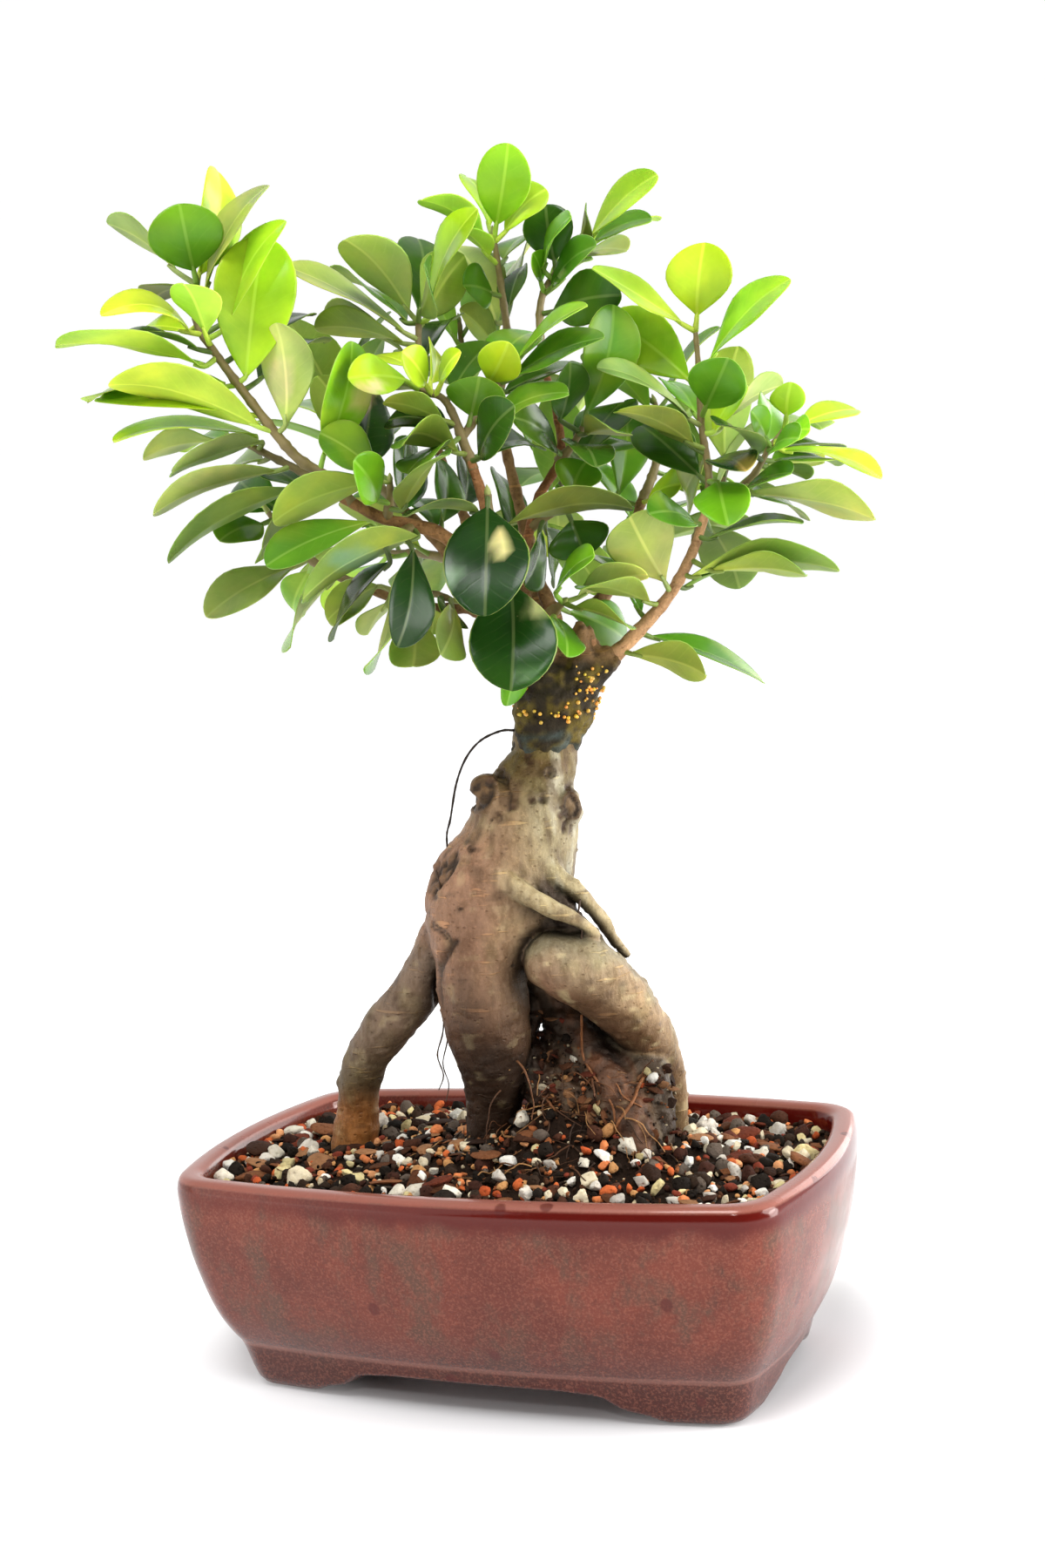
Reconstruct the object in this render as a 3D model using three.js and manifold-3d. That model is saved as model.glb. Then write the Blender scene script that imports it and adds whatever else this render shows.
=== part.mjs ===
// A ficus ginseng bonsai in its glazed pot, in millimetres with +Z up.
// A thick forked rootstock stands in a gritty soil mix, a graft collar sits on its neck,
// and brown branches carry leafy stems of leathery obovate leaves.
import * as THREE from 'three';
import { mergeVertices } from 'three/addons/utils/BufferGeometryUtils.js';
import Module from 'manifold-3d';

const wasm = await Module();
wasm.setup();

// Front view: the tree is laid out as it looks from its front, u to the right, v up, w towards the viewer.
const VIEW_AZIMUTH = 22.4;
const VIEW_ELEVATION = 5.32;
const VIEW_ROLL = -4.14;
const VIEW_DISTANCE = 698;
const VIEW_TARGET_SIDE = 9.83;
const VIEW_TARGET_HEIGHT = 204.9;

// Pot
const POT_LENGTH = 230;
const POT_DEPTH = 146;
const POT_HEIGHT = 78.4;
const POT_CORNER_RADIUS = 17;
const LONG_SIDE_BOW = 8.1;
const SHORT_SIDE_BOW = 6.2;
const CORNER_RADIUS_LOSS = 0.35;
const BOW_FADE_INSET = 60;
const OUTER_PROFILE = [
  [24.5, 0], [20.8, 3], [17.4, 13.5], [15.6, 17.6], [9.9, 27], [5, 41.5], [1.8, 56], [0, 71.5],
    [0.6, 76.6], [2.4, POT_HEIGHT],
];
const INNER_PROFILE = [[26, 18], [18, 30], [12.2, 53], [9.4, 76.6], [7.6, POT_HEIGHT + 0.6]];
const RECESS_INSET = 37;
const RECESS_HEIGHT = 11;
const LONG_ARCH = [[-65, -1], [-60, 3], [-50, 5], [-44, 9], [-30, 10.9]];
const SHORT_ARCH = [[-31, -1], [-27, 3], [-20, 6], [-15, 9.6], [-8, 10.9]];
const DRAIN_RADIUS = 8;
const DRAIN_OFFSET = 45;
const SCREEN_SIZE = 30;
const SCREEN_THICKNESS = 1.2;
const SCREEN_HOLE = 8;
const SCREEN_PITCH = 12;

// Soil
const GAP = 0.3;
const CORNER_GAP_SHARE = 1.3;
const WOOD_GAP_SHARE = 1.4;
const SLIVER_SIZE = 0.02;
const MOUTH_HEIGHT = 150;
const SOIL_RIM_HEIGHT = 71.5;
const SOIL_GRID = [15, 10];
const SOIL_ROUGHNESS = 1.6;
const MOUNDS = [
  { at: [-8, -108, -8], spread: [46, 34], rise: 9 },
  { at: [14, -100, -2], spread: [13, 15], rise: 16 },
  { at: [36, -112, 6], spread: [17, 16], rise: 8 },
];
const GRAIN_COUNT = 34;
const GRAIN_RADIUS = [3, 4.8];

// Rootstock limbs: u, v, w and radius along each limb
const LIMB_SIDES = 12;
const LIMBS = {
  body: [[7.5, 15, 0, 11], [7.5, 8, 0, 11.2], [3.4, -2, 0, 14.3], [1.4, -12, 0, 18], [-3, -27, -1, 21],
    [-9.5, -41, -2, 23.8],
    [-12, -54, -3, 18]],
  middleLeg: [[-13, -50, 3, 17], [-14.7, -66, 5, 15], [-12.8, -78.5, 4, 15.2], [-11, -90.6, 0, 13.6],
    [-9.7, -101, -5, 11.4],
    [-10, -110, -9, 10.2], [-11, -128, -14, 9]],
  leftLeg: [[-22, -50, -6, 11.4], [-32.4, -65, -12, 9.2], [-39.3, -75.5, -16, 8.8], [-46.8, -84, -20, 8.7],
    [-53, -93.7, -24, 8], [-56.5, -103.6, -28, 7.4], [-57, -113, -31, 7.5], [-58, -122, -33, 8.4],
      [-59, -136, -35, 8]],
  thigh: [[10.8, -61.5, 15, 10.2], [19, -64.2, 14, 12.3], [26.6, -69, 11, 12], [34.8, -76.6, 6, 11.4],
    [41.3, -84.8, -1, 9.9],
    [46.4, -92, -8, 8.5], [48.8, -99, -14, 7.1], [51, -108, -20, 6.6], [52, -124, -24, 6]],
  innerRoot: [[0, -50, -8, 12], [8, -66, -10, 9], [14, -76, -10, 9], [22, -92, -4, 9.5],
    [31, -106, 4, 9], [38, -118, 11, 8], [41, -130, 15, 7]],
  outerRoot: [[36, -84, -8, 8], [43, -101, 0, 8.4], [46, -114, 6, 7.2], [47, -128, 9, 6]],
  leftBurl: [[-10.5, -6.5, 9.5, 5.4], [-12.4, -1.6, 9, 4.8]],
  rightKnob: [[15.4, -5.6, 7, 4.6], [16.8, -10.4, 6.5, 4]],
};
const ROOT_ARMS = {
  front: [[-10, -30.5, 15, 5], [-5.5, -34, 19.5, 4.2], [0, -37.6, 21.5, 3.5], [8.2, -42.4, 22.5, 3],
    [16.6, -46, 21.5, 2.6],
    [22, -49.4, 19, 2.2], [25, -52.2, 16.5, 1.9]],
  back: [[5, -25, 9, 5.5], [8.6, -29.2, 13, 4.4], [13.2, -33.2, 15, 3.6], [18.4, -36.8, 15, 3],
    [23.9, -42.6, 12, 2.7],
    [29.6, -50, 8, 2.2], [32.4, -54.8, 6, 1.9], [36.2, -59, 4, 1.4]],
};

// Scion wood: the graft collar, its lobes and the brown branches
const COLLAR_SIDES = 10;
const COLLAR = {
  core: [[7.6, 15, 0, 11.4], [9.4, 20, 0, 12.4], [11.2, 28, 0, 14], [12.4, 34, 0, 14.2], [13, 39, 1, 11]],
  leftLobe: [[9, 32, 2, 9], [6, 40, 4, 7.4], [4, 45, 4, 4.4]],
  rightLobe: [[15, 32, 2, 9.4], [21, 39, 4, 7.6], [27, 42, 6, 4.8]],
};
const BRANCHES = {
  mainLeft: [[6, 42, 5, 4.2], [-5, 58, 13, 3.5], [-16, 75, 21, 3], [-29, 87, 27, 2.6],
    [-48, 92, 29, 2.2], [-62, 99, 30, 2]],
  leftSide: [[-44, 91, 28.4, 1.9], [-56, 95.5, 22, 1.7], [-68, 104, 17, 1.5]],
  lowerLeft: [[4, 42, -3, 3.8], [-6, 54, -6, 2.9], [-17, 60.5, -7, 2.4], [-30, 61, -8, 2.1],
    [-46, 65, -10, 1.9], [-57, 69, -11, 1.6]],
  centreFront: [[4, 44, 6, 3.6], [-5, 62, 15, 2.7], [-10, 82, 21, 2.2], [-14, 100, 25, 2],
    [-18, 112, 27, 1.8]],
  centreRight: [[9, 42, 3, 3.8], [4, 56, 4, 2.8], [-1, 70, 5, 2.2], [2, 86, 5, 2], [6, 100, 3, 1.9],
    [13, 113, -1, 1.7],
    [12, 128, -6, 1.6], [7, 146, -12, 1.5]],
  right: [[18, 36, 3, 8], [25, 40.5, 6, 5.2], [31, 44, 6.5, 3.3], [42, 55, 8, 2.6], [52, 67, 9, 2.2],
    [60, 83, 10, 1.9],
    [65, 100, 12, 1.4]],
  backLeft: [[3, 40, -6, 4.2], [-10, 58, -22, 3.1], [-26, 80, -40, 2.4], [-44, 98, -54, 1.9]],
  backRight: [[16, 40, -6, 4.2], [25, 58, -22, 3.1], [35, 80, -40, 2.4], [42, 100, -54, 1.9]],
  backCentre: [[9, 42, -6, 3.8], [5, 66, -20, 2.9], [0, 92, -32, 2.4], [-6, 118, -35, 2],
    [-8, 140, -30, 1.6]],
  midLeft: [[3, 42, 1, 3.4], [-9, 64, 2, 2.6], [-20, 92, 4, 2.1], [-30, 118, 5, 1.8], [-35, 140, 5, 1.5]],
  lowMiddle: [[13, 40, 5, 4.8], [10.5, 52, 6, 4.1], [10, 60, 5, 3.2], [6, 70, 3, 2.2]],
  deadStump: [[19, 40, 8, 5], [19.6, 49, 9, 4], [20, 55.6, 9, 0.9]],
  deadSplinter: [[23, 41, 7, 4], [23.6, 48, 7, 3], [23.2, 54, 7, 0.8]],
};
const BRANCH_SIDES = 5;
const ARM_SIDES = 6;
const DOME_STEPS = [[0.6, 0.78], [0.92, 0.34]];
const STEM_SIDES = 4;

// Leaf rows: base u, v, tip u, v, seen width, tone, lean (+1 tip towards the viewer), true length, arch.
// A tone that starts with "under" shows the leaf's paler under side.
const WOOD_LEAVES = [
  [35, 45, 64, 38.5, 11, 'underOlive', 1, 34],
  [42, 51, 84, 36, 7, 'mid', -1, 50, 0.03],
  [48, 62, 20, 69, 8, 'underOlive', 1, 38],
  [43, 57, 25, 80, 5, 'mid', -1, 38],
  [50.5, 67, 37, 93, 24, 'underPale', 1, 40],
  [58, 72, 110, 75.5, 10, 'underOlive', 1, 56, 0.08],
  [56, 68, 87, 77, 7, 'dark', -1, 42],
  [66, 74, 98.5, 73, 6, 'underOlive', 1, 44],
  [64, 85, 97, 91, 4, 'dark', 1, 42],
  [62, 90, 45, 95, 8, 'mid', 1, 34],
  [33, 99, 36, 132, 18, 'mid', -1, 40],
  [42, 97, 55, 104, 8, 'yellow', 1, 30],
  [-40, 95, -44, 119, 10, 'dark', 1, 40],
  [-28, 86, -27, 113, 12, 'dark', -1, 38],
  [-27, 89, -38, 99, 10, 'mid', -1, 32],
  [-4, 86, -9, 109, 12, 'dark', -1, 38],
  [-19, 93, -21, 115, 10, 'deep', -1, 36],
];
const SHOOTS = {
  upper_left: {
    stems: [[[-59, 97.5, 30, 2], [-69, 107, 31, 1.8], [-79, 114, 32, 1.7], [-93, 131, 33, 1.5],
      [-107, 150, 34, 1.3],
      [-113, 160, 34, 1.2], [-113, 173, 32, 1]]],
    leaves: [
      [-113, 172, -104, 213, 16, 'yellow', -1, 46],
      [-115, 174, -119, 201, 25, 'fresh', 1, 32],
      [-120, 178, -143.5, 195, 5, 'underPale', -1, 38],
      [-112, 166, -90, 209, 7, 'pale', -1, 50],
      [-104, 160, -91, 195, 9, 'dark', -1, 44],
      [-103, 158, -83.5, 196, 11, 'lime', -1, 46],
      [-96, 141, -90, 190, 27, 'lime', 1, 50],
      [-112, 155, -146, 163, 8, 'yellow', 1, 42, 0.2],
      [-116, 157, -136, 157, 7, 'yellow', -1, 34],
      [-108, 152, -117, 174, 14, 'underYellow', 1, 34],
      [-112, 172, -129, 168, 5, 'underBrown', -1, 34],
      [-110, 145, -162, 153, 6, 'underLime', 1, 56],
      [-109, 148, -138, 157, 5, 'dark', -1, 42],
      [-87, 121, -143, 141, 16, 'underLime', 1, 62],
      [-98, 139, -151.5, 133.5, 6, 'lime', -1, 60],
      [-90, 128, -147, 135, 6, 'yellow', -1, 62],
      [-98, 150, -73.5, 164, 6, 'dark', -1, 42],
      [-82, 124, -85, 160, 18, 'underPale', -1, 42],
      [-92, 140, -70, 155, 8, 'dark', -1, 46],
      [-69, 110, -58, 153, 17, 'bright', 1, 48],
      [-58, 106, -53, 140, 18, 'gloss', -1, 46],
    ],
  },
  left_side: {
    stems: [[[-65, 102, 18, 1.6], [-80, 110, 14, 1.4], [-92, 116, 10, 1.2], [-100, 120, 8, 1]]],
    leaves: [
      [-92, 121, -142, 120.5, 6, 'lime', 1, 54],
      [-101, 121, -132, 114, 7, 'underPale', 1, 44, 0.07],
      [-101, 121, -117, 117, 6, 'bright', -1, 40],
      [-90, 119, -122, 108.5, 7, 'underPale', 1, 46, 0.03],
      [-80, 111, -129, 96, 7, 'underPale', 1, 54, 0.03],
      [-88, 112, -109, 103.5, 4, 'pale', -1, 42],
      [-76, 103, -124, 78.5, 9, 'underGrey', 1, 56],
      [-74, 101, -89, 110, 12, 'dark', -1, 36],
    ],
  },
  left_low: {
    stems: [[[-54, 68, -10.6, 1.7], [-66, 73, -12, 1.5], [-75, 79, -13, 1.4], [-83, 87, -14, 1.2],
      [-88, 94, -14, 1]]],
    leaves: [
      [-84, 95, -99, 106, 17, 'dark', -1, 34],
      [-90, 97, -113, 92, 5, 'lime', -1, 42],
      [-86, 92, -105, 85, 14, 'mid', -1, 42],
      [-77, 88, -91, 82, 12, 'underGrey', 1, 40],
      [-74, 78, -110, 59, 13, 'pale', 1, 44],
      [-74, 74, -80, 60, 12, 'bright', -1, 30],
      [-64, 74, -82, 48, 5, 'underPale', 1, 44],
    ],
  },
  left_front: {
    stems: [[[-38, 89.5, 28, 2], [-43, 86, 34, 1.5], [-48, 84, 38, 1.1]]],
    leaves: [
      [-52, 91, -89, 76, 11, 'mid', 1, 44],
      [-36, 86, -77, 65, 10, 'underGrey', 1, 54],
      [-38, 82, -42, 48, 15, 'gloss', 1, 40],
      [-46, 77, -67, 51, 6, 'deep', -1, 46],
    ],
  },
  left_inner: {
    stems: [[[-47, 92, 29, 1.9], [-46, 99, 34, 1.4], [-46, 105, 40, 1]]],
    leaves: [
      [-50, 98, -58, 112, 13, 'bright', 1, 34],
      [-50, 105, -87, 92, 12, 'underOlive', 1, 44],
      [-42, 95, -38, 118, 10, 'dark', -1, 40],
      [-42, 95, -27, 115, 7, 'underGrey', 1, 40],
      [-47, 106, -70, 122, 14, 'mid', -1, 44],
    ],
  },
  lower_left: {
    stems: [[[-32, 61.5, -8, 1.9], [-38, 64, -1, 1.4], [-45, 67, 4, 1.1]],
      [[-38, 64, -1, 1.3], [-31, 66, 2, 1.2], [-25, 64, 2, 1]]],
    leaves: [
      [-47, 66, -53, 39.5, 6, 'underPale', 1, 40],
      [-45, 66, -54, 52, 8, 'underPale', -1, 40],
      [-38, 64, -38, 39.5, 18, 'underPale', 1, 36],
      [-33, 66, -31, 52, 6, 'underOlive', -1, 40],
      [-28, 66, -25, 56, 6, 'dark', -1, 34],
      [-24, 61, -28, 45, 10, 'pale', -1, 36],
      [-50, 69, -68, 57, 7, 'pale', 1, 42],
    ],
  },
  mid_left_upper: {
    stems: [[[-34.4, 137, 5, 1.6], [-36, 148, 4, 1.3], [-36, 160, 3, 1]]],
    leaves: [
      [-38, 154, -82, 180, 5, 'pale', 1, 54, 0.03],
      [-36, 146, -68, 163, 6, 'underGrey', -1, 44],
      [-36, 152, -72, 159, 8, 'underOlive', 1, 50],
      [-36, 162, -61, 190, 17, 'underPale', 1, 46],
      [-40, 160, -66, 177, 4, 'mid', -1, 46],
      [-34, 161, -36, 190, 20, 'dark', -1, 42],
      [-33, 161, -17, 200, 6, 'lime', 1, 48],
      [-33, 158, -21, 183, 9, 'underOlive', -1, 42],
      [-34, 160, -33, 180, 6, 'underGrey', 1, 38],
      [-34, 146, -24, 163, 9, 'dark', -1, 36],
    ],
  },
  top: {
    stems: [[[-7.8, 137, -30.5, 1.7], [-5, 150, -24, 1.5], [-6.5, 166, -16, 1.3], [-10, 190, -8, 1]]],
    leaves: [
      [-11, 189, -35, 203, 10, 'underYellow', 1, 36],
      [-10, 189, -5, 222, 19, 'lime', 1, 38],
      [-12, 190, -19, 211, 10, 'lime', -1, 32],
      [-9, 188, 8, 206.5, 10, 'yellow', 1, 34],
      [-11, 180, -22, 193, 6, 'underLime', 1, 34],
      [-9, 160, -24, 188, 18, 'pale', -1, 44],
      [-9, 150, 3, 188.5, 9, 'pale', 1, 50],
      [-7, 180, 3, 191, 6, 'mid', -1, 30],
      [-8, 169, -20, 173, 15, 'mid', -1, 36],
      [-5, 161, 0, 180, 10, 'dark', -1, 40],
      [-8, 148, -21, 165, 12, 'underOlive', 1, 40],
    ],
  },
  top_right: {
    stems: [[[8, 143, -11, 1.6], [6, 158, -15, 1.4], [8, 172, -17, 1.2], [20, 186, -19, 1]]],
    leaves: [
      [10, 178, 8, 201, 18, 'dark', -1, 34],
      [19, 186, 22, 199, 5, 'underBrown', 1, 26],
      [7, 178, 16, 197, 4, 'bright', 1, 36],
      [8, 176, 15, 193, 5, 'lime', 1, 36],
      [7, 170, 4, 184, 6, 'bright', -1, 26],
      [8, 170, 24, 187, 9, 'mid', 1, 36],
      [9, 170, 24, 183, 5, 'mid', -1, 36],
      [18, 180, 35.7, 185.8, 4, 'pale', 1, 34],
      [21.7, 188, 46, 212, 9, 'lime', 1, 40],
      [23, 186, 44.7, 196.6, 7, 'bright', 1, 36],
      [24, 188, 47, 196, 5, 'lime', -1, 36],
      [7, 163, 33, 170, 18, 'dark', 1, 40],
      [6, 158, -8, 146, 14, 'fresh', 1, 38],
    ],
  },
  centre_right: {
    stems: [[[12.4, 112, -0.6, 1.9], [17, 117, 4, 1.4], [21, 124, 7, 1.1]]],
    leaves: [
      [21, 125, 32, 166, 18, 'fresh', 1, 46],
      [14, 114, -2, 128, 9, 'dark', 1, 40],
      [17, 119, 26, 112, 8, 'dark', 1, 36],
      [20, 121, 33, 122.5, 9, 'underOlive', 1, 34],
      [20, 112, 35, 133, 17, 'dark', -1, 44],
      [18, 112, 42, 119, 9, 'mid', -1, 44],
      [13, 126, 17, 146, 12, 'dark', 1, 34],
    ],
  },
  centre_front: {
    stems: [[[-17, 109, 26.4, 1.9], [-21, 120, 28, 1.6], [-24, 128, 30, 1.4], [-28, 134, 31, 1.2],
      [-36, 137, 32, 1]],
      [[-21, 120, 28, 1.5], [-14, 130, 25, 1.3], [-8, 139, 22, 1]]],
    leaves: [
      [-36, 143, -53, 149, 6, 'yellow', -1, 28],
      [-40, 140, -60, 141, 9, 'lime', 1, 30],
      [-31, 136, -41, 150, 9, 'yellow', 1, 26],
      [-31, 138, -31, 153.5, 7, 'yellow', -1, 26],
      [-29, 138, -22, 150, 5, 'yellow', 1, 22],
      [-19, 123, -15, 141, 20, 'mid', 1, 28],
      [-12, 139, -5, 153, 15, 'yellow', 1, 26],
      [-6, 141, 21.5, 167, 3, 'bright', 1, 44],
      [-7, 139, 28, 155, 15, 'mid', 1, 44],
      [-6, 136, 27, 146, 6, 'dark', -1, 42],
      [-13, 124, 15, 137, 8, 'mid', 1, 38],
      [-15, 113, -4, 131, 12, 'dark', 1, 38],
      [-25, 124, -48, 133, 8, 'underOlive', 1, 34],
      [-31, 134, -48, 138, 4, 'underOlive', -1, 32],
      [-20, 114, -42, 118, 12, 'underOlive', 1, 36, 0.22],
      [-26, 133, -10, 153, 12, 'dark', -1, 40],
      [-19, 113, 5, 119, 9, 'dark', -1, 40],
      [-23, 120, -40, 108, 12, 'mid', -1, 40],
      [-26, 124, -47, 127, 10, 'deep', -1, 38],
    ],
  },
  front_low: {
    stems: [[[-10, 81, 20.6, 2.1], [-11, 91, 27, 1.6], [-12, 100, 31, 1.2]]],
    leaves: [
      [-12, 101, -13, 60, 28, 'gloss', 1, 50],
      [-6, 90, 38, 98, 9, 'underBrown', 1, 48],
      [-14, 94, -40, 94, 8, 'deep', -1, 38],
    ],
  },
  front_base: {
    stems: [[[-6, 66, 16, 2], [-5, 70, 25, 1.5], [-4, 75, 31, 1.1]]],
    leaves: [
      [-4, 74, -4, 33, 29, 'gloss', 1, 46],
      [-6, 71, -5, 27, 8, 'mid', -1, 48],
    ],
  },
  centre_low: {
    stems: [[[3, 89, 4.6, 2], [9, 93, 9, 1.3], [15, 96, 12, 1]]],
    leaves: [
      [17, 95, 22, 79, 22, 'dark', 1, 36],
      [16, 98, 22, 112, 16, 'mid', 1, 34],
      [8, 91, 1, 69, 8, 'dark', 1, 38],
      [9, 90, 11, 71, 8, 'dark', -1, 36],
    ],
  },
  low_middle: {
    stems: [[[9.6, 59, 5, 3], [12, 61, 10, 1.6], [14, 63, 14, 1.2]]],
    leaves: [
      [14, 64, 43, 74, 9, 'underPale', 1, 38],
      [15, 64, 38, 54, 10, 'underOlive', 1, 36],
      [13, 61, 37, 49, 17, 'mid', -1, 38],
      [12, 58, 16, 45, 8, 'mid', 1, 30],
      [11, 66, 24, 80, 5, 'bright', -1, 38],
    ],
  },
  right_top: {
    stems: [[[64.8, 97, 11.8, 1.5], [64.4, 110, 12, 1.3], [62, 125, 12, 1.2], [61, 145, 12, 1],
      [60, 157, 12, 0.9]]],
    leaves: [
      [57, 157, 24.4, 179, 9, 'yellow', 1, 42, 0],
      [61, 158, 63, 187.5, 22.5, 'yellow', 1, 34],
      [58, 140, 29, 162, 19, 'lime', 1, 42],
      [64, 143, 92, 176, 10, 'lime', 1, 46],
      [64.5, 127, 71, 147, 20, 'fresh', 1, 30],
      [60, 126, 50, 140, 9, 'bright', -1, 32],
      [61, 124, 27, 146, 4, 'pale', 1, 46],
      [62, 104, 41, 125, 18, 'dark', -1, 42],
      [62, 116, 33, 130, 9, 'underOlive', 1, 40],
      [61, 114, 40, 128, 4, 'underGrey', -1, 40],
      [64, 112, 77, 110, 7, 'gloss', 1, 34],
      [68, 105, 71, 91, 19, 'bright', 1, 36],
      [67, 122, 89, 139, 4, 'underPale', -1, 42],
      [66, 122, 77, 139, 10, 'lime', 1, 34],
      [64, 114, 56, 98, 12, 'pale', -1, 38],
    ],
  },
  right_cluster: {
    stems: [[[64, 94, 11.4, 1.5], [72, 100, 14, 1.3], [80, 107, 16, 1.2], [86, 117, 18, 1],
      [91, 123, 18, 0.9]]],
    leaves: [
      [80, 101, 123, 93.5, 9, 'underPale', 1, 48, 0.03],
      [73, 102, 93, 108, 6, 'fresh', 1, 38],
      [82, 111, 98.5, 106.4, 5, 'underGrey', 1, 38],
      [84, 112, 109, 111.5, 6, 'mid', -1, 38],
      [88, 115, 109, 116.5, 4, 'dark', -1, 38],
      [90, 116, 125, 107.7, 4, 'yellow', 1, 42],
      [86, 115, 95, 120.5, 7, 'fresh', 1, 28],
      [86, 117, 80, 129, 9, 'fresh', 1, 26],
      [88, 118, 99.4, 123.3, 6, 'lime', 1, 28],
      [84, 115, 85, 134, 12, 'fresh', -1, 36],
      [91, 124, 93, 139, 12, 'lime', 1, 24],
      [93, 125, 116, 130, 8, 'yellow', -1, 30],
      [91, 122, 104, 125, 4, 'lime', -1, 32],
      [82, 113, 68, 126, 6, 'gloss', 1, 36],
      [78, 101, 97, 93, 5, 'dark', -1, 42],
    ],
  },
};

// Back shoots, hidden from the front: a stem with leaves spiralling round it by a rule
const BACK_SHOOTS = {
  back_left: { stem: [[-42, 96, -52.5, 2], [-52, 106, -60, 1.6], [-60, 120, -64, 1.3],
    [-64, 134, -66, 1]], count: 8, turn: 0.3 },
  back_left_low: { stem: [[-24.5, 78, -38.5, 2], [-36, 80, -50, 1.5],
    [-46, 80, -60, 1.1]], count: 5, turn: 1.1 },
  back_right: { stem: [[41, 97, -52, 2], [46, 110, -60, 1.6], [48, 124, -64, 1.3],
    [46, 132, -64, 1]], count: 7, turn: 2.2 },
  back_right_low: { stem: [[34, 78, -38.5, 2], [39, 83, -50, 1.5],
    [42, 91, -58, 1.1]], count: 4, turn: 0.7 },
  back_centre: { stem: [[0, 90, -31, 2], [6, 94, -46, 1.6], [12, 100, -62, 1.3],
    [14, 108, -76, 1]], count: 7, turn: 1.9 },
  back_upper: { stem: [[-6, 118, -35, 2], [-14, 130, -48, 1.5], [-20, 146, -56, 1.2],
    [-22, 160, -58, 1]], count: 7, turn: 2.9 },
  right_back: { stem: [[60.4, 84, 10, 2], [62, 90, -6, 1.5], [67, 99, -20, 1.3],
    [71, 110, -30, 1]], count: 7, turn: 0.1 },
};

// Leaf shape
const LEAF_WIDTH_RATIO = 0.5;
const BLADE_THICKNESS = 0.8;
const PETIOLE_THICKNESS = 1;
const PETIOLE_LENGTH = 5;
const PETIOLE_HALF_WIDTH = 0.8;
const PETIOLE_FOOT = 0.35;
const DEFAULT_ARCH = 0.06;
const FOLD = 0.16;
const LARGE_STATIONS = [[0.26, 0.6], [0.58, 1], [0.85, 0.74]];
const FULL_STATIONS = [[0.33, 0.74], [0.72, 0.98]];
const LESSER_STATIONS = [[0.3, 0.68], [0.72, 0.98]];
const LARGE_WIDTH = 17;
const LESSER_WIDTH = 9.5;
const LEAN_STEPS = [1, 0.85, 0.7, 0.55, 0.4, 0.25, 0.1, -0.1, -0.25, -0.4, -0.55, -0.7, -0.85, -1, 1.15];
const ROLL_STEPS = [0, 16, -16, 30];
const LEAST_LEAN_RANGE = 14;
const NEAR_PETIOLE_SHARE = 0.6;
const MOST_PETIOLE_SHARE = 0.3;
const MOST_BASE_SHARE = 0.4;
const ROLL_RIGHT_SHARE = 0.3;
const LEAF_CLEARANCE = 3.6;
const OWN_LEAF_CLEARANCE = 3;
const OWN_LEAF_FREE_SHARE = 0.35;
const OWN_LEAF_WEIGHT = 0.6;
const STEM_CLEARANCE = 1.6;
const STEM_SAMPLE_PITCH = 3;
const SAMPLE_REACH = 60;
const LEAST_GAIN = 1e-6;
const BACK_LEAF_LENGTH = [40, 48];
const GOLDEN_TURN = 2.39996;

// Materials
const COLOURS = {
  glaze: 0x7c4840, screen: 0x2b2b2b, soil: 0x4b3a2e, rootstock: 0xa08b72, scion: 0x6b4a34,
  young: 0x9fca3f, mature: 0x3f7a33, deep: 0x24532a,
};
const YOUNG_SHOOTS = ['upper_left', 'top', 'top_right', 'right_top', 'right_cluster', 'centre_front'];

// Sight frame
const radians = THREE.MathUtils.degToRad;
const vec = (x, y, z) => new THREE.Vector3(x, y, z);

function sightFrame() {
  const az = radians(VIEW_AZIMUTH);
  const el = radians(VIEW_ELEVATION);
  const roll = radians(VIEW_ROLL);
  const back = vec(Math.sin(az) * Math.cos(el), -Math.cos(az) * Math.cos(el), Math.sin(el));
  const level = vec(Math.cos(az), Math.sin(az), 0);
  const upright = vec().crossVectors(back, level);
  const right = level.clone().multiplyScalar(Math.cos(roll)).addScaledVector(upright, Math.sin(roll));
  const up = upright.clone().multiplyScalar(Math.cos(roll)).addScaledVector(level, -Math.sin(roll));
  const target = vec(0, 0, VIEW_TARGET_HEIGHT).addScaledVector(right, VIEW_TARGET_SIDE);
  const eye = target.clone().addScaledVector(back, VIEW_DISTANCE);
  return { right, up, back, target, eye };
}
const SIGHT = sightFrame();

function place(u, v, w) {
  const seen = SIGHT.target.clone().addScaledVector(SIGHT.right, u).addScaledVector(SIGHT.up, v);
  return seen.sub(SIGHT.eye).multiplyScalar(1 - w / VIEW_DISTANCE).add(SIGHT.eye);
}

function chain(rows) {
  return rows.map(([u, v, w, r]) => ({ p: place(u, v, w), r }));
}

// A repeatable number from 0 to 1 for each pair of whole numbers
function draw(index, series) {
  const wave = Math.sin(index * 12.9898 + series * 78.233) * 43758.5453;
  return wave - Math.floor(wave);
}

const mix = (a, b, t) => a + (b - a) * t;

// Solids
function solidFrom(points, triangles) {
  const geometry = new THREE.BufferGeometry();
  const values = points.flatMap((p) => [p.x, p.y, p.z]);
  geometry.setAttribute('position', new THREE.Float32BufferAttribute(values, 3));
  geometry.setIndex(triangles.flat());
  return solidOf(geometry);
}

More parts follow.
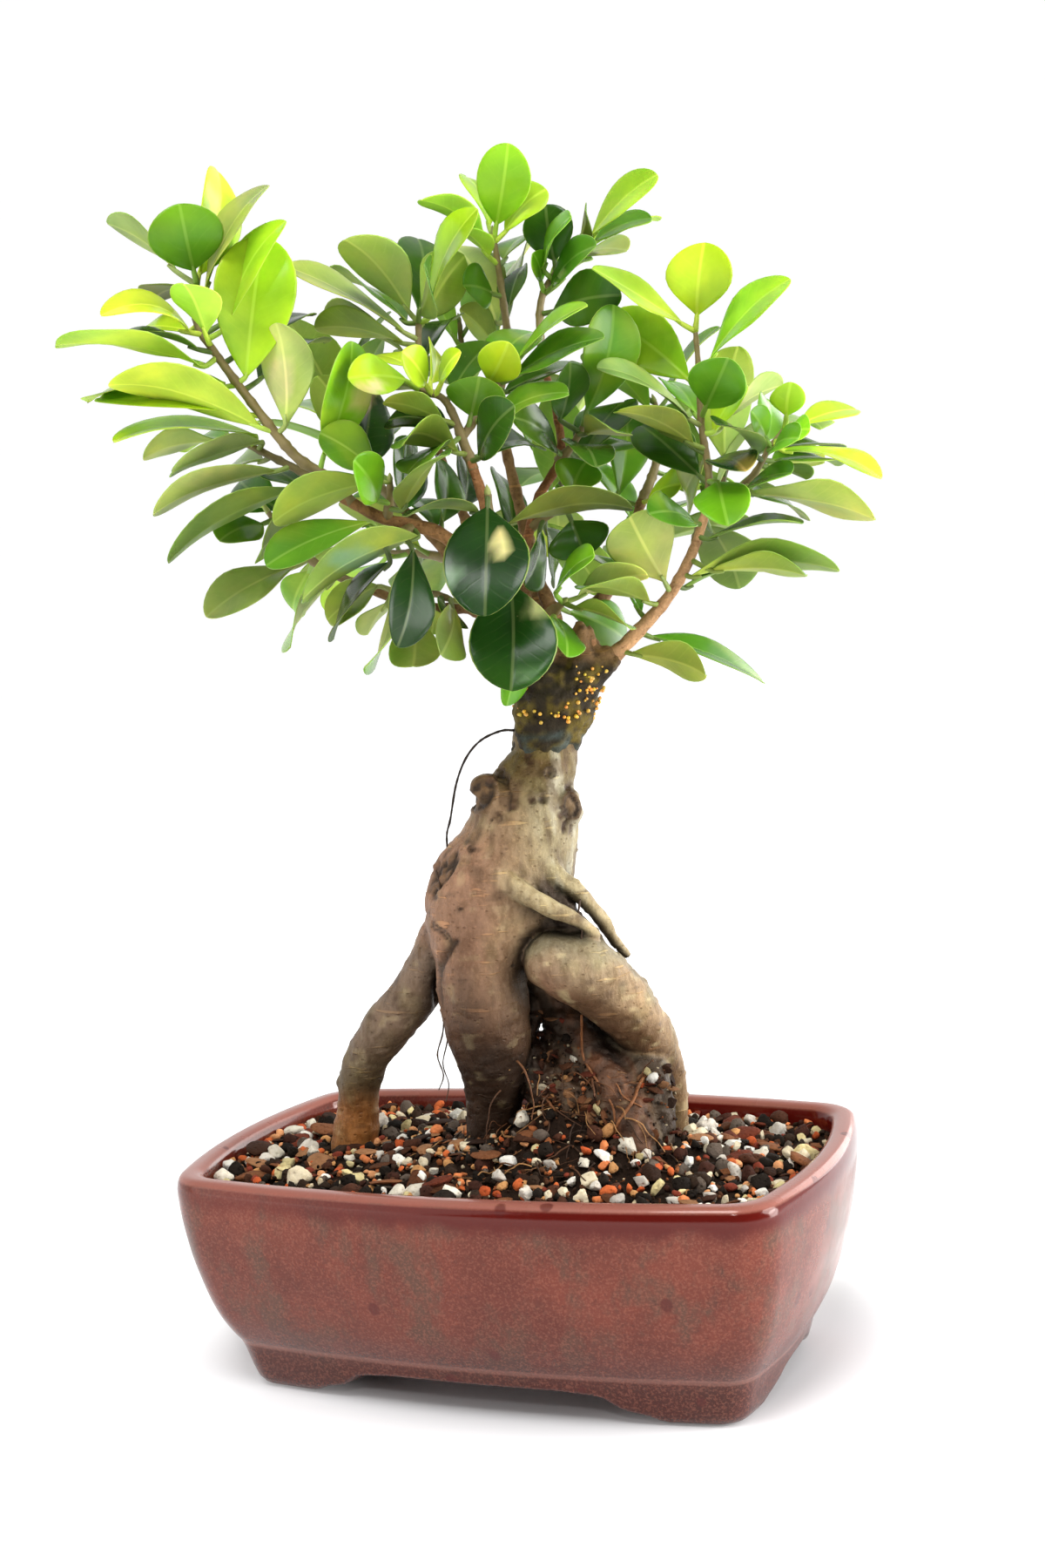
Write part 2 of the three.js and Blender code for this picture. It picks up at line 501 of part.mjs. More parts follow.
function solidOf(geometry) {
  const bare = geometry.clone();
  bare.deleteAttribute('normal');
  bare.deleteAttribute('uv');
  const merged = mergeVertices(bare, 1e-4);
  const corners = Array.from(merged.index.array);
  const vertProperties = new Float32Array(merged.attributes.position.array);
  const closed = () => {
    const triVerts = new Uint32Array(corners);
    return new wasm.Manifold(new wasm.Mesh({ numProp: 3, vertProperties, triVerts }));
  };
  const solid = closed();
  if (solid.volume() > 0) return solid;
  for (let i = 0; i < corners.length; i += 3) {
    [corners[i], corners[i + 1]] = [corners[i + 1], corners[i]];
  }
  return closed();
}

const joined = (solids) => wasm.Manifold.union(solids);

function largestPiece(solid) {
  const pieces = solid.decompose();
  return pieces.reduce((best, piece) => (piece.volume() > best.volume() ? piece : best));
}

function meshFrom(solid, name, colour, roughness) {
  const { vertProperties, triVerts } = solid.asOriginal().simplify(SLIVER_SIZE).getMesh();
  const geometry = new THREE.BufferGeometry();
  geometry.setAttribute('position', new THREE.Float32BufferAttribute(vertProperties, 3));
  geometry.setIndex(Array.from(triVerts));
  geometry.computeVertexNormals();
  const material = new THREE.MeshStandardMaterial({ color: colour, roughness, metalness: 0 });
  const mesh = new THREE.Mesh(geometry, material);
  mesh.name = name;
  return mesh;
}

// A skin over rings with equal point counts, closed by a fan at each end
function loft(rings) {
  const count = rings[0].length;
  const points = rings.flat();
  const triangles = [];
  for (let k = 0; k + 1 < rings.length; k += 1) {
    for (let i = 0; i < count; i += 1) {
      const a = k * count + i;
      const b = k * count + ((i + 1) % count);
      triangles.push([a, b, b + count], [a, b + count, a + count]);
    }
  }
  const last = (rings.length - 1) * count;
  for (let i = 1; i + 1 < count; i += 1) {
    triangles.push([0, i + 1, i], [last, last + i, last + i + 1]);
  }
  return solidFrom(points, triangles);
}

function taperedTube(links, sides) {
  const rings = [];
  let side = null;
  links.forEach(({ p, r }, k) => {
    const before = links[Math.max(k - 1, 0)].p;
    const after = links[Math.min(k + 1, links.length - 1)].p;
    const along = after.clone().sub(before).normalize();
    const seed = side ?? vec(0.31, 0.87, 0.38);
    side = seed.clone().addScaledVector(along, -seed.dot(along)).normalize();
    const across = vec().crossVectors(along, side);
    const ring = [];
    for (let i = 0; i < sides; i += 1) {
      const turn = (2 * Math.PI * i) / sides;
      const out = side.clone().multiplyScalar(Math.cos(turn)).addScaledVector(across, Math.sin(turn));
      ring.push(p.clone().addScaledVector(out, r));
    }
    rings.push(ring);
  });
  return loft(rings);
}

// Pot outline: bowed sides joined by round corners
const SIDE_STEPS = 3;
const CORNER_STEPS = 3;

function bowedSide(half, bow) {
  const radius = (half * half + bow * bow) / (2 * bow);
  const reach = Math.asin(half / radius);
  return { reach, at: (turn) => [radius * Math.sin(turn), radius * Math.cos(turn) - radius + bow] };
}

function potQuarter(inset) {
  const corner = Math.max(POT_CORNER_RADIUS - CORNER_RADIUS_LOSS * inset, 4);
  const longBow = LONG_SIDE_BOW * (1 - inset / BOW_FADE_INSET);
  const shortBow = SHORT_SIDE_BOW * (1 - inset / BOW_FADE_INSET);
  const coreX = POT_LENGTH / 2 - inset - shortBow - corner;
  const coreY = POT_DEPTH / 2 - inset - longBow - corner;
  const long = bowedSide(coreX, longBow);
  const short = bowedSide(coreY, shortBow);
  const quarter = [];
  for (let i = 0; i <= SIDE_STEPS; i += 1) {
    const turn = (long.reach * i) / SIDE_STEPS;
    const [x, y] = long.at(turn);
    quarter.push([x + corner * Math.sin(turn), y + coreY + corner * Math.cos(turn)]);
  }
  for (let i = 1; i < CORNER_STEPS; i += 1) {
    const turn = mix(long.reach, Math.PI / 2 - short.reach, i / CORNER_STEPS);
    quarter.push([coreX + corner * Math.sin(turn), coreY + corner * Math.cos(turn)]);
  }
  for (let i = SIDE_STEPS; i >= 0; i -= 1) {
    const turn = (short.reach * i) / SIDE_STEPS;
    const [y, x] = short.at(turn);
    quarter.push([x + coreX + corner * Math.cos(turn), y + corner * Math.sin(turn)]);
  }
  return quarter;
}

function potRing(inset, z) {
  const quarter = potQuarter(inset);
  const back = quarter.slice(0, -1).reverse().map(([x, y]) => [x, -y]);
  const half = [...quarter, ...back];
  const other = half.slice(1, -1).reverse().map(([x, y]) => [-x, y]);
  return [...half, ...other].map(([x, y]) => vec(x, y, z));
}

function archCutter(steps, length, alongX) {
  const mirrored = steps.map(([x, z]) => [-x, z]).reverse();
  const shape = new THREE.Shape([...steps, ...mirrored].map(([x, z]) => new THREE.Vector2(x, z)));
  const geometry = new THREE.ExtrudeGeometry(shape, { depth: length, bevelEnabled: false });
  geometry.translate(0, 0, -length / 2);
  geometry.rotateX(Math.PI / 2);
  if (alongX) {
    geometry.rotateZ(Math.PI / 2);
  }
  return solidOf(geometry);
}

function buildPot() {
  const outside = loft(OUTER_PROFILE.map(([inset, z]) => potRing(inset, z)));
  const inside = loft(INNER_PROFILE.map(([inset, z]) => potRing(inset, z)));
  const recess = loft([[RECESS_INSET, -1],
    [RECESS_INSET, RECESS_HEIGHT]].map(([inset, z]) => potRing(inset, z)));
  let pot = outside.subtract(inside).subtract(recess);
  pot = pot.subtract(archCutter(LONG_ARCH, POT_DEPTH, false));
  pot = pot.subtract(archCutter(SHORT_ARCH, POT_LENGTH, true));
  for (const x of [-DRAIN_OFFSET, DRAIN_OFFSET]) {
    const hole = new THREE.CylinderGeometry(DRAIN_RADIUS, DRAIN_RADIUS, POT_HEIGHT, 16);
    hole.rotateX(Math.PI / 2);
    hole.translate(x, 0, 0);
    pot = pot.subtract(solidOf(hole));
  }
  return pot;
}

function screenBlock(x, grow) {
  const floor = INNER_PROFILE[0][1];
  const block = new THREE.BoxGeometry(SCREEN_SIZE + grow, SCREEN_SIZE + grow, SCREEN_THICKNESS + grow);
  block.translate(x, 0, floor + GAP + SCREEN_THICKNESS / 2);
  return block;
}

function buildScreen(x) {
  let screen = solidOf(screenBlock(x, 0));
  for (const i of [-0.5, 0.5]) {
    for (const j of [-0.5, 0.5]) {
      const hole = new THREE.BoxGeometry(SCREEN_HOLE, SCREEN_HOLE, POT_HEIGHT);
      hole.translate(x + i * SCREEN_PITCH, j * SCREEN_PITCH, 0);
      screen = screen.subtract(solidOf(hole));
    }
  }
  return screen;
}

const grown = (links, distance) => links.map(({ p, r }) => ({ p, r: r + distance }));

// A limb with both ends rounded off
function domed(links) {
  const dome = (end, next) => {
    const out = vec().subVectors(end.p, next.p).normalize();
    return DOME_STEPS.map(([reach, share]) => {
      const p = end.p.clone().addScaledVector(out, reach * end.r);
      return { p, r: share * end.r };
    });
  };
  return [...dome(links[0], links[1]).reverse(), ...links, ...dome(links.at(-1), links.at(-2))];
}

function linksOf(table) {
  return Object.fromEntries(Object.entries(table).map(([name, rows]) => [name, chain(rows)]));
}
const LIMB_LINKS = linksOf(LIMBS);
const COLLAR_LINKS = linksOf(COLLAR);
const BRANCH_LINKS = linksOf(BRANCHES);

// Leaves
const WAYS = ROLL_STEPS.flatMap((turn) => LEAN_STEPS.map((share) => [share, turn]));

function leafFromRow(row, stems) {
  const [u0, v0, u1, v1, seenWidth, tone, lean, length, arch] = row;
  const root = nearestOnStems(stems, u0, v0);
  const seenLength = Math.hypot(u1 - root.u, v1 - root.v);
  const hidden = Math.sqrt(Math.max(length * length - seenLength * seenLength, 0));
  const range = Math.max(hidden, LEAST_LEAN_RANGE);
  const width = Math.max(LEAF_WIDTH_RATIO * length, seenWidth);
  const tilt = Math.acos(Math.min(seenWidth / width, 1));
  const roll = tone.startsWith('under') ? Math.PI - tilt : tilt;
  const shape = ([share, turn]) => {
    const reach = share * lean * range;
    const start = place(root.u, root.v, root.w);
    const tip = place(u1, v1, root.w + reach);
    const apart = Math.hypot(u0 - root.u, v0 - root.v);
    const along = Math.max(apart, PETIOLE_LENGTH) / Math.max(seenLength, PETIOLE_LENGTH * 2);
    const base = apart > PETIOLE_LENGTH * NEAR_PETIOLE_SHARE
      ? place(u0, v0, root.w + reach * Math.min(along, MOST_BASE_SHARE))
      : start.clone().lerp(tip, Math.min(PETIOLE_LENGTH / start.distanceTo(tip), MOST_PETIOLE_SHARE));
    const leaf = { start, base, tip, width, arch: arch ?? DEFAULT_ARCH, seenWidth };
    return { ...leaf, normal: leafNormal(base, tip, roll + radians(turn)) };
  };
  return WAYS.map(shape);
}

function nearestOnStems(stems, u, v) {
  let best = null;
  for (const rows of stems) {
    for (let k = 0; k + 1 < rows.length; k += 1) {
      const [ua, va, wa] = rows[k];
      const [ub, vb, wb] = rows[k + 1];
      const length = (ub - ua) ** 2 + (vb - va) ** 2;
      const t = THREE.MathUtils.clamp(((u - ua) * (ub - ua) + (v - va) * (vb - va)) / length, 0, 1);
      const near = { u: mix(ua, ub, t), v: mix(va, vb, t), w: mix(wa, wb, t) };
      near.distance = Math.hypot(near.u - u, near.v - v);
      if (!best || near.distance < best.distance) {
        best = near;
      }
    }
  }
  return best;
}

// The direction a leaf's upper face looks in, rolled about the leaf away from the viewer
function leafNormal(base, tip, roll) {
  const along = vec().subVectors(tip, base).normalize();
  const toEye = vec().subVectors(SIGHT.eye, base).normalize();
  const facing = toEye.clone().addScaledVector(along, -toEye.dot(along)).normalize();
  const sideways = vec().crossVectors(along, facing);
  const wanted = SIGHT.up.clone().addScaledVector(SIGHT.right, ROLL_RIGHT_SHARE);
  if (sideways.dot(wanted) < 0) {
    sideways.negate();
  }
  return facing.multiplyScalar(Math.cos(roll)).addScaledVector(sideways, Math.sin(roll));
}

function backLeaves(rows, count, turn) {
  const links = chain(rows);
  const leaves = [];
  for (let i = 0; i < count; i += 1) {
    const t = mix(0.3, 1, i / (count - 1)) * (links.length - 1);
    const k = Math.min(Math.floor(t), links.length - 2);
    const start = links[k].p.clone().lerp(links[k + 1].p, t - k);
    const axis = vec().subVectors(links[k + 1].p, links[k].p).normalize();
    const side = SIGHT.back.clone().addScaledVector(axis, -SIGHT.back.dot(axis)).normalize();
    const across = vec().crossVectors(axis, side);
    const length = mix(...BACK_LEAF_LENGTH, draw(i, turn));
    const shape = ([share, swing]) => {
      const angle = turn + i * GOLDEN_TURN + (share - 1) * 0.6 + radians(swing);
      const rise = mix(0.9, 1.25, draw(i, turn + 5)) - 0.5 * (i / count);
      const heading = axis.clone().multiplyScalar(Math.cos(rise))
        .addScaledVector(side, Math.sin(rise) * Math.cos(angle))
        .addScaledVector(across, Math.sin(rise) * Math.sin(angle));
      const base = start.clone().addScaledVector(heading, PETIOLE_LENGTH);
      const tip = start.clone().addScaledVector(heading, length);
      const normal = vec(0, 0, 1).addScaledVector(heading, -heading.z).addScaledVector(axis, 0.4);
      normal.addScaledVector(heading, -normal.dot(heading)).normalize();
      const width = length * LEAF_WIDTH_RATIO;
      return { start, base, tip, width, arch: DEFAULT_ARCH, normal, seenWidth: 0 };
    };
    leaves.push(WAYS.map(shape));
  }
  return leaves;
}

function widthShare(t) {
  return Math.sin(Math.PI * Math.pow(t, 1.25)) ** 0.75;
}

function leafSamples(leaf) {
  const { base, tip, width, arch, normal } = leaf;
  const along = vec().subVectors(tip, base);
  const side = vec().crossVectors(normal, along).normalize();
  const samples = [];
  for (let i = 1; i <= 10; i += 1) {
    const t = i / 10;
    const rise = arch * along.length() * 4 * t * (1 - t);
    const centre = base.clone().addScaledVector(along, t).addScaledVector(normal, rise);
    for (let j = -3; j <= 3; j += 1) {
      const out = (j / 3) * 0.5 * width * widthShare(Math.min(t, 0.97));
      samples.push({ p: centre.clone().addScaledVector(side, out), t });
    }
  }
  return samples;
}

function stemSamples(links, owner) {
  const samples = [];
  for (let k = 0; k + 1 < links.length; k += 1) {
    const [near, far] = [links[k], links[k + 1]];
    const steps = Math.max(Math.ceil(near.p.distanceTo(far.p) / STEM_SAMPLE_PITCH), 1);
    for (let i = 0; i <= steps; i += 1) {
      const t = i / steps;
      samples.push({ p: near.p.clone().lerp(far.p, t), r: mix(near.r, far.r, t), owner });
    }
  }
  return samples;
}

const middleOf = (samples) => samples[Math.floor(samples.length / 2)].p;
const pastFreePart = (samples) => samples.filter(({ t }) => t >= OWN_LEAF_FREE_SHARE);

// How far short of its wanted clearance a leaf comes; zero when it is clear of everything
function shortfall(samples, owner, placed, stems) {
  let worst = 0;
  const middle = middleOf(samples);
  const outer = pastFreePart(samples);
  for (const other of placed.filter((leaf) => middle.distanceTo(leaf.middle) < SAMPLE_REACH)) {
    const own = other.owner === owner;
    const wanted = own ? OWN_LEAF_CLEARANCE : LEAF_CLEARANCE;
    const weight = own ? OWN_LEAF_WEIGHT : 1;
    for (const a of own ? outer : samples) {
      for (const b of own ? other.outer : other.samples) {
        worst = Math.max(worst, weight * (wanted - a.p.distanceTo(b.p)));
      }
    }
  }
  for (const stem of stems.filter(({ p }) => middle.distanceTo(p) < SAMPLE_REACH)) {
    for (const a of stem.owner === owner ? outer : samples) {
      worst = Math.max(worst, stem.r + STEM_CLEARANCE - a.p.distanceTo(stem.p));
    }
  }
  return worst;
}

// Each leaf leans as its row says, or else the least amount that keeps it clear of what was placed before
function settleLeaves(groups, stems) {
  const placed = [];
  const settled = {};
  for (const [owner, leaves] of Object.entries(groups)) {
    settled[owner] = leaves.map((shapes) => {
      let best = null;
      for (const leaf of shapes) {
        const samples = leafSamples(leaf);
        const lack = shortfall(samples, owner, placed, stems);
        if (!best || lack < best.lack - LEAST_GAIN) {
          best = { leaf, samples, lack };
        }
        if (best.lack === 0) {
          break;
        }
      }
      const { leaf, samples } = best;
      placed.push({ owner, samples, outer: pastFreePart(samples), middle: middleOf(samples) });
      return leaf;
    });
  }
  return settled;
}

function leafSolid({ start, base, tip, width, arch, normal, seenWidth }) {
  const along = vec().subVectors(tip, base);
  const side = vec().crossVectors(normal, along).normalize();
  const lesser = seenWidth < LESSER_WIDTH;
  const broad = seenWidth < LARGE_WIDTH ? FULL_STATIONS : LARGE_STATIONS;
  const stations = lesser ? LESSER_STATIONS : broad;
  const length = along.length();
  const rows = [{ centre: start, out: PETIOLE_FOOT, half: PETIOLE_THICKNESS / 2 }];
  if (!lesser) {
    rows.push({ centre: base, out: PETIOLE_HALF_WIDTH, half: PETIOLE_THICKNESS / 2 });
  }
  for (const [t, share] of stations) {
    const rise = arch * length * 4 * t * (1 - t);
    const centre = base.clone().addScaledVector(along, t).addScaledVector(normal, rise);
    rows.push({ centre, out: share * width * 0.5, half: BLADE_THICKNESS / 2, folded: !lesser });
  }
  const top = [];
  const faces = [];
  const edgeLeft = [];
  const edgeRight = [];
  let previous = null;
  const add = (p, half) => {
    top.push({ p, half });
    return top.length - 1;
  };
  for (const { centre, out, half, folded } of rows) {
    const lift = folded ? FOLD * out : 0;
    const left = add(centre.clone().addScaledVector(side, -out).addScaledVector(normal, lift), half);
    const middle = folded ? add(centre.clone(), half) : null;
    const right = add(centre.clone().addScaledVector(side, out).addScaledVector(normal, lift), half);
    const current = middle === null ? [left, right] : [left, middle, right];
    if (previous) {
      faces.push(...stripBetween(previous, current));
    }
    edgeLeft.push(left);
    edgeRight.push(right);
    previous = current;
  }
  const point = add(tip.clone(), BLADE_THICKNESS / 2);
  for (let i = 0; i + 1 < previous.length; i += 1) {
    faces.push([previous[i], previous[i + 1], point]);
  }
  const border = [...edgeRight, point, ...edgeLeft.reverse()];
  const count = top.length;
  const points = [
    ...top.map(({ p, half }) => p.clone().addScaledVector(normal, half)),
    ...top.map(({ p, half }) => p.clone().addScaledVector(normal, -half)),
  ];
  const triangles = [...faces, ...faces.map(([a, b, c]) => [a + count, c + count, b + count])];
  for (let i = 0; i < border.length; i += 1) {
    const a = border[i];
    const b = border[(i + 1) % border.length];
    triangles.push([b, a, a + count], [b, a + count, b + count]);
  }
  return solidFrom(points, triangles);
}

function stripBetween(near, far) {
  if (near.length === far.length) {
    return near.slice(1).flatMap((next, i) => [[near[i], next, far[i + 1]],
      [near[i], far[i + 1], far[i]]]);
  }
  return [[near[0], near[1], far[1]], [near[0], far[1], far[0]], [near[1], far[2], far[1]]];
}

// Soil
function soilHeight(x, y) {
  let height = SOIL_RIM_HEIGHT;
  for (const { at, spread, rise } of MOUNDS) {
    const centre = place(...at);
    const away = ((x - centre.x) / spread[0]) ** 2 + ((y - centre.y) / spread[1]) ** 2;
    height += rise * Math.exp(-away / 2);
  }
  return height;
}

function soilRelief() {
  const [nx, ny] = SOIL_GRID;
  const points = [];
  for (const level of ['top', 'bottom']) {
    for (let j = 0; j <= ny; j += 1) {
      for (let i = 0; i <= nx; i += 1) {
        const shift = level === 'top' ? 0.5 : 0;
        const x = POT_LENGTH * ((i + shift * (draw(i + 40 * j, 1) - 0.5)) / nx - 0.5);
        const y = POT_DEPTH * ((j + shift * (draw(i + 40 * j, 2) - 0.5)) / ny - 0.5);
        const rough = SOIL_ROUGHNESS * (2 * draw(i + 40 * j, 3) - 1);
        points.push(vec(x, y, level === 'top' ? soilHeight(x, y) + rough : 0));
      }
    }
  }
  const row = nx + 1;
  const count = row * (ny + 1);
  const triangles = [];
  const skirt = (a, b) => triangles.push([a, b, b + count], [a, b + count, a + count]);
  for (let j = 0; j < ny; j += 1) {
    for (let i = 0; i < nx; i += 1) {
      const a = j * row + i;
      const quad = [[a, a + 1, a + row + 1], [a, a + row + 1, a + row]];
      triangles.push(...quad, ...quad.map(([p, q, r]) => [p + count, r + count, q + count]));
    }
  }
  for (let i = 0; i < nx; i += 1) {
    skirt(i + 1, i);
    skirt(ny * row + i, ny * row + i + 1);
  }
  for (let j = 0; j < ny; j += 1) {
    skirt(j * row, (j + 1) * row);
    skirt((j + 1) * row + nx, j * row + nx);
  }
  return solidFrom(points, triangles);
}

function grain(index) {
  const reach = [POT_LENGTH / 2 - 20, POT_DEPTH / 2 - 20];
  const x = reach[0] * (2 * draw(index, 11) - 1);
  const y = reach[1] * (2 * draw(index, 12) - 1);
  const radius = mix(...GRAIN_RADIUS, draw(index, 13));
  const geometry = new THREE.OctahedronGeometry(radius, 0);
  geometry.scale(1, mix(0.7, 1, draw(index, 14)), mix(0.55, 0.85, draw(index, 15)));
  geometry.rotateX(Math.PI * draw(index, 16));
  geometry.rotateY(Math.PI * draw(index, 17));
  geometry.translate(x, y, soilHeight(x, y) + radius * 0.25);
  return solidOf(geometry);
}

function buildSoil(rootRoom) {
  const fill = INNER_PROFILE.map(([inset, z], k) => {
    const floor = k === 0 ? GAP : 0;
    return potRing(inset + GAP * CORNER_GAP_SHARE, z + floor);
  });
  const grains = Array.from({ length: GRAIN_COUNT }, (_, i) => grain(i));
  const reliefAndGrains = joined([soilRelief(), ...grains]);
  const mouth = potRing(INNER_PROFILE.at(-2)[0] + GAP * CORNER_GAP_SHARE, MOUTH_HEIGHT);
  let soil = loft([...fill.slice(0, -1), mouth]).intersect(reliefAndGrains);
  soil = soil.subtract(rootRoom);
  for (const x of [-DRAIN_OFFSET, DRAIN_OFFSET]) {
    soil = soil.subtract(solidOf(screenBlock(x, 2 * GAP)));
  }
  return largestPiece(soil);
}

// The tree
function limbSolids(table, sides, distance) {
  return Object.values(table).map((links) => taperedTube(domed(grown(links, distance)), sides));
}

const armLinks = linksOf(ROOT_ARMS);
const rootstockWith = (distance) => joined([
  ...limbSolids(LIMB_LINKS, LIMB_SIDES, distance),
  ...limbSolids(armLinks, ARM_SIDES, distance),
]);
const rootstock = rootstockWith(0);
const rootstockRoom = rootstockWith(GAP);
const woodWith = (distance) => [
  ...limbSolids(COLLAR_LINKS, COLLAR_SIDES, distance),
  ...Object.values(BRANCH_LINKS).map((links) => taperedTube(grown(links, distance), BRANCH_SIDES)),
];

const woodStems = Object.values(BRANCHES);
const leafGroups = { scion_wood: WOOD_LEAVES.map((row) => leafFromRow(row, woodStems)) };
for (const [name, { stems, leaves }] of Object.entries(SHOOTS)) {
  leafGroups[name] = leaves.map((row) => leafFromRow(row, stems));
}
for (const [name, { stem, count, turn }] of Object.entries(BACK_SHOOTS)) {
  leafGroups[name] = backLeaves(stem, count, turn);
}

const samplesOf = (table, owner) => Object.values(table).flatMap((links) => stemSamples(links, owner));
const stemSpheres = [
  ...samplesOf(LIMB_LINKS, 'rootstock'),
  ...samplesOf(COLLAR_LINKS, 'scion_wood'),
  ...samplesOf(BRANCH_LINKS, 'scion_wood'),
  ...Object.entries(SHOOTS).flatMap(([name, { stems }]) => samplesOf(stems.map(chain), name)),
  ...Object.entries(BACK_SHOOTS).flatMap(([name, { stem }]) => stemSamples(chain(stem), name)),
];
const settled = settleLeaves(leafGroups, stemSpheres);

const grownWood = joined([...woodWith(0), ...settled.scion_wood.map(leafSolid)]);
const scionWood = largestPiece(grownWood.subtract(rootstockRoom));
const woodRoom = joined([...woodWith(GAP * WOOD_GAP_SHARE), rootstockRoom]);

function buildShoot(name, stems) {
  const tubes = stems.map((rows) => taperedTube(chain(rows), STEM_SIDES));
  return largestPiece(joined([...tubes, ...settled[name].map(leafSolid)]).subtract(woodRoom));
}

const plant = new THREE.Group();
plant.add(meshFrom(buildPot(), 'pot', COLOURS.glaze, 0.3));
plant.add(meshFrom(buildScreen(-DRAIN_OFFSET), 'drain_screen_left', COLOURS.screen, 0.7));
plant.add(meshFrom(buildScreen(DRAIN_OFFSET), 'drain_screen_right', COLOURS.screen, 0.7));
plant.add(meshFrom(buildSoil(rootstockRoom), 'soil', COLOURS.soil, 0.95));
plant.add(meshFrom(rootstock, 'rootstock', COLOURS.rootstock, 0.85));
plant.add(meshFrom(scionWood, 'scion_wood', COLOURS.scion, 0.85));
for (const [name, { stems }] of Object.entries(SHOOTS)) {
  const colour = YOUNG_SHOOTS.includes(name) ? COLOURS.young : COLOURS.mature;
  plant.add(meshFrom(buildShoot(name, stems), `shoot_${name}`, colour, 0.4));
}
for (const [name, { stem }] of Object.entries(BACK_SHOOTS)) {
  plant.add(meshFrom(buildShoot(name, [stem]), `shoot_${name}`, COLOURS.deep, 0.4));
}

// The whole stands with the middle of its bounding box over the origin
const bounds = new THREE.Box3().setFromObject(plant);
const middle = bounds.getCenter(vec());
plant.position.set(-middle.x, -middle.y, -bounds.min.z);

export default plant;
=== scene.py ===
import math

import bpy
import numpy as np
from mathutils import Matrix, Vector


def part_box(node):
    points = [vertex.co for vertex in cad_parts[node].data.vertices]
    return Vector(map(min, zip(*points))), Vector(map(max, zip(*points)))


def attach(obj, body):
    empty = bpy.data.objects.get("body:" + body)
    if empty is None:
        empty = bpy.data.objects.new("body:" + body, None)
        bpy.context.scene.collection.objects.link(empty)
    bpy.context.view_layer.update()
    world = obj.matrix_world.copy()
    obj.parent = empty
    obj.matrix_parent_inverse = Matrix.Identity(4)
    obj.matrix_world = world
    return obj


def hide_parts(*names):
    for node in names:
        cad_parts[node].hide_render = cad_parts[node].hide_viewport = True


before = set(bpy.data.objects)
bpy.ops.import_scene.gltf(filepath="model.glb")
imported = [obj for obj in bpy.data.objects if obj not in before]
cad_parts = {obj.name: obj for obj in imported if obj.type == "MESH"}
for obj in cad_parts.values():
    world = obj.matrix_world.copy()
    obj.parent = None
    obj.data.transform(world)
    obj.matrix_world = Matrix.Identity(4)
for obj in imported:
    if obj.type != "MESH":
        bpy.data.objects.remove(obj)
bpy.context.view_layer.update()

# A ficus ginseng bonsai: fine leaves, bark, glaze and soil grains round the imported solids.
# Shapes are worked out in millimetres with the pot's centre on the floor as the origin.

# Front view: the tree is laid out as it looks from its front, u to the right, v up, w towards the viewer
VIEW_AZIMUTH = 22.4
VIEW_ELEVATION = 5.32
VIEW_ROLL = -4.14
VIEW_DISTANCE = 698
VIEW_TARGET_SIDE = 9.83
VIEW_TARGET_HEIGHT = 204.9
LENS = 46.21
SENSOR = 36

# Pot
POT_LENGTH = 230
POT_DEPTH = 146
POT_HEIGHT = 78.4
POT_CORNER_RADIUS = 17
LONG_SIDE_BOW = 8.1
SHORT_SIDE_BOW = 6.2
CORNER_RADIUS_LOSS = 0.35
BOW_FADE_INSET = 60
OUTER_PROFILE = [
    (17.4, 13.5), (16.2, 16.6), (15.3, 18), (13.2, 21), (9.9, 27), (7.2, 34), (5, 41.5), (3.2, 48.5),
    (1.8, 56), (0.7, 63.5), (0, 71.5), (0.1, 74.4), (0.6, 76.4), (1.4, 77.7), (2.6, 78.3),
]
FOOT_PROFILE = [(24.5, 0), (22.6, 0.9), (20.8, 3), (19, 8), (17.4, 13.5)]
INNER_PROFILE = [(6.6, 78.3), (8, 77.6), (8.9, 76.2), (9.4, 74), (12.2, 53), (18, 30), (26, 18)]
RECESS_INSET = 37
RECESS_HEIGHT = 11
EDGE_ROUND = 1.1
LONG_ARCH = [(30, 10.9), (44, 9.6), (50, 5), (60, 3), (65, 0)]
SHORT_ARCH = [(8, 10.9), (15, 9.6), (20, 6), (27, 3), (31, 0)]
DRAIN_RADIUS = 8
DRAIN_OFFSET = 45

# Soil
SOIL_RIM_HEIGHT = 71.5
SOIL_INSET = 9
MOUNDS = [
    {"at": [-8, -108, -8], "spread": [46, 34], "rise": 9},
    {"at": [14, -100, -2], "spread": [13, 15], "rise": 16},
    {"at": [36, -112, 6], "spread": [17, 16], "rise": 8},
]

